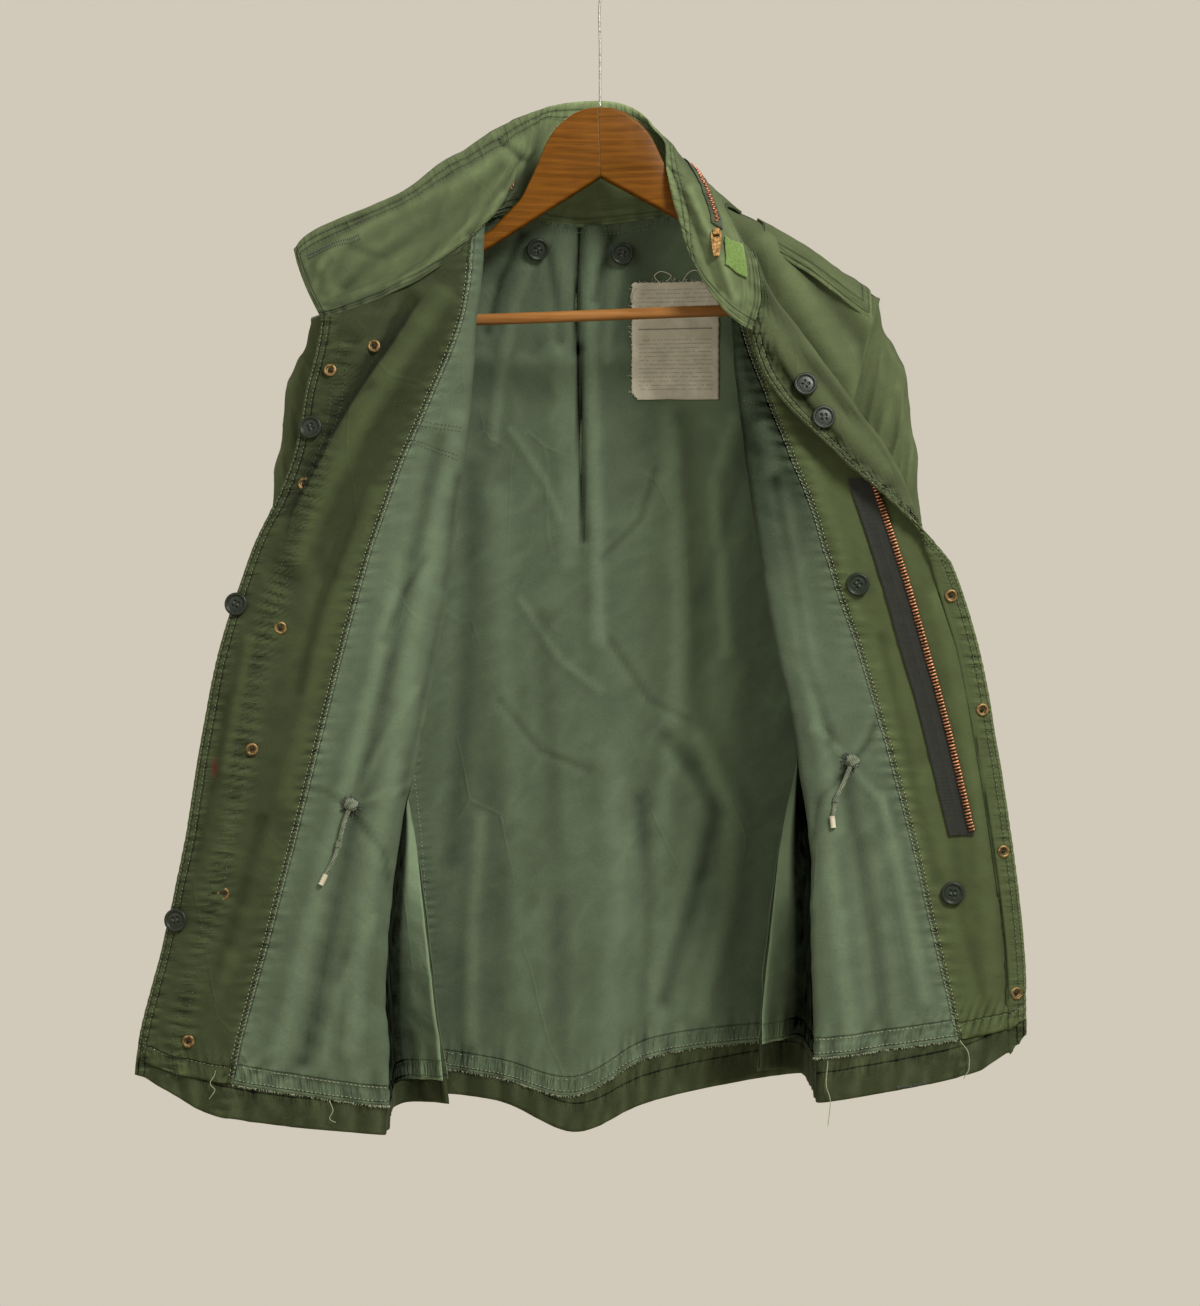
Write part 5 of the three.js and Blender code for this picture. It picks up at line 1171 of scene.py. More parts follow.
def cord_material():
    """Braided cord: crossed bands along its length."""
    n = Nodes("braided cord")
    spot = n.place("Object", (1, 1, 1), (0.5, 0.4, 0.3))
    crossed = n.place("Object", (1, 1, 1), (-0.5, -0.4, 0.6))
    braid = n.math("MULTIPLY", n.wave(spot, 190), n.wave(crossed, 190))
    tone = n.mix(n.ramp(n.noise(spot, 160, 3), (0.3, 0.7, 0, 1)), linear(62, 74, 54), linear(112, 122, 98))
    return n.set(Base_Color=tone, Roughness=0.9, Normal=n.bump(braid, 1.0, 0.0012), Sheen_Weight=0.2)


class MakeCords(bpy.types.Operator):
    """Makes the two drawstring ends, their knots and their bound tips"""
    bl_idname = "field_jacket.cords"
    bl_label = "Drawstrings"

    def execute(self, context):
        material = cord_material()
        pale = thread_material("cord tip", linear(206, 200, 176), linear(150, 146, 124))
        for side, points in CORDS.items():
            panel = PANELS[side]
            x, z = np.array(points, float).T
            s = panel.find(*STRETCH[side], x, z)
            place, out = panel.base(s, z), panel.inward(s, z)
            path = through(place + out * CORD_OFF, np.linspace(0, len(points) - 1, 26))
            curve = bpy.data.curves.new(f"cord_end_{side}", "CURVE")
            curve.dimensions = "3D"
            curve.bevel_depth = CORD_DIAMETER / 2 * MM
            curve.bevel_resolution = 4
            curve.use_fill_caps = True
            spline = curve.splines.new("POLY")
            spline.points.add(len(path) - 1)
            flat = np.column_stack([path * MM, np.ones(len(path))]).astype(np.float32)
            spline.points.foreach_set("co", flat.ravel())
            obj = bpy.data.objects.new(f"cord_end_{side}", curve)
            context.scene.collection.objects.link(obj)
            curve.materials.append(material)
            finish_mesh(obj, "jacket", [f"cord_{side}"])
            ahead = unit(path[-1] - path[-3])
            tip_path = path[-1] + ahead * np.linspace(-9, 0.6, 14)[:, None]
            wobble = 2.15 + 0.16 * np.sin(np.arange(14) * 2.2)
            tip = closed_tube(f"cord_tip_{side}", tip_path, wobble[None, :], 12)
            finish_mesh(tip, "jacket", (), pale)
            bind_path = through(path[8:16], np.linspace(2, 4, 8))
            bind = closed_tube(f"cord_binding_{side}", bind_path, 2.5, 12)
            finish_mesh(bind, "jacket", (), material)
            knot = self.knot(side, path)
            finish_mesh(knot, "jacket", [f"knot_{side}"], material)
        return {"FINISHED"}

    def knot(self, side, path):
        """A knot: a rounded lump whose surface is grooved by three slanted turns of cord."""
        back = unit(path[0] - path[1])
        centre = path[0] + back * 5.0
        across, along = np.meshgrid(np.linspace(0, 2 * np.pi, 28, endpoint=False),
                                    np.linspace(0.02, np.pi - 0.02, 18), indexing="ij")
        groove = 1 + 0.16 * np.cos(3 * (along * 1.6 + across))
        radius = 4.6 * groove
        grid = np.stack([radius * 1.15 * np.sin(along) * np.cos(across),
                         radius * 0.75 * np.sin(along) * np.sin(across),
                         radius * np.cos(along)], -1) + centre
        rows = grid.shape[1]
        faces = grid_faces(28, rows, around=True)[:, ::-1].tolist()
        faces.append([i * rows for i in range(28)])
        faces.append([i * rows + rows - 1 for i in range(27, -1, -1)])
        return listed_mesh(f"cord_knot_{side}", grid.reshape(-1, 3), faces)


class MakeFronts(bpy.types.Operator):
    """Makes the shells, linings and facings of both fronts"""
    bl_idname = "field_jacket.fronts"
    bl_label = "Fronts"

    def execute(self, context):
        settings = context.scene.field_jacket
        rows = settings.cloth_rows
        for side, last, columns in (("left", 6, (58, 46, 90)), ("right", 7, (62, 58, 104))):
            panel = PANELS[side]
            made = (
                ("lining", f"lining_front_{side}", (0, 3.997, columns[0])),
                ("facing", f"facing_{side}", (4.003, last, columns[1])),
                ("shell", f"shell_front_{side}", (0, last, columns[2])),
            )
            for kind, node, places in made:
                obj = layer(panel, kind, node, places, rows, settings)
        return {"FINISHED"}


class MakeBack(bpy.types.Operator):
    """Makes the back's shell and lining"""
    bl_idname = "field_jacket.back"
    bl_label = "Back"

    def execute(self, context):
        settings = context.scene.field_jacket
        panel = PANELS["back"]
        lining = layer(panel, "lining", "lining_back", (0, 10, 176), 246, settings)
        shell = layer(panel, "shell", "shell_back", (0, 10, 114), 172, settings)
        return {"FINISHED"}


# The collar: its last row, the length from row to row, its height and half its thickness.
COLLAR_LAST = 20
COLLAR_STEP = 24
COLLAR_HEIGHT = 70
COLLAR_HALF = 1.25


def collar_base(r, v):
    """The collar's middle: in each row a quadratic curve from the neckline through its middle
    to its free edge, and a smooth curve through the rows."""
    starts = []
    for side, place, lift, middle, _ in COLLAR_ROWS:
        panel = PANELS[side]
        start = panel.base(np.array(float(place)), panel.end("top", np.array(float(place))))
        starts.append(start + unit(np.array(middle, float) - start) * (0.45 * lift - 2))
    start, middle, edge = (
        through(np.array(part, float), r)
        for part in (starts, [row[3] for row in COLLAR_ROWS], [row[4] for row in COLLAR_ROWS])
    )
    v = v[..., None]
    return start * (1 - v) * (1 - 2 * v) + middle * 4 * v * (1 - v) + edge * v * (2 * v - 1)


def collar_grid(r, v):
    """The collar's middle with its folds, and the directions off it."""
    base = collar_base(r, v)
    normals = grid_normals(base)
    across, down = front_view(base)
    relief = crumple(r * COLLAR_STEP, v * COLLAR_HEIGHT, 5, (60, 30, 16), 0.011)
    for width, depth, line in COLLAR_FOLDS:
        distance, _ = line_distance(across, down, line)
        relief += 1.7 * depth * -normals[..., 1] * np.exp(-((distance / width) ** 2))
    for at, deep in ((0.93, 0.7), (0.85, 0.7), (0.06, 0.8)):
        relief -= deep * np.exp(-(((v - at) / 0.014) ** 2)) * -normals[..., 1]
    relief += 0.35 * ripple(r * COLLAR_STEP, 9, 0.7) * np.exp(-(((v - 0.89) / 0.06) ** 2))
    relief += 0.5 * ripple(r * COLLAR_STEP, 11, 1.7) * np.exp(-((v / 0.12) ** 2))
    return base + normals * relief[..., None], relief


class MakeCollar(bpy.types.Operator):
    """Makes the collar, its left end turned out and its right end turned in"""
    bl_idname = "field_jacket.collar"
    bl_label = "Collar"

    def execute(self, context):
        settings = context.scene.field_jacket
        r, v = np.meshgrid(np.linspace(0, COLLAR_LAST, 240), np.linspace(0, 1, 40), indexing="ij")
        grid, relief = collar_grid(r, v)
        ends = np.minimum(r, COLLAR_LAST - r) * COLLAR_STEP
        edge = np.minimum(np.minimum(1 - v, v + 0.1) * COLLAR_HEIGHT, ends)
        lift = relief * -grid_normals(grid)[..., 1]
        detail = lift - blurred(lift, 8)
        broad = lift - blurred(lift, 60)
        # Pale worn edges and painted highlights on the ridges of the folds; painted shade in their hollows and
        # painted light on their ridges.
        wear_and_highlight = 0.7 * np.exp(-edge / 2.0) + 0.25 * np.clip(detail, 0, 1)
        tone = np.clip(0.3 * detail, -0.4, 0.14) + np.clip(0.08 * broad, -0.3, 0.12)
        # Painted shade along the seam and darker towards the left tip; painted light on the rows behind the
        # neck, where the hanger shades them, and on the right end.
        tone -= 0.2 * np.exp(-((v / 0.1) ** 2)) + 0.16 * smooth((2.5 - r) / 1.5)
        tone += 0.7 * smooth((r - 8.5) / 1.5) * smooth((15 - r) / 1.5) + 0.4 * smooth((r - 15) / 1.5)
        thin = np.sqrt(1 - 0.9 * np.exp(-edge / 1.2))
        free = np.minimum((1 - v) * COLLAR_HEIGHT, ends)
        values = {"wear_and_highlight": wear_and_highlight, "tone": tone, "edge": SHIFT + free, "hem": SHIFT + v * COLLAR_HEIGHT}
        obj = cloth_wall("cloth_collar", grid, -COLLAR_HALF, COLLAR_HALF, values=values,
                         uv=np.stack([v * COLLAR_HEIGHT, r * COLLAR_STEP], -1) * MM, thin=thin)
        finish_mesh(obj, "jacket", ["collar"], cloth_of(settings, "collar"))
        return {"FINISHED"}


# Each ring of a sleeve: its outer point, its inner point, its middle y and half its depth.
# With them, the last ring, the length from ring to ring and the length once round.
LAST_RING = 9
RING_STEP = 62
SLEEVE_GIRTH = 300
SLEEVES = {
    "left": (-1, [
        (-243, -307, -195, -541, 2, 15), (-252, -326, -197, -547, 0, 22),
        (-258, -358, -200, -556, -4, 25), (-264, -408, -202, -571, -8, 26),
        (-272, -465, -203, -595, -11, 26), (-284, -535, -204, -634, -13, 25),
        (-302, -617, -209, -692, -14, 24), (-321, -700, -221, -757, -14, 24),
        (-342, -800, -238, -832, -14, 24), (-362, -898, -262, -915, -14, 24),
    ]),
    "right": (1, [
        (235, -291, 195, -537, 2, 15), (243, -312, 197, -543, 0, 22),
        (251, -345, 200, -552, -4, 25), (258, -395, 202, -567, -8, 26),
        (264, -455, 203, -592, -11, 26), (274, -525, 204, -632, -13, 25),
        (288, -610, 207, -690, -14, 24), (303, -700, 216, -757, -14, 24),
        (319, -795, 230, -830, -14, 24), (338, -898, 243, -915, -14, 24),
    ]),
}


def sleeve_grid(side, turns, rings):
    """A sleeve's middle: flattened ovals along its length, held to the armhole at the top."""
    sign, table = SLEEVES[side]
    t, q = np.meshgrid(turns, rings, indexing="ij")
    outer_x, outer_z, inner_x, inner_z, deep_y, depth = np.moveaxis(through(np.array(table, float), q), -1, 0)
    angle = 2 * np.pi * t
    along = np.sign(np.cos(angle)) * np.abs(np.cos(angle)) ** 0.8
    deep = np.sign(np.sin(angle)) * np.abs(np.sin(angle)) ** 0.8
    half = (1 + along) / 2
    x = inner_x + (outer_x - inner_x) * half
    y = deep_y - depth * deep
    z = inner_z + (outer_z - inner_z) * half
    front = PANELS[side].base(np.zeros(z.shape), z)
    back = PANELS["back"].base(np.full(z.shape, 0.0 if side == "left" else 10.0), z)
    upper = smooth((np.cos(angle) + 0.2) / 0.5)
    share = (1 - np.sin(angle)) / 2
    share = share + ((np.sin(angle) < 0) - share) * upper
    hole_x = front[..., 0] + (back[..., 0] - front[..., 0]) * share - sign * 1.2
    hole_y = front[..., 1] + (back[..., 1] - front[..., 1]) * share
    held = np.clip(1 - q / 2, 0, 1)
    return np.stack([x + (hole_x - x) * held, y + (hole_y - y) * held, z], -1)


class MakeSleeves(bpy.types.Operator):
    """Makes the top and under sleeve on each side"""
    bl_idname = "field_jacket.sleeves"
    bl_label = "Sleeves"

    def execute(self, context):
        settings = context.scene.field_jacket
        rings = np.linspace(0, LAST_RING, 130)
        for side, (sign, _) in SLEEVES.items():
            for piece, start, finish, columns in (("top", -0.275, 0.275, 52), ("under", 0.275, 0.725, 42)):
                turns = np.linspace(start + 0.0012, finish - 0.0012, columns)
                turns = turns if sign > 0 else turns[::-1]
                grid = sleeve_grid(side, turns, rings)
                normals = grid_normals(grid)
                t, q = np.meshgrid(turns, rings, indexing="ij")
                free = smooth((q - 0.6) / 1.2)
                creases = crumple(t * SLEEVE_GIRTH, q * RING_STEP, 71, (120, 60, 34), 0.02)
                drag = 2.4 * np.sin(q * 4.1 + 9 * t) * np.exp(-(((q - 3.6) / 1.6) ** 2))
                relief = (creases + drag) * free
                relief += 0.7 * ripple(t * SLEEVE_GIRTH, 12, 0.3) * np.exp(-((q / 0.16) ** 2))
                relief += 0.5 * ripple(t * SLEEVE_GIRTH, 10, 1.3) * np.exp(-(((LAST_RING - q) / 0.22) ** 2))
                grid = grid + normals * (relief * 0.8)[..., None]
                cuff, head = (LAST_RING - q) * RING_STEP, q * RING_STEP
                # Pale worn cuff and head, painted highlights on the ridges of the creases, and painted shade
                # in their hollows with painted light on their ridges.
                wear_and_highlight = 0.5 * np.exp(-cuff / 3) + 0.4 * np.exp(-head / 5)
                wear_and_highlight = wear_and_highlight + 0.3 * np.clip(relief - blurred(relief, 6), 0, 1)
                tone = np.clip(0.1 * (relief - blurred(relief, 8)), -0.15, 0.1)
                values = {"wear_and_highlight": wear_and_highlight, "tone": tone, "hem": SHIFT + cuff, "edge": SHIFT + head}
                obj = cloth_wall(f"cloth_sleeve_{piece}_{side}", grid, -0.6, 0.6, values=values,
                                 uv=np.stack([t * SLEEVE_GIRTH, head], -1) * MM)
                node = f"sleeve_{piece}_{side}"
                finish_mesh(obj, "jacket", [node], cloth_of(settings, "shell"))
        return {"FINISHED"}


def patch(panel, span, rows, height, thickness, columns, steps, bulge=0.0):
    """A flat piece on a panel: rows of left and right edges, read between by a smooth curve,
    laid a height off the panel on its lining's side, or on its outer side below zero."""
    rows = np.array(rows, float)
    z, left, right = np.moveaxis(through(rows, np.linspace(0, len(rows) - 1, steps)), -1, 0)
    t = np.linspace(0, 1, columns)[:, None]
    x = left[None] + (right - left)[None] * t
    z = np.broadcast_to(z[None], x.shape)
    s = panel.find(*span, x, z)
    side = np.sign(height)
    over = np.abs(height) + thickness / 2
    v = np.linspace(0, 1, steps)[None]
    over = over + bulge * np.sin(np.pi * t) * np.sin(np.pi * v)
    grid, out = panel.surface(s, z, side * over)
    width, length = np.abs(right - left).mean(), abs(z[0, 0] - z[0, -1])
    edge = np.minimum(np.minimum(t, 1 - t) * width, np.minimum(v, 1 - v) * length)
    return grid, out * side, edge, np.stack([t * np.ones_like(v), v * np.ones_like(t)], -1)


def patch_object(name, made, thickness, size=(1, 1)):
    """A closed wall from a patch, with rounded edges. Its UV map spans the given size in metres."""
    grid, out, edge, uv = made
    flip = np.sign((grid_normals(grid) * out).sum(-1).mean())
    if flip < 0:
        grid, out, edge, uv = grid[::-1], out[::-1], edge[::-1], uv[::-1]
    thin = np.sqrt(1 - 0.8 * np.exp(-edge / 0.8))
    values = {"wear_and_highlight": 0.75 * np.exp(-edge / 1.6), "edge": SHIFT + edge}
    return cloth_wall(name, grid, -thickness / 2, thickness / 2, normals=out, values=values,
                      uv=uv * np.array(size), thin=thin)


# Each pocket's name, top, height, how far it lies past the roll, and width.
POCKETS = [
    ("pocket_chest", -356, 150, 16, 92),
    ("pocket_hip", -650, 205, 26, 106),
]


def pocket_rows(panel, sign, top, height, inset, width, rows):
    """A pocket's rows: its inner edge lies an inset past the roll and slants with the seam."""
    z = np.linspace(top, top - height, rows)
    half = np.array([top - height / 2.0])
    roll = panel.stop(np.array([2]), half)[0, 0]
    seam = panel.stop(np.full(rows, 4), z)[:, 0] - panel.stop(np.array([4]), half)[0, 0]
    inner = roll + sign * inset + 0.6 * seam
    outer = inner + sign * width
    return np.stack([z, np.minimum(inner, outer), np.maximum(inner, outer)], -1)


class MakePockets(bpy.types.Operator):
    """Makes the patch pockets and flaps on the outer faces"""
    bl_idname = "field_jacket.pockets"
    bl_label = "Pockets"

    def execute(self, context):
        settings = context.scene.field_jacket
        thickness = 1.4
        seat = -(OUTER_FACE + 1.0)
        flap_seat = seat - thickness - 1.2
        cloth = cloth_of(settings, "shell")
        for side, sign, span in (("left", -1, (3.1, 5.98)), ("right", 1, (3.1, 4.95))):
            panel = PANELS[side]
            for name, top, height, inset, width in POCKETS:
                rows = pocket_rows(panel, sign, top, height, inset, width, 6)
                made = patch(panel, span, rows, seat, thickness, 34, 44, 0.8)
                obj = patch_object(f"cloth_{name}_{side}", made, thickness, (0.1, 0.16))
                finish_mesh(obj, "jacket", [f"{name}_{side}"], cloth)
                rows = pocket_rows(panel, sign, top + 8, 62, inset - 3, width + 6, 4)
                made = patch(panel, span, rows, flap_seat, thickness, 34, 22, 0.5)
                obj = patch_object(f"cloth_{name}_flap_{side}", made, thickness, (0.1, 0.06))
                finish_mesh(obj, "jacket", [f"{name}_flap_{side}"], cloth)
        return {"FINISHED"}


def edge_place(panel, low, high, x, drop):
    """The place and height below a panel's shoulder edge where its width is x, by halving."""
    low, high = np.full(x.shape, float(low)), np.full(x.shape, float(high))
    level = np.full(x.shape, -400.0)
    rising = panel.base(high, level)[..., 0] > panel.base(low, level)[..., 0]
    for _ in range(26):
        half = (low + high) / 2
        z = panel.end("top", half) - drop
        below = (panel.base(half, z)[..., 0] < x) == rising
        low, high = np.where(below, half, low), np.where(below, high, half)
    return low, panel.end("top", low) - drop


class MakeShoulderLoops(bpy.types.Operator):
    """Makes the strip over each shoulder seam"""
    bl_idname = "field_jacket.shoulder_loops"
    bl_label = "Shoulder loops"

    def execute(self, context):
        settings = context.scene.field_jacket
        seat = OUTER_FACE + 1.2
        for side, front_span, back_span, start, finish in (
            ("right", (0.05, 1.5), (7.2, 9.9), 128, 224), ("left", (0.05, 1.5), (0.1, 2.9), -128, -230),
        ):
            x = np.linspace(start, finish, 60)[:, None]
            drops = 20 * np.linspace(1, 0, 14) ** 1.5
            halves = []
            for name, span, behind in ((side, front_span, -1), ("back", back_span, 1)):
                panel = PANELS[name]
                width, drop = np.broadcast_arrays(x, drops[None])
                s, z = edge_place(panel, *span, width, drop)
                grid = panel.base(s, z)
                grid[..., 1] += behind * seat
                grid[..., 2] += 3 * np.exp(-drop / 2.5)
                halves.append(grid if behind < 0 else grid[:, ::-1])
            grid = np.concatenate(halves, axis=1)
            grid = grid if finish > start else grid[::-1]
            count = grid.shape[1]
            t, v = np.meshgrid(np.linspace(0, 1, 60), np.linspace(0, 1, count), indexing="ij")
            edge = np.minimum(np.minimum(t, 1 - t) * 100, np.minimum(v, 1 - v) * 44)
            grid = grid + grid_normals(grid) * (0.7 + 0.25 * ripple(t * 100, 14, 0.4))[..., None]
            values = {"wear_and_highlight": 0.8 * np.exp(-edge / 1.8), "edge": SHIFT + edge}
            obj = cloth_wall(f"cloth_shoulder_loop_{side}", grid, -0.6, 0.6, values=values,
                             uv=np.stack([t * 0.1, v * 0.044], -1), thin=np.sqrt(1 - 0.8 * np.exp(-edge)))
            finish_mesh(obj, "jacket", [f"shoulder_loop_{side}"], cloth_of(settings, "shell"))
        return {"FINISHED"}


class MakeLabel(bpy.types.Operator):
    """Makes the label with its frayed edges and loose threads"""
    bl_idname = "field_jacket.label"
    bl_label = "Label"

    def execute(self, context):
        panel = PANELS["back"]
        z = np.linspace(-270, -368, 90)
        v = np.linspace(0, 1, 90)
        fray = 0.7 * np.sin(z * 1.9) + 0.5 * np.sin(z * 4.3 + 1)
        left = 27 + 0.9 * fray + 5 * smooth((v - 0.93) / 0.07)
        right = 101 + 0.25 * np.sin(z * 0.9)
        edges = np.stack([z, left, right], -1)
        grid, out, edge, uv = patch(panel, STRETCH["back"], edges, 1.6, 0.7, 50, 64)
        rise = 0.5 * np.sin(uv[..., 1] * 19) * np.sin(uv[..., 0] * 7 + 1) + 1.3 * np.exp(-uv[..., 1] / 0.05)
        fringe = 1.1 * np.exp(-uv[..., 1] / 0.012) * np.sin(uv[..., 0] * 260)
        grid = grid + out * (0.5 + 0.6 * np.clip(rise, -0.8, 2))[..., None]
        grid[..., 2] += np.abs(fringe)
        obj = patch_object("cloth_label", (grid, out, edge, uv), 0.7)
        finish_mesh(obj, "jacket", ["label"], label_material())
        thread = thread_material("loose thread", linear(214, 210, 190), linear(176, 172, 150))
        rng = np.random.default_rng(8)
        starts, ends, outs = [], [], []
        for _ in range(46):
            side = rng.random() < 0.55
            row = 0 if side else int(rng.integers(2, 61))
            column = int(rng.integers(3, 47)) if side else (49 if grid[0, 0, 0] > grid[-1, 0, 0] else 0)
            point = grid[column, row] + out[column, row] * 0.4
            way = (rng.uniform(-0.5, 0.5), -0.2, 1) if side else (-1, -0.2, rng.uniform(-0.6, 0.4))
            starts.append(point)
            ends.append(point + unit(np.array(way)) * rng.uniform(1.5, 4.5))
            outs.append(out[column, row])
        made = spindles(np.array(starts), np.array(ends), np.array(outs), 0.45, 0.25)
        finish_mesh(joined("label_fringe", made), "jacket", (), thread)
        loops = [
            [(661, 283), (655, 276), (662, 271), (672, 275), (668, 281)],
            [(683, 282), (690, 272), (699, 270), (704, 279), (700, 285)],
            [(640, 286), (633, 290), (631, 298), (636, 304)],
        ]
        for k, loop in enumerate(loops):
            name = f"label_thread_{k + 1}"
            place_thread(name, panel, STRETCH["back"], loop, 3.2, 0.35, thread)
        return {"FINISHED"}


def picture_line(panel, span, line, steps):
    """Places and heights on a panel under a smooth line drawn on the front view. The depth is
    found by a few rounds of reading it from the panel."""
    points = through(np.array(line, float), np.linspace(0, len(line) - 1, steps))
    depth = np.zeros(steps)
    for _ in range(6):
        scale = (EYE_DISTANCE + depth) / EYE_DISTANCE * PICTURE_STEP
        x = (points[:, 0] - WIRE_COLUMN) * scale
        z = EYE_HEIGHT - (points[:, 1] + TOP_ROW + EYE_HEIGHT / PICTURE_STEP) * scale
        s = panel.find(*span, x, z)
        depth = panel.base(s, z)[:, 1]
    return s, z


def place_thread(name, panel, span, line, lift, radius, material):
    """A loose thread lying along a line on a panel, its middle lifted off it."""
    s, z = picture_line(panel, span, line, 22)
    height = lift + 1.2 * np.sin(np.linspace(0, np.pi, 22))
    points, _ = panel.surface(s, z, height)
    obj = closed_tube(name, points, radius, 5)
    return finish_mesh(obj, "jacket", (), material)


# Zip, buttons and snaps

# Heights and inner edges of the front zip's right tape, and the faces of a tooth.
ZIP_ROWS = [(-442, 201), (-490, 217), (-535, 231), (-585, 245), (-631, 258), (-680, 270), (-731, 282)]
BOX = np.array([(0, 1, 3, 2), (4, 6, 7, 5), (0, 4, 5, 1), (2, 3, 7, 6), (0, 2, 6, 4), (1, 5, 7, 3)])


def boxes(centre, right, up, out, sizes):
    """Small tapered blocks: each corner is a mix of three directions, narrower towards out."""
    corners = []
    for i in (-1, 1):
        for j in (-1, 1):
            for k in (-1, 1):
                taper = 0.72 if k > 0 else 1.0
                corners.append(centre + right * (i * sizes[0] * taper) + up * (j * sizes[1] * taper)
                               + out * (k * sizes[2]))
    return np.stack(corners, 1), BOX


class MakeZip(bpy.types.Operator):
    """Makes the front zip's tapes and teeth"""
    bl_idname = "field_jacket.zip"
    bl_label = "Front zip"

    def execute(self, context):
        settings = context.scene.field_jacket
        tape = tape_material("zip tape cloth", linear(27, 32, 20), linear(15, 18, 12))
        panel = PANELS["right"]
        rows = [(z, x, x + 21) for z, x in ZIP_ROWS]
        grid, out, edge, uv = patch(panel, STRETCH["right"], rows, INNER_FACE + 0.7, 1.0, 24, 150)
        ridge = 0.5 * np.exp(-(((uv[..., 0] - 0.5) / 0.05) ** 2))
        ridge = ridge + 0.7 * np.exp(-(((uv[..., 0] - 0.06) / 0.06) ** 2))
        grid = grid + out * ridge[..., None]
        obj = patch_object("zip_tape_cloth_right", (grid, out, edge, uv), 1.0, (0.021, 0.3))
        finish_mesh(obj, "jacket", ["zip_tape_right"], tape)
        arc = arc_of(grid[-2])
        starts = np.arange(2, arc[-1] - 2, 2.7)
        centre = at_lengths(starts, arc, grid[-2])
        normal = unit(at_lengths(starts, arc, out[-2]))
        ahead = unit(np.gradient(centre, axis=0))
        right = unit(np.cross(ahead, normal))
        right *= np.sign(right[:, :1])
        teeth = boxes(centre + normal * 1.5 + right * 0.6, right, ahead, normal, (3.1, 0.78, 0.9))
        obj = joined("zip_teeth", teeth)
        copper = metal_material("zip copper", colour_of(settings.zip_colour), linear(96, 62, 44), 0.32)
        finish_mesh(obj, "jacket", (), copper, False)
        panel = PANELS["left"]
        z = np.linspace(-362, -838, 8)
        edge_x = panel.stop(np.full(8, panel.last), z)[:, 0] + 8
        rows = np.stack([z, edge_x, edge_x + 21], -1)
        made = patch(panel, STRETCH["left"], rows, -(OUTER_FACE + 1.1), 1.0, 12, 120)
        obj = patch_object("zip_tape_cloth_left", made, 1.0, (0.021, 0.48))
        finish_mesh(obj, "jacket", ["zip_tape_left"], tape)
        return {"FINISHED"}


# Each fastener's panel, the stretch of its section, x and z.
BUTTONS = [
    ("left", "left", -234, -401), ("left", "left", -294, -544), ("left", "left", -342, -800),
    ("right", "band", 166, -367), ("right", "band", 181, -393), ("right", "right", 209, -528),
    ("right", "right", 285, -778), ("back", "back", -54, -242), ("back", "back", 19, -245),
]
SNAPS = [
    ("left", "left", -218, -354), ("left", "left", -184, -334), ("left", "left", -240, -446),
    ("left", "left", -259, -563), ("left", "left", -282, -662), ("left", "left", -305, -779),
    ("left", "left", -333, -898), ("right", "right_edge", 284, -537), ("right", "right_edge", 309, -630),
    ("right", "right_edge", 326, -745), ("right", "right_edge", 336, -858),
]


def seat_of(name, stretch, x, z):
    """Where a fastener sits: its point on the cloth that faces the viewer, and the way off it."""
    panel = PANELS[name]
    s = panel.find(*STRETCH[stretch], np.array([float(x)]), np.array([float(z)]))
    side = -1.0 if stretch == "band" else 1.0
    wall = WALLS["shell" if stretch == "band" else "facing"][1]
    level = np.array([float(z)])
    point, _ = panel.surface(s, level, np.array([side * wall]))
    out = panel.inward(s, level)[0] * side
    if out[1] > 0:
        out = -out
    return point[0], out


def disc_frame(out, turn):
    """Two directions square to a fastener's axis, turned by an angle."""
    right = unit(np.cross(np.array([0, 0, 1.0]), out))
    up = np.cross(out, right)
    return right * math.cos(turn) + up * math.sin(turn), up * math.cos(turn) - right * math.sin(turn)


def round_part(name, profile, sides, point, out, turn, holes=None):
    """A turned part: a profile of radius and height carried round its axis. Holes are sunk into
    it by a steep bell around each hole's centre."""
    right, up = disc_frame(out, turn)
    radius, height = np.array(profile, float).T
    angle = np.linspace(0, 2 * np.pi, sides, endpoint=False)[:, None]
    x, y = radius[None] * np.cos(angle), radius[None] * np.sin(angle)
    z = np.broadcast_to(height[None], x.shape).copy()
    if holes:
        spread, size, depth, top = holes
        for hx, hy in ((1, 1), (-1, 1), (-1, -1), (1, -1)):
            distance = np.hypot(x - hx * spread, y - hy * spread)
            z -= depth * np.exp(-((distance / size) ** 6)) * (z > top)
    grid = point + x[..., None] * right + y[..., None] * up + z[..., None] * out
    rows = len(profile)
    faces = grid_faces(sides, rows, around=True)
    return mesh_object(name, grid.reshape(-1, 3), faces)


def button_profile(radius):
    """A button's section from its back to its front: a flat back, a rim and a dished middle."""
    back = [(0.01, -1.0), (2.2, -1.0), (2.2, 0.0), (radius - 1.2, 0.0), (radius - 0.3, 0.7), (radius, 1.6)]
    rim = [(radius - 0.15, 2.6), (radius - 0.8, 3.15), (radius - 1.6, 3.2), (radius - 2.3, 2.9),
           (radius - 2.8, 2.35)]
    inner = [(r, 2.1 - 0.012 * r * r + 0.25) for r in np.linspace(radius - 3.1, 0.01, 22)]
    return back + rim + inner


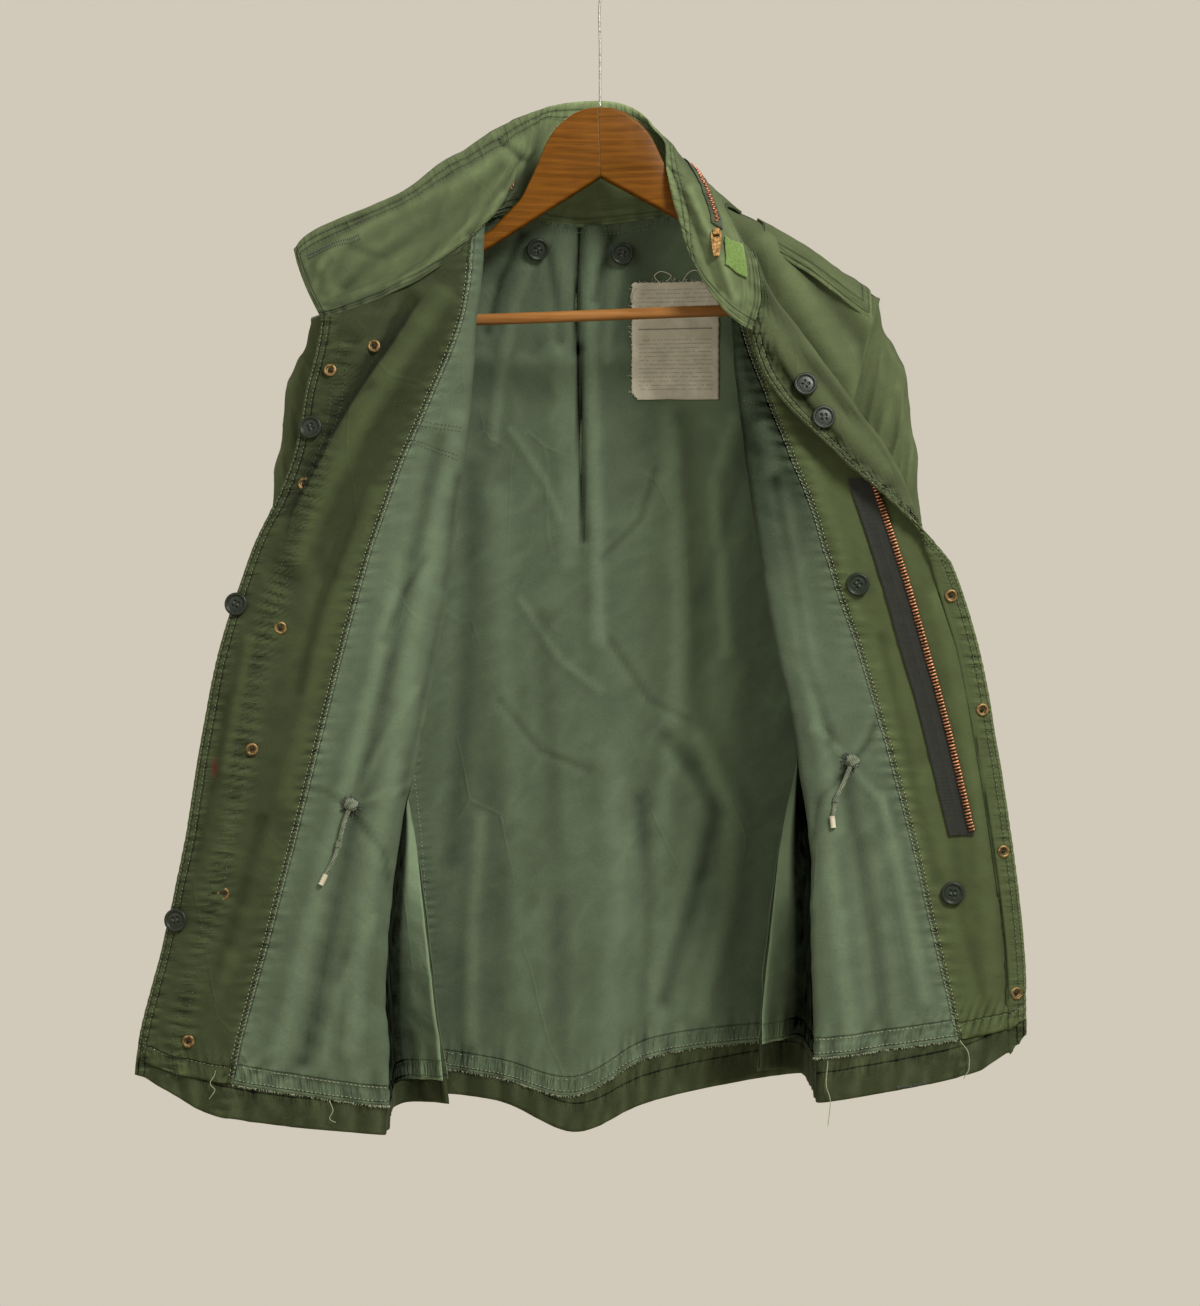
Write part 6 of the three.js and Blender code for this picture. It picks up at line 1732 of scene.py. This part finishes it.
class MakeButtons(bpy.types.Operator):
    """Makes the nine buttons with four holes and the thread in them"""
    bl_idname = "field_jacket.buttons"
    bl_label = "Buttons"

    def execute(self, context):
        settings = context.scene.field_jacket
        plastic = button_material(settings)
        thread = thread_material("button thread", linear(84, 92, 70), linear(50, 58, 44))
        radius = settings.button_diameter / MM / 2
        starts, ends, outs = [], [], []
        for k, (panel, stretch, x, z) in enumerate(BUTTONS):
            point, out = seat_of(panel, stretch, x, z)
            turn = 0.4 + 0.7 * k
            point = point + out * 1.5
            obj = round_part(f"sewn_button_{k + 1}", button_profile(radius), 56, point, out, turn,
                             (1.75, 1.05, 1.4, 1.2))
            finish_mesh(obj, "jacket", [f"button_{k + 1}"], plastic)
            right, up = disc_frame(out, turn)
            for side in (-1, 1):
                for shift in (-0.28, 0.28):
                    middle = point + out * 2.45 + up * (1.75 * side + shift)
                    starts.append(middle - right * 1.9)
                    ends.append(middle + right * 1.9)
                    outs.append(out)
        stitches = spindles(np.array(starts), np.array(ends), np.array(outs), 0.6, 0.4)
        finish_mesh(joined("button_threads", stitches), "jacket", (), thread)
        return {"FINISHED"}


class MakeSnaps(bpy.types.Operator):
    """Makes the brass snap parts"""
    bl_idname = "field_jacket.snaps"
    bl_label = "Snaps"

    def execute(self, context):
        settings = context.scene.field_jacket
        brass = metal_material("worn brass", colour_of(settings.brass_colour), linear(74, 62, 40), 0.38)
        dark = metal_material("snap middle", linear(58, 52, 40), linear(30, 28, 22), 0.5)
        profile = [(0.01, 0.15), (5.0, 0.15), (5.4, 0.6), (5.35, 1.1), (4.9, 1.7), (4.2, 2.0), (3.4, 1.9),
                   (2.9, 1.4), (2.7, 0.75), (2.5, 0.5), (0.01, 0.5)]
        middle = [(0.01, 0.5), (1.5, 0.5), (1.7, 0.9), (1.5, 1.35), (0.9, 1.5), (0.01, 1.5)]
        for k, (panel, stretch, x, z) in enumerate(SNAPS):
            point, out = seat_of(panel, stretch, x, z)
            ring = round_part(f"brass_snap_{k + 1}", profile, 36, point + out * 0.2, out, 0.3 * k)
            finish_mesh(ring, "jacket", [f"snap_{k + 1}"], brass)
            stud = round_part(f"snap_middle_{k + 1}", middle, 20, point + out * 0.2, out, 0)
            finish_mesh(stud, "jacket", (), dark)
        return {"FINISHED"}


# Hood zip, slider, tab and hook-and-loop patch


def collar_strip(start, finish, low, high, columns, rows, seat, thickness):
    """A strip on the collar's outer face, over some of its rows and heights."""
    r, v = np.meshgrid(np.linspace(start, finish, columns), np.linspace(low, high, rows), indexing="ij")
    grid, _ = collar_grid(r, v)
    normals = grid_normals(grid)
    ends = np.minimum(r - start, finish - r) * COLLAR_STEP
    edge = np.minimum(ends, np.minimum(v - low, high - v) * COLLAR_HEIGHT)
    uv = np.stack([(r - start) * COLLAR_STEP, (v - low) * COLLAR_HEIGHT], -1) * MM
    return grid - normals * (COLLAR_HALF + seat + thickness / 2), -normals, edge, uv


class MakeHoodZip(bpy.types.Operator):
    """Makes the hood zip's tape and teeth and the hook-and-loop patch, and gives its slider and tab brass"""
    bl_idname = "field_jacket.hood_zip"
    bl_label = "Hood zip"

    def execute(self, context):
        tape = tape_material("hood zip tape cloth", linear(78, 92, 62), linear(48, 58, 42))
        brass = metal_material("slider brass", linear(176, 138, 88), linear(92, 70, 44), 0.32)
        copper = bpy.data.materials["zip copper"]
        made = collar_strip(4, 17.3, 0.42, 0.58, 220, 10, 1.0, 0.8)
        obj = patch_object("hood_zip_tape_cloth", made, 0.8)
        finish_mesh(obj, "jacket", ["hood_zip_tape"], tape)
        grid, out, _, _ = collar_strip(4.1, 17.2, 0.46, 0.54, 400, 3, 1.0, 0.8)
        line, normal = grid[:, 1], out[:, 1]
        arc = arc_of(line)
        starts = np.arange(1, arc[-1] - 1, 2.0)
        centre = at_lengths(starts, arc, line)
        normal = unit(at_lengths(starts, arc, normal))
        ahead = unit(np.gradient(centre, axis=0))
        side = unit(np.cross(ahead, normal))
        shift = np.where(np.arange(len(starts)) % 2, 0.5, -0.5)[:, None]
        teeth = boxes(centre + normal * 1.1 + side * shift, side, ahead, normal, (1.7, 0.7, 0.7))
        finish_mesh(joined("hood_zip_teeth", teeth), "jacket", (), copper, False)
        grip = fuzzy_material("hook and loop", linear(66, 92, 34), linear(104, 132, 58))
        grid, out, edge, uv = collar_strip(17.5, 18.6, 0.14, 0.4, 26, 22, 1.0, 1.1)
        rng = np.random.default_rng(4)
        grid = grid + out * rng.uniform(-0.2, 0.2, grid.shape[:2])[..., None]
        obj = patch_object("hook_and_loop_patch", (grid, out, edge, uv), 1.1)
        finish_mesh(obj, "jacket", ["collar_grip"], grip)
        for name in ("zip_slider", "zip_pull"):
            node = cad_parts[name]
            node.data.materials.clear()
            node.data.materials.append(brass)
        return {"FINISHED"}


# Sewing


class MakeStitching(bpy.types.Operator):
    """Makes the stitch lines, the bartacks, the buttonholes and the loose threads"""
    bl_idname = "field_jacket.stitching"
    bl_label = "Stitching"

    def execute(self, context):
        settings = context.scene.field_jacket
        length = settings.stitch_length / MM
        green = thread_material("green thread", linear(112, 124, 88), linear(66, 78, 50))
        pale = thread_material("pale thread", linear(156, 164, 134), linear(108, 118, 92))
        dark = thread_material("dark thread", linear(44, 54, 36), linear(28, 36, 24))
        made = {"green": [], "pale": [], "dark": []}
        height = 1.45
        for side in ("left", "right"):
            panel = PANELS[side]
            low = panel.end("lining", np.array(float(panel.last))) + 3
            top = panel.end("top", np.array(float(panel.last))) - 3
            z = np.linspace(top, low, 160)
            for offset in (-6.4, -1.8):
                s = panel.beside(float(panel.last), z, offset)
                made["green"].append(seam_stitches(panel, s, z, height, length))
                made["green"].append(seam_stitches(panel, s, z, -1.55, length))
            z = np.linspace(-262, panel.end("lining", np.array(4.0)) + 4, 200)
            for offset in (-2.4, 2.2):
                s = panel.beside(4.0, z, offset)
                made["pale"].append(seam_stitches(panel, s, z, 1.3 if offset < 0 else height, length))
            made["green"].append(self.overlock(panel, z))
        left = PANELS["left"]
        for shift in (-5, 5):
            line = [(x + shift, y) for x, y in PUCKERS[0][6]]
            s, z = picture_line(left, (4.05, 5.98), line, 160)
            made["dark"].append(seam_stitches(left, s, z, height, length))
        for side, last in (("left", 6), ("right", 7)):
            panel = PANELS[side]
            s = np.linspace(2.7, 3.95, 60)
            for lift in (4, 15):
                made["pale"].append(seam_stitches(panel, s, panel.end("lining", s) + lift, 1.25, length))
            s = np.linspace(4.05, last - 0.05, 40)
            made["green"].append(seam_stitches(panel, s, panel.end("lining", s) + 12, height, length))
            s = np.linspace(0.1, last - 0.1, 140)
            made["green"].append(seam_stitches(panel, s, panel.end("shell", s) + 24, -1.55, length))
        back = PANELS["back"]
        s = np.linspace(2.4, 7.9, 150)
        for lift in (4, 14):
            made["pale"].append(seam_stitches(back, s, back.end("lining", s) + lift, 1.25, length))
        made["green"].append(seam_stitches(back, s, back.end("shell", s) + 23, -1.55, length))
        for shift in (0, 5):
            s, z = picture_line(back, (3.2, 7.2), [(541, 222 + shift), (583, 228 + shift), (631, 227 + shift),
                                                  (672, 219 + shift)], 80)
            made["green"].append(seam_stitches(back, s, z, 1.25, length))
        s, z = picture_line(back, (2.1, 4), PUCKERS[1][6], 60)
        made["pale"].append(seam_stitches(back, s, z, 1.25, length))
        marks = [
            ("left", (3.05, 3.98), [(412, 420), (466, 429)]),
            ("left", (3.05, 3.98), [(412, 424), (465, 433)]),
            ("left", (3.05, 3.98), [(408, 437), (463, 458)]),
            ("left", (3.05, 3.98), [(407, 441), (462, 462)]),
            ("right", (3.05, 3.98), [(737, 378), (762, 388)]),
            ("right", (3.05, 3.98), [(740, 400), (768, 406)]),
            ("left", (4.05, 5.9), [(392, 402), (410, 399)]),
            ("left", (4.05, 5.9), [(393, 402), (391, 416)]),
        ]
        for name, span, (start, finish) in marks:
            line = [start, ((start[0] + finish[0]) / 2, (start[1] + finish[1]) / 2), finish]
            s, z = picture_line(PANELS[name], span, line, 12)
            made["dark"].append(seam_stitches(PANELS[name], s, z, 1.3, 2.2, 0.9))
        for kind, material in (("green", green), ("pale", pale), ("dark", dark)):
            start, finish, out = (np.concatenate(part) for part in zip(*made[kind]))
            obj = joined(f"stitches_{kind}", spindles(start, finish, out, 0.9, 0.42))
            finish_mesh(obj, "jacket", (), material)
        self.collar_stitches(green, length)
        self.collar_buttonhole(dark)
        self.loose(pale)
        self.frays(pale, dark)
        self.hem_buttonhole(dark)
        return {"FINISHED"}

    def overlock(self, panel, z):
        """Slanted stitches over the lining seam, from one side of it to the other."""
        z = np.arange(z[0], z[-1], -3.4)
        a, out = panel.surface(panel.beside(4.0, z, -3.2), z, np.full(z.shape, 1.35))
        b, _ = panel.surface(panel.beside(4.0, z - 1.7, 1.6), z - 1.7, np.full(z.shape, 1.55))
        return a, b, out

    def collar_stitches(self, material, length):
        """Rows of stitches near the collar's free edge, on both faces, and above its seam."""
        starts, ends, outs = [], [], []
        for v in (0.93, 0.85, 0.06):
            r, w = np.meshgrid(np.linspace(0.12, 19.9, 700), np.array([v - 0.01, v, v + 0.01]), indexing="ij")
            grid, _ = collar_grid(r, w)
            normals = grid_normals(grid)[:, 1]
            line = grid[:, 1]
            arc = arc_of(line)
            at = np.arange(1, arc[-1] - length, length + 0.9)
            for side in (-1, 1):
                face = line + normals * side * (COLLAR_HALF + 0.03)
                starts.append(at_lengths(at, arc, face))
                ends.append(at_lengths(at + length, arc, face))
                outs.append(unit(at_lengths(at, arc, normals)) * side)
        made = spindles(np.concatenate(starts), np.concatenate(ends), np.concatenate(outs), 0.7, 0.32)
        finish_mesh(joined("stitches_collar", made), "jacket", (), material)

    def collar_buttonhole(self, material):
        """The buttonhole in the collar's left end: close stitches across a slit."""
        starts, ends, outs = [], [], []
        r = np.linspace(0.75, 1.95, 30)
        for side in (-1, 1):
            v = 0.76 - 0.04 * (r - 0.75)
            grid, _ = collar_grid(np.stack([r] * 3, 1), np.stack([v - 0.034, v, v + 0.034], 1))
            normals = grid_normals(grid)[:, 1]
            starts.append(grid[:, 1] + normals * 1.35)
            ends.append(grid[:, 2 if side > 0 else 0] + normals * 1.4)
            outs.append(normals)
        made = spindles(np.concatenate(starts), np.concatenate(ends), np.concatenate(outs), 1.2, 0.7)
        finish_mesh(joined("collar_buttonhole", made), "jacket", (), material)

    def frays(self, pale, dark):
        """Frayed threads: short ones along the lining's hems, and a ring around each cord's knot."""
        rng = np.random.default_rng(12)
        starts, ends, outs = [], [], []
        hems = (("left", 2.6, 3.98, 260), ("right", 2.6, 3.98, 220), ("back", 2.3, 7.9, 620))
        for name, low, high, count in hems:
            panel = PANELS[name]
            s = rng.uniform(low, high, count)
            z = panel.end("lining", s)
            point, out = panel.surface(s, z + 0.6, np.full(count, 0.8))
            way = np.stack([rng.uniform(-0.9, 0.9, count), rng.uniform(-0.4, 0, count), -np.ones(count)], -1)
            starts.append(point)
            ends.append(point + unit(way) * rng.uniform(0.8, 3.4, (count, 1)))
            outs.append(out)
        made = spindles(np.concatenate(starts), np.concatenate(ends), np.concatenate(outs), 0.5, 0.3)
        finish_mesh(joined("hem_frays", made), "jacket", (), pale)
        for side in ("left", "right"):
            panel = PANELS[side]
            x, z = CORDS[side][0]
            turn = rng.uniform(0, 2 * np.pi, 70)
            near, far = rng.uniform(1.5, 5, 70), rng.uniform(6, 10.5, 70)
            ends = []
            for reach in (near, far):
                level = z + 4 + reach * np.sin(turn)
                s = panel.find(*STRETCH[side], x + reach * np.cos(turn), level)
                ends.append(panel.surface(s, level, np.full(70, 1.7)))
            made = spindles(ends[0][0], ends[1][0], ends[0][1], 0.9, 0.5)
            finish_mesh(joined(f"cord_frays_{side}", made), "jacket", (), dark)

    def hem_buttonhole(self, material):
        """A buttonhole on the inner face of the right shell's hem: stitches across a slit."""
        panel = PANELS["right"]
        s, z = picture_line(panel, (3.2, 4.9), [(897, 1088), (911, 1086), (926, 1083)], 26)
        a, out = panel.surface(s, z - 1.6, np.full(26, -0.2))
        b, _ = panel.surface(s, z + 1.6, np.full(26, -0.2))
        obj = joined("hem_buttonhole", spindles(a, b, out, 0.9, 0.5))
        finish_mesh(obj, "jacket", (), material)

    def loose(self, material):
        """Loose threads at the lining's hems."""
        lines = [
            ("right", (2.7, 4.9), [(827, 1060), (826, 1082), (830, 1100), (828, 1126)]),
            ("right", (3.2, 4.9), [(960, 1040), (966, 1050), (968, 1067), (962, 1080)]),
            ("left", (3.2, 5.9), [(217, 1070), (212, 1082), (216, 1090), (210, 1098)]),
            ("left", (2.7, 3.9), [(330, 1100), (334, 1110), (330, 1118), (336, 1122)]),
        ]
        for k, (side, span, line) in enumerate(lines):
            name = f"loose_thread_{k + 1}"
            place_thread(name, PANELS[side], span, line, 2.2, 0.35, material)


# Hanger

# x and z of the hanger's right arm while it is level: its top and its foot. Then the point that
# it is tilted about and moved to, and how far.
ARM_TOP = [(0, -131), (12, -132), (24, -137), (36, -147), (44, -158), (52, -177), (66, -204), (94, -231),
           (130, -247), (166, -266), (192, -284), (204, -296), (207, -303)]
ARM_FOOT = [(0, -189), (94, -244), (150, -275), (184, -294), (190, -311), (202, -314), (207, -305)]
HANGER_PIVOT = np.array((-1.5, 1.0, -131.0))
HANGER_TILT = math.radians(2)


def tilted(points):
    """Points of the level hanger, turned with it about its top and moved to its middle."""
    local = points - np.array((0, 0, HANGER_PIVOT[2]))
    c, s = math.cos(HANGER_TILT), math.sin(HANGER_TILT)
    x = local[..., 0] * c - local[..., 2] * s
    z = local[..., 0] * s + local[..., 2] * c
    return np.stack([x, local[..., 1], z], -1) + HANGER_PIVOT


def arm_grid(sign):
    """An arm of the hanger: a rounded block section carried along it, between its top and foot
    outlines. Each corner of the section is a quarter circle."""
    x = np.concatenate([[0.15], np.linspace(1, 200, 118), 200 + 7 * np.sin(np.linspace(0.1, 1.5, 12))])
    top = np.interp(x, *np.array(ARM_TOP, float).T)
    foot = np.interp(x, *np.array(ARM_FOOT, float).T)
    kernel = np.array([1, 2, 3, 2, 1]) / 9
    top[4:-2] = np.convolve(np.pad(top, 2, mode="edge"), kernel, "valid")[4:-2]
    foot[4:-2] = np.convolve(np.pad(foot, 2, mode="edge"), kernel, "valid")[4:-2]
    half = np.maximum((top - foot) / 2, 0.6)
    middle = (top + foot) / 2
    radius = np.minimum(3.2, half)[:, None]
    quarter = np.linspace(0, np.pi / 2, 6)
    angle = np.concatenate([quarter + turn * np.pi / 2 for turn in range(4)])[None]
    corner = np.repeat([[1, 1], [-1, 1], [-1, -1], [1, -1]], 6, axis=0).T
    y = corner[0] * (7 - radius) + radius * np.cos(angle)
    z = middle[:, None] + corner[1] * (half[:, None] - radius) + radius * np.sin(angle)
    grid = np.stack([np.broadcast_to(sign * x[:, None], y.shape), y, z], -1)
    return tilted(grid)


class MakeHanger(bpy.types.Operator):
    """Makes the hanger's two halves, its bar and its wire hook"""
    bl_idname = "field_jacket.hanger"
    bl_label = "Hanger"

    def execute(self, context):
        settings = context.scene.field_jacket
        wood = colour_of(settings.wood_colour)
        for side, sign in (("left", -1), ("right", 1)):
            material = wood_material(f"varnished wood {side}", wood, colour_of(settings.wood_colour, 0.55),
                                     colour_of(settings.wood_colour, 1.9), (0, sign * 0.55, 0))
            grid = arm_grid(sign)
            columns, rows = grid.shape[:2]
            faces = grid_faces(rows, columns, around=True)
            points = grid.transpose(1, 0, 2).reshape(-1, 3)
            quads = (faces if sign < 0 else faces[:, ::-1]).tolist()
            first = [j * columns for j in range(rows)]
            final = [j * columns + columns - 1 for j in range(rows)]
            quads.append(first if sign > 0 else first[::-1])
            quads.append(final[::-1] if sign > 0 else final)
            obj = listed_mesh(f"wood_arm_{side}", points, quads)
            finish_mesh(obj, "jacket", [f"hanger_{side}"], material)
            for flat in (1, 2):
                obj.data.polygons[len(quads) - flat].use_smooth = False
        x = np.linspace(-187, 187, 90)
        path = tilted(np.stack([x, 0.12 * np.sin(x / 31), -303 + 0.25 * np.sin(x / 47)], -1))
        bar = closed_tube("wood_bar", path, 4.75, 28)
        pale_wood = wood_material("bar wood", (0.23, 0.1, 0.024, 1), (0.14, 0.054, 0.012, 1),
                                  (0.3, 0.15, 0.05, 1), (0, 0, 0))
        finish_mesh(bar, "jacket", ["hanger_bar"], pale_wood)
        turns = np.radians([-50, -25, 0, 30, 60, 90, 120, 150, 180, 205])
        hook = [(0, 1, -130.6), (0, 1, -82.3), (0, 1, -42)]
        hook += [(13 * math.cos(t), 1, -12 + 13 * math.sin(t)) for t in turns]
        wire = closed_tube("wire_hook", through(np.array(hook, float), np.linspace(0, 12, 120)), 1.0, 10)
        steel = metal_material("hook steel", linear(176, 174, 168), linear(110, 108, 102), 0.3)
        finish_mesh(wire, "jacket", ["hanger_hook"], steel)
        return {"FINISHED"}


class MakeStage(bpy.types.Operator):
    """Makes the pale floor, the pale surroundings and the soft lights"""
    bl_idname = "field_jacket.stage"
    bl_label = "Stage"

    def execute(self, context):
        mesh = bpy.data.meshes.new("floor")
        angle = np.linspace(0, 2 * np.pi, 96, endpoint=False)
        rim = np.stack([1.3 * np.cos(angle), 0.9 * np.sin(angle) - 0.5, np.full(96, -1.24)], -1)
        mesh.from_pydata(rim.tolist(), [], [list(range(96))])
        floor = bpy.data.objects.new("floor", mesh)
        context.scene.collection.objects.link(floor)
        n = Nodes("floor paint")
        cloud = n.noise(n.place(), 2.5, 3, 0.5)
        tone = n.mix(n.ramp(cloud, (0.3, 0.7, 0, 1)), linear(166, 159, 146), linear(178, 171, 159))
        mesh.materials.append(n.set(Base_Color=tone, Roughness=0.9))
        world = bpy.data.worlds.new("pale surroundings")
        world.use_nodes = True
        background = world.node_tree.nodes["Background"]
        background.inputs["Color"].default_value = linear(214, 206, 190)
        background.inputs["Strength"].default_value = 0.95
        context.scene.world = world
        lights = [
            ("key light", (1.3, -2.0, 1.2), (0, 0, -0.5), 0.9, 120),
            ("fill light", (-1.8, -1.9, 0.2), (0, 0, -0.6), 1.6, 14),
            ("back light", (-0.6, 2.2, 0.5), (0, 0, -0.6), 1.4, 22),
        ]
        for name, place, aim, size, power in lights:
            data = bpy.data.lights.new(name, "AREA")
            data.shape = "DISK"
            data.size = size
            data.energy = power
            data.color = (1.0, 0.975, 0.94)
            obj = bpy.data.objects.new(name, data)
            way = np.array(aim) - np.array(place)
            ahead = unit(way)
            side = unit(np.cross(ahead, np.array((0, 0, 1.0))))
            up = np.cross(side, ahead)
            turn = Matrix(np.column_stack([side, up, -ahead]).tolist()).to_4x4()
            obj.matrix_world = Matrix.Translation(place) @ turn
            context.scene.collection.objects.link(obj)
        context.scene.view_settings.view_transform = "Standard"
        return {"FINISHED"}


OPERATORS = (
    MakeView, MakeCords, MakeFronts, MakeBack, MakeCollar, MakeSleeves, MakePockets, MakeShoulderLoops,
    MakeLabel, MakeZip, MakeButtons, MakeSnaps, MakeHoodZip, MakeStitching, MakeHanger, MakeStage,
)


class FieldJacketPanel(bpy.types.Panel):
    """Lists the jacket's settings and the operators that make its pieces"""
    bl_idname = "VIEW3D_PT_field_jacket"
    bl_label = "Field Jacket"
    bl_space_type = "VIEW_3D"
    bl_region_type = "UI"
    bl_category = "Field Jacket"

    def draw(self, context):
        for name in FieldJacketSettings.__annotations__:
            self.layout.prop(context.scene.field_jacket, name)
        for operator in OPERATORS:
            self.layout.operator(operator.bl_idname)


CLASSES = (FieldJacketSettings, *OPERATORS, FieldJacketPanel)


def register():
    for each in CLASSES:
        bpy.utils.register_class(each)
    bpy.types.Scene.field_jacket = PointerProperty(type=FieldJacketSettings)


def unregister():
    del bpy.types.Scene.field_jacket
    for each in reversed(CLASSES):
        bpy.utils.unregister_class(each)


def main():
    register()
    for operator in OPERATORS:
        group, name = operator.bl_idname.split(".")
        getattr(getattr(bpy.ops, group), name)()


if __name__ == "__main__":
    main()
